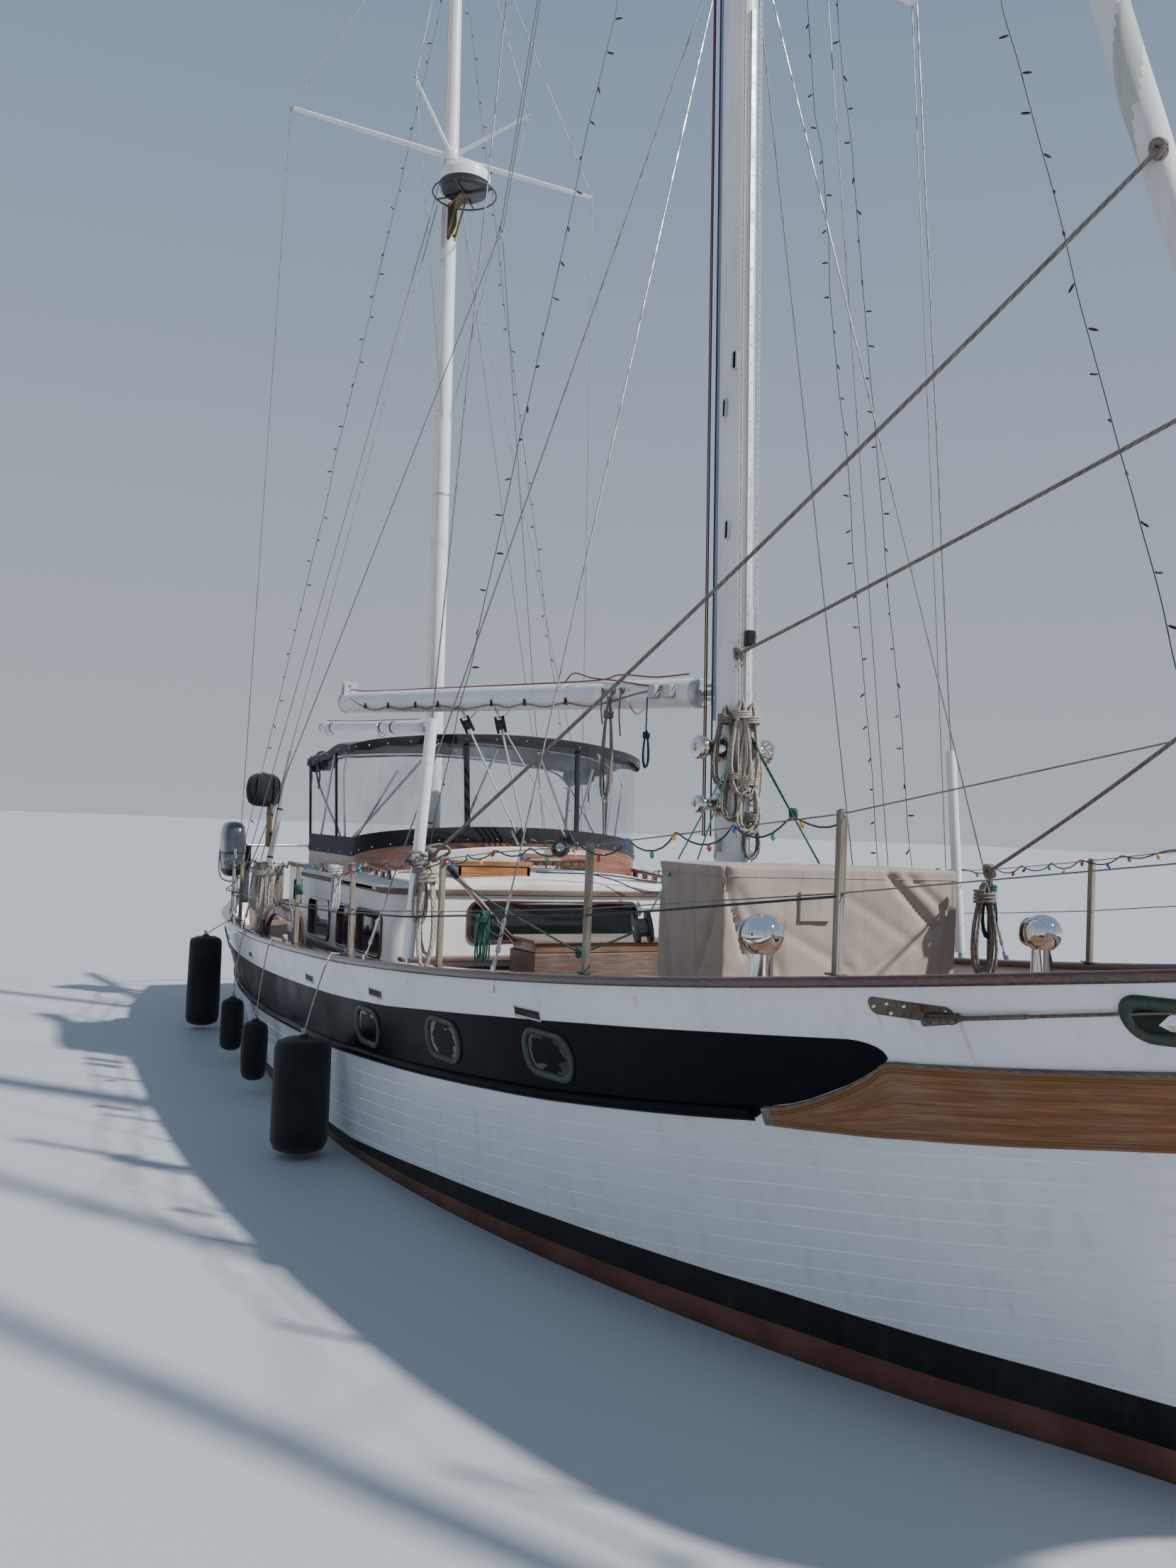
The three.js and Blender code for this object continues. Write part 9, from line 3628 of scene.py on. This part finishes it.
def make_fenders():
    """Fleece-covered fenders, each on a line over the rail."""
    for n, (x, z, r, half, line_x) in enumerate(FENDERS):
        y = -(side_half(station(x), z + half) + r + 0.06)
        shape = Shape()
        profile = [
            (0.0, -half - 0.03), (0.04, -half - 0.03), (r * 0.6, -half - 0.022),
            (r * 0.88, -half), (r * 0.98, -half + 0.05),
        ]
        profile += [
            (r * 0.99, -half * 0.3), (r * 0.985, half * 0.4), (r * 0.975, half - 0.05),
            (r * 0.9, half - 0.012), (r * 0.6, half + 0.01), (0.045, half + 0.014),
            (0.03, half + 0.034), (0.0, half + 0.036),
        ]
        shape.turned(profile, (x, y, z), UP, "fleece", 32)
        for p in shape.points:
            lump = noise.noise(Vector((p.x * 9, p.y * 9, p.z * 7))) * 0.012
            away = Vector((p.x - x, p.y - y, 0))
            if away.length > 0.02:
                p -= away.normalized() * (0.004 + abs(lump))
        shape.make(f"fender_sleeve_{n + 1}", "black_rubber", replaces=[f"fender_{n + 1}"], sharp=80)
        line = Shape()
        top = Vector((x, y, z + half + 0.03))
        s = station(line_x)
        over = Vector((line_x, -(s["half"] + CAP_OVERHANG + 0.008), s["rail"] - 0.01))
        path = [
            top,
            top.lerp(over, 0.5) + Vector((0.004, -0.01, 0)),
            over,
            Vector((line_x, -(s["half"] - 0.02), s["rail"] + 0.008)),
            Vector((line_x, -(s["half"] - 0.085), s["rail"] + 0.012)),
        ]
        line.tube(even(curve(path, 6), 0.02), 0.0055, "rope", 8)
        knot(line, top + UP * 0.02, 0.026, "rope")
        knot(line, Vector((line_x, -(s["half"] - 0.09), s["rail"] + 0.02)), 0.03, "rope")
        line.make(f"fender_line_{n + 1}", "tan_cloth")


make_fenders()


# Underwater: the solids keep their shape and take their paint

for node_name, finish_name in (("keel", "bottom"), ("rudder", "bottom"), ("propeller", "bronze")):
    for material_slot in bpy.data.objects[node_name].material_slots:
        material_slot.material = FINISHES[finish_name]


# Running rigging


def make_sheets():
    """The headsails' sheets, set up taut along the deck."""
    ropes = Shape()
    clew = Vector((7.7, 0.03, 4.63))
    pipe_knot = Vector((1.6, -1.86, 2.03))
    leads = [
        (pipe_knot, Vector((5.05, -0.08, 5.15)), 0.05),
        (on_mast(3.35, 0.14, -0.06), clew, 0.04),
        (Vector((3.28, 0.88, 2.07)), clew, 0.15),
    ]
    for a, b, sag in leads:
        ropes.tube(hanging(a, b, sag, 24), 0.0105, "old_rope", 10)
        knot(ropes, a, 0.045, "old_rope")
        knot(ropes, b, 0.045, "old_rope")
    tail = [leads[2][0], Vector((3.22, 0.95, 1.62)), Vector((3.16, 1.02, deck_z(3.16, 1.02) + 0.05))]
    ropes.tube(tail, 0.0105, "old_rope", 10)
    horn_cleat(ropes, (3.14, 1.03, deck_z(3.14, 1.03)), UP, (1, 0, 0), 0.2, "galvanised")
    eye = leads[1][0]
    ring = [eye + Vector((0, 0.03 * c, -0.06 + 0.03 * s)) for c, s in circle(1, 20)]
    ropes.tube([*ring, ring[0]], 0.005, "steel", 8)
    ropes.make("headsail_sheets", "tan_cloth")


PIPE_TOP = Vector((1.6, -1.9, 2.02))


def make_pipe_ropes():
    """Loops of the sheet's end round the pipe, and the tails that hang beside it."""
    loops = Shape()
    bow = [
        PIPE_TOP, (1.64, -1.98, 2.05), (1.6, -2.02, 2.01), (1.57, -1.96, 1.97), (1.58, -1.86, 1.99),
        (1.66, -1.78, 2.05), (1.62, -1.82, 2.09), (1.56, -1.9, 2.06), (1.6, -1.96, 2.0),
        (1.64, -1.9, 1.98),
    ]
    loops.tube(curve(bow, 7), 0.0105, "old_rope", 10)
    loops.make("pipe_knot", "tan_cloth")
    side_way = (0.46, 0.89, 0)
    hank(
        "pipe_coil_grey",
        PIPE_TOP + Vector((0.01, -0.03, -0.02)),
        side_way,
        0.4,
        0.11,
        3,
        0.0105,
        "old_rope",
        71,
    )
    hank(
        "pipe_coil_cream",
        PIPE_TOP + Vector((0.03, 0.01, -0.03)),
        side_way,
        0.62,
        0.13,
        3,
        0.011,
        "rope",
        72,
    )


def make_mast_ropes():
    """Coils on the mast's cleats, and the halyards led down to the deck."""
    side_way = (0.46, 0.89, 0)
    coils = (
        # height, ahead, aside, then the coil's size
        (3.06, 0.135, -0.035, 0.62, 0.2, 6, 0.0075, "rope"),
        (3.04, 0.13, 0.045, 0.66, 0.2, 7, 0.0075, "rope"),
        (3.0, 0.05, 0.105, 0.6, 0.17, 6, 0.007, "rope"),
        (3.02, 0.06, -0.1, 0.56, 0.18, 6, 0.0075, "old_rope"),
        (2.6, 0.145, 0.02, 0.4, 0.2, 5, 0.0075, "rope"),
        (2.62, 0.1, -0.08, 0.34, 0.16, 5, 0.007, "old_rope"),
        (2.36, 0.13, 0.05, 0.3, 0.16, 5, 0.0075, "old_rope"),
    )
    for n, (z, ahead, aside, tall, wide, turns, radius, finish) in enumerate(coils):
        at = on_mast(z, ahead, aside)
        hank(f"mast_coil_{n + 1}", at, side_way, tall, wide, turns, radius, finish, 81 + n)
    green = Shape()
    for a, b in (
        (on_mast(2.72, 0.13, -0.08), (2.45, -0.69, 2.07)),
        (on_mast(2.7, 0.13, -0.09), (2.45, -0.56, 2.07)),
        (on_mast(2.83, 0.145, 0.04), (2.8, 0.04, 2.075)),
        (on_mast(2.8, 0.14, 0.05), (2.74, 0.09, 2.075)),
    ):
        green.tube(hanging(a, b, 0.004, 8), 0.0052, "green_rope", 8)
    knot(green, (2.5, 0.07, 2.36), 0.035, "green_rope")
    green.make("green_halyards", "tan_cloth")
    other = Shape()
    for z1, ahead, aside, finish, radius in (
        (16.5, -0.16, -0.06, "blue_rope", 0.0055),
        (13.0, -0.17, -0.1, "dark_rope", 0.005),
        (11.0, -0.13, -0.14, "red_rope", 0.0045),
        (16.0, 0.15, 0.07, "white_rope", 0.0055),
        (15.0, 0.16, -0.07, "rope", 0.0055),
        (12.0, 0.02, 0.15, "white_rope", 0.005),
    ):
        other.tube([on_mast(2.2, ahead, aside), on_mast(z1, ahead * 0.9, aside * 0.9)], radius, finish, 8)
    other.make("mast_halyards", "tan_cloth")
    cream = Shape()
    for ahead, aside in ((0.02, -0.11), (0.05, -0.1)):
        cream.tube(
            [on_mast(2.1, ahead, aside, MIZZEN_X), on_mast(12.3, ahead * 0.7, aside * 0.7, MIZZEN_X)],
            0.005,
            "rope",
            8,
        )
    cream.make("mizzen_halyards", "tan_cloth")


def make_boom_hanks():
    gather = MAIN_BOOM.at(0.92, -0.12, -0.02)
    hank("boom_coil", gather, (0.4, 0.9, 0), 0.78, 0.1, 6, 0.0065, "old_rope", 91, "main_boom_spar")
    top = MAIN_BOOM.at(0.52, -0.11, -0.03)
    low = top - UP * 0.23
    hank("blue_coil", low, (0.4, 0.9, 0), 0.27, 0.06, 6, 0.005, "blue_rope", 92, "main_boom_spar", start=top)


def make_deck_lines():
    """Green and blue lines, a strut and blocks on the starboard side deck."""
    green = Shape()
    a, turn, block = (0.95, -1.5, 1.88), (2.95, -1.56, 1.6), (3.62, -1.6, 1.78)
    green.tube(curve([a, Vector(a).lerp(Vector(turn), 0.5) - UP * 0.01, turn], 8), 0.0055, "green_rope", 8)
    green.tube(hanging(turn, block, 0.008, 8), 0.0055, "green_rope", 8)
    green.tube(hanging(block, (2.52, -0.78, 2.0), 0.01, 8), 0.005, "green_rope", 8)
    knot(green, turn, 0.03, "green_rope")
    green.make("green_deck_lines", "tan_cloth")
    coil_at = line_at(2.6, STARBOARD, LINE_LOW - 0.005) - Vector((0, 0.008, 0))
    hank("green_coil", coil_at, (1, -0.05, 0), 0.28, 0.15, 5, 0.005, "green_rope", 101)
    blue = Shape()
    path = [
        (-0.5, -0.2, 1.845), (-0.46, 0.3, 1.84), (-0.45, 0.62, 1.815), (-0.44, 0.9, 1.78),
        (-0.45, 1.05, 1.78),
    ]
    blue.tube(curve(path, 8), 0.006, "blue_rope", 8)
    path = [
        (-0.5, 0.32, 1.835), (-0.44, 0.5, 1.79), (-0.43, 0.72, 1.71), (-0.43, 0.95, 1.68),
        (-0.45, 1.2, 1.72),
    ]
    blue.tube(curve(path, 8), 0.005, "blue_rope", 8)
    blue.make("roof_blue_line", "tan_cloth")
    gear = Shape()
    low, high = Vector((-0.25, -0.42, 1.27)), Vector((0.85, -1.45, 1.91))
    way = (high - low).normalized()
    length = (high - low).length
    gear.rod(low, high, 0.019, "mirror", 20)
    for at, turn_way in ((low, way), (high, -way)):
        gear.rod(at - turn_way * 0.03, at + turn_way * 0.11, 0.0215, "black", 16)
    gear.rod(low + way * (length * 0.45), low + way * (length * 0.47), 0.023, "black", 16)
    block_and_shackle(gear, (3.64, -1.6, 1.79), (0.4, 0, -0.9), 0.1)
    winch_way = Vector((0.4, -0.35, 0.35))
    gear.turned(
        [(0, 0), (0.075, 0), (0.08, 0.02), (0.06, 0.045), (0, 0.045)],
        (-0.82, 0.17, 2.02),
        winch_way,
        "black",
        24,
    )
    gear.turned(
        [(0, 0.045), (0.04, 0.045), (0.03, 0.06), (0, 0.065)],
        (-0.82, 0.17, 2.02),
        winch_way,
        "steel",
        20,
    )
    gear.block((2.5, -1.955, 1.6), (2.58, -1.915, 1.72), "vinyl", 0.015)
    gear.make("side_deck_gear", "stainless")
    ledge = Shape()
    ledge.block((-0.53, -1.32, 1.15), (-0.42, 0.1, 1.185), "eyebrow_y", 0.008)
    ledge.make("house_front_ledge", "varnished_wood")


def make_cover_hank():
    """The port sheet's end, coiled and hung at the end of the cover."""
    at = Vector((3.245, 0.86, 2.0))
    hank("cover_coil_1", at, (0.46, 0.89, 0), 0.56, 0.2, 6, 0.0095, "old_rope", 111)
    hank(
        "cover_coil_2", at + Vector((-0.01, 0.06, 0.02)), (0.46, 0.89, 0), 0.36, 0.12, 5, 0.006,
        "green_rope", 112,
    )


make_sheets()
make_cover_hank()
make_pipe_ropes()
make_mast_ropes()
make_boom_hanks()
make_deck_lines()


# Stage and light


def make_stage():
    """A pale floor at the waterline, a soft sky and one sun."""
    mesh = bpy.data.meshes.new("floor")
    reach = 300
    corners = [(-reach, -reach, 0), (reach, -reach, 0), (reach, reach, 0), (-reach, reach, 0)]
    mesh.from_pydata(corners, [], [(0, 1, 2, 3)])
    material, _, shader = new_material("pale_floor", 0.6)
    shader.inputs["Base Color"].default_value = (0.5, 0.51, 0.52, 1)
    mesh.materials.append(material)
    floor = bpy.data.objects.new("floor", mesh)
    bpy.context.scene.collection.objects.link(floor)
    world = bpy.data.worlds.new("studio")
    world.use_nodes = True
    sky = world.node_tree
    background = sky.nodes["Background"]
    way = node(sky, "ShaderNodeTexCoord").outputs["Generated"]
    height = node(sky, "ShaderNodeSeparateXYZ", {0: way}).outputs["Z"]
    colour = mixed(sky, ramp(sky, height, -0.02, 0.6), (0.8, 0.86, 0.94), (0.38, 0.53, 0.78))
    sky.links.new(colour, background.inputs["Color"])
    background.inputs["Strength"].default_value = 0.6
    bpy.context.scene.world = world
    light = bpy.data.lights.new("key", "SUN")
    light.energy = 5.0
    light.angle = math.radians(2)
    key = bpy.data.objects.new("key", light)
    key.rotation_euler = Vector((0.55, 0.5, 0.72)).to_track_quat("Z", "Y").to_euler()
    bpy.context.scene.collection.objects.link(key)


make_stage()
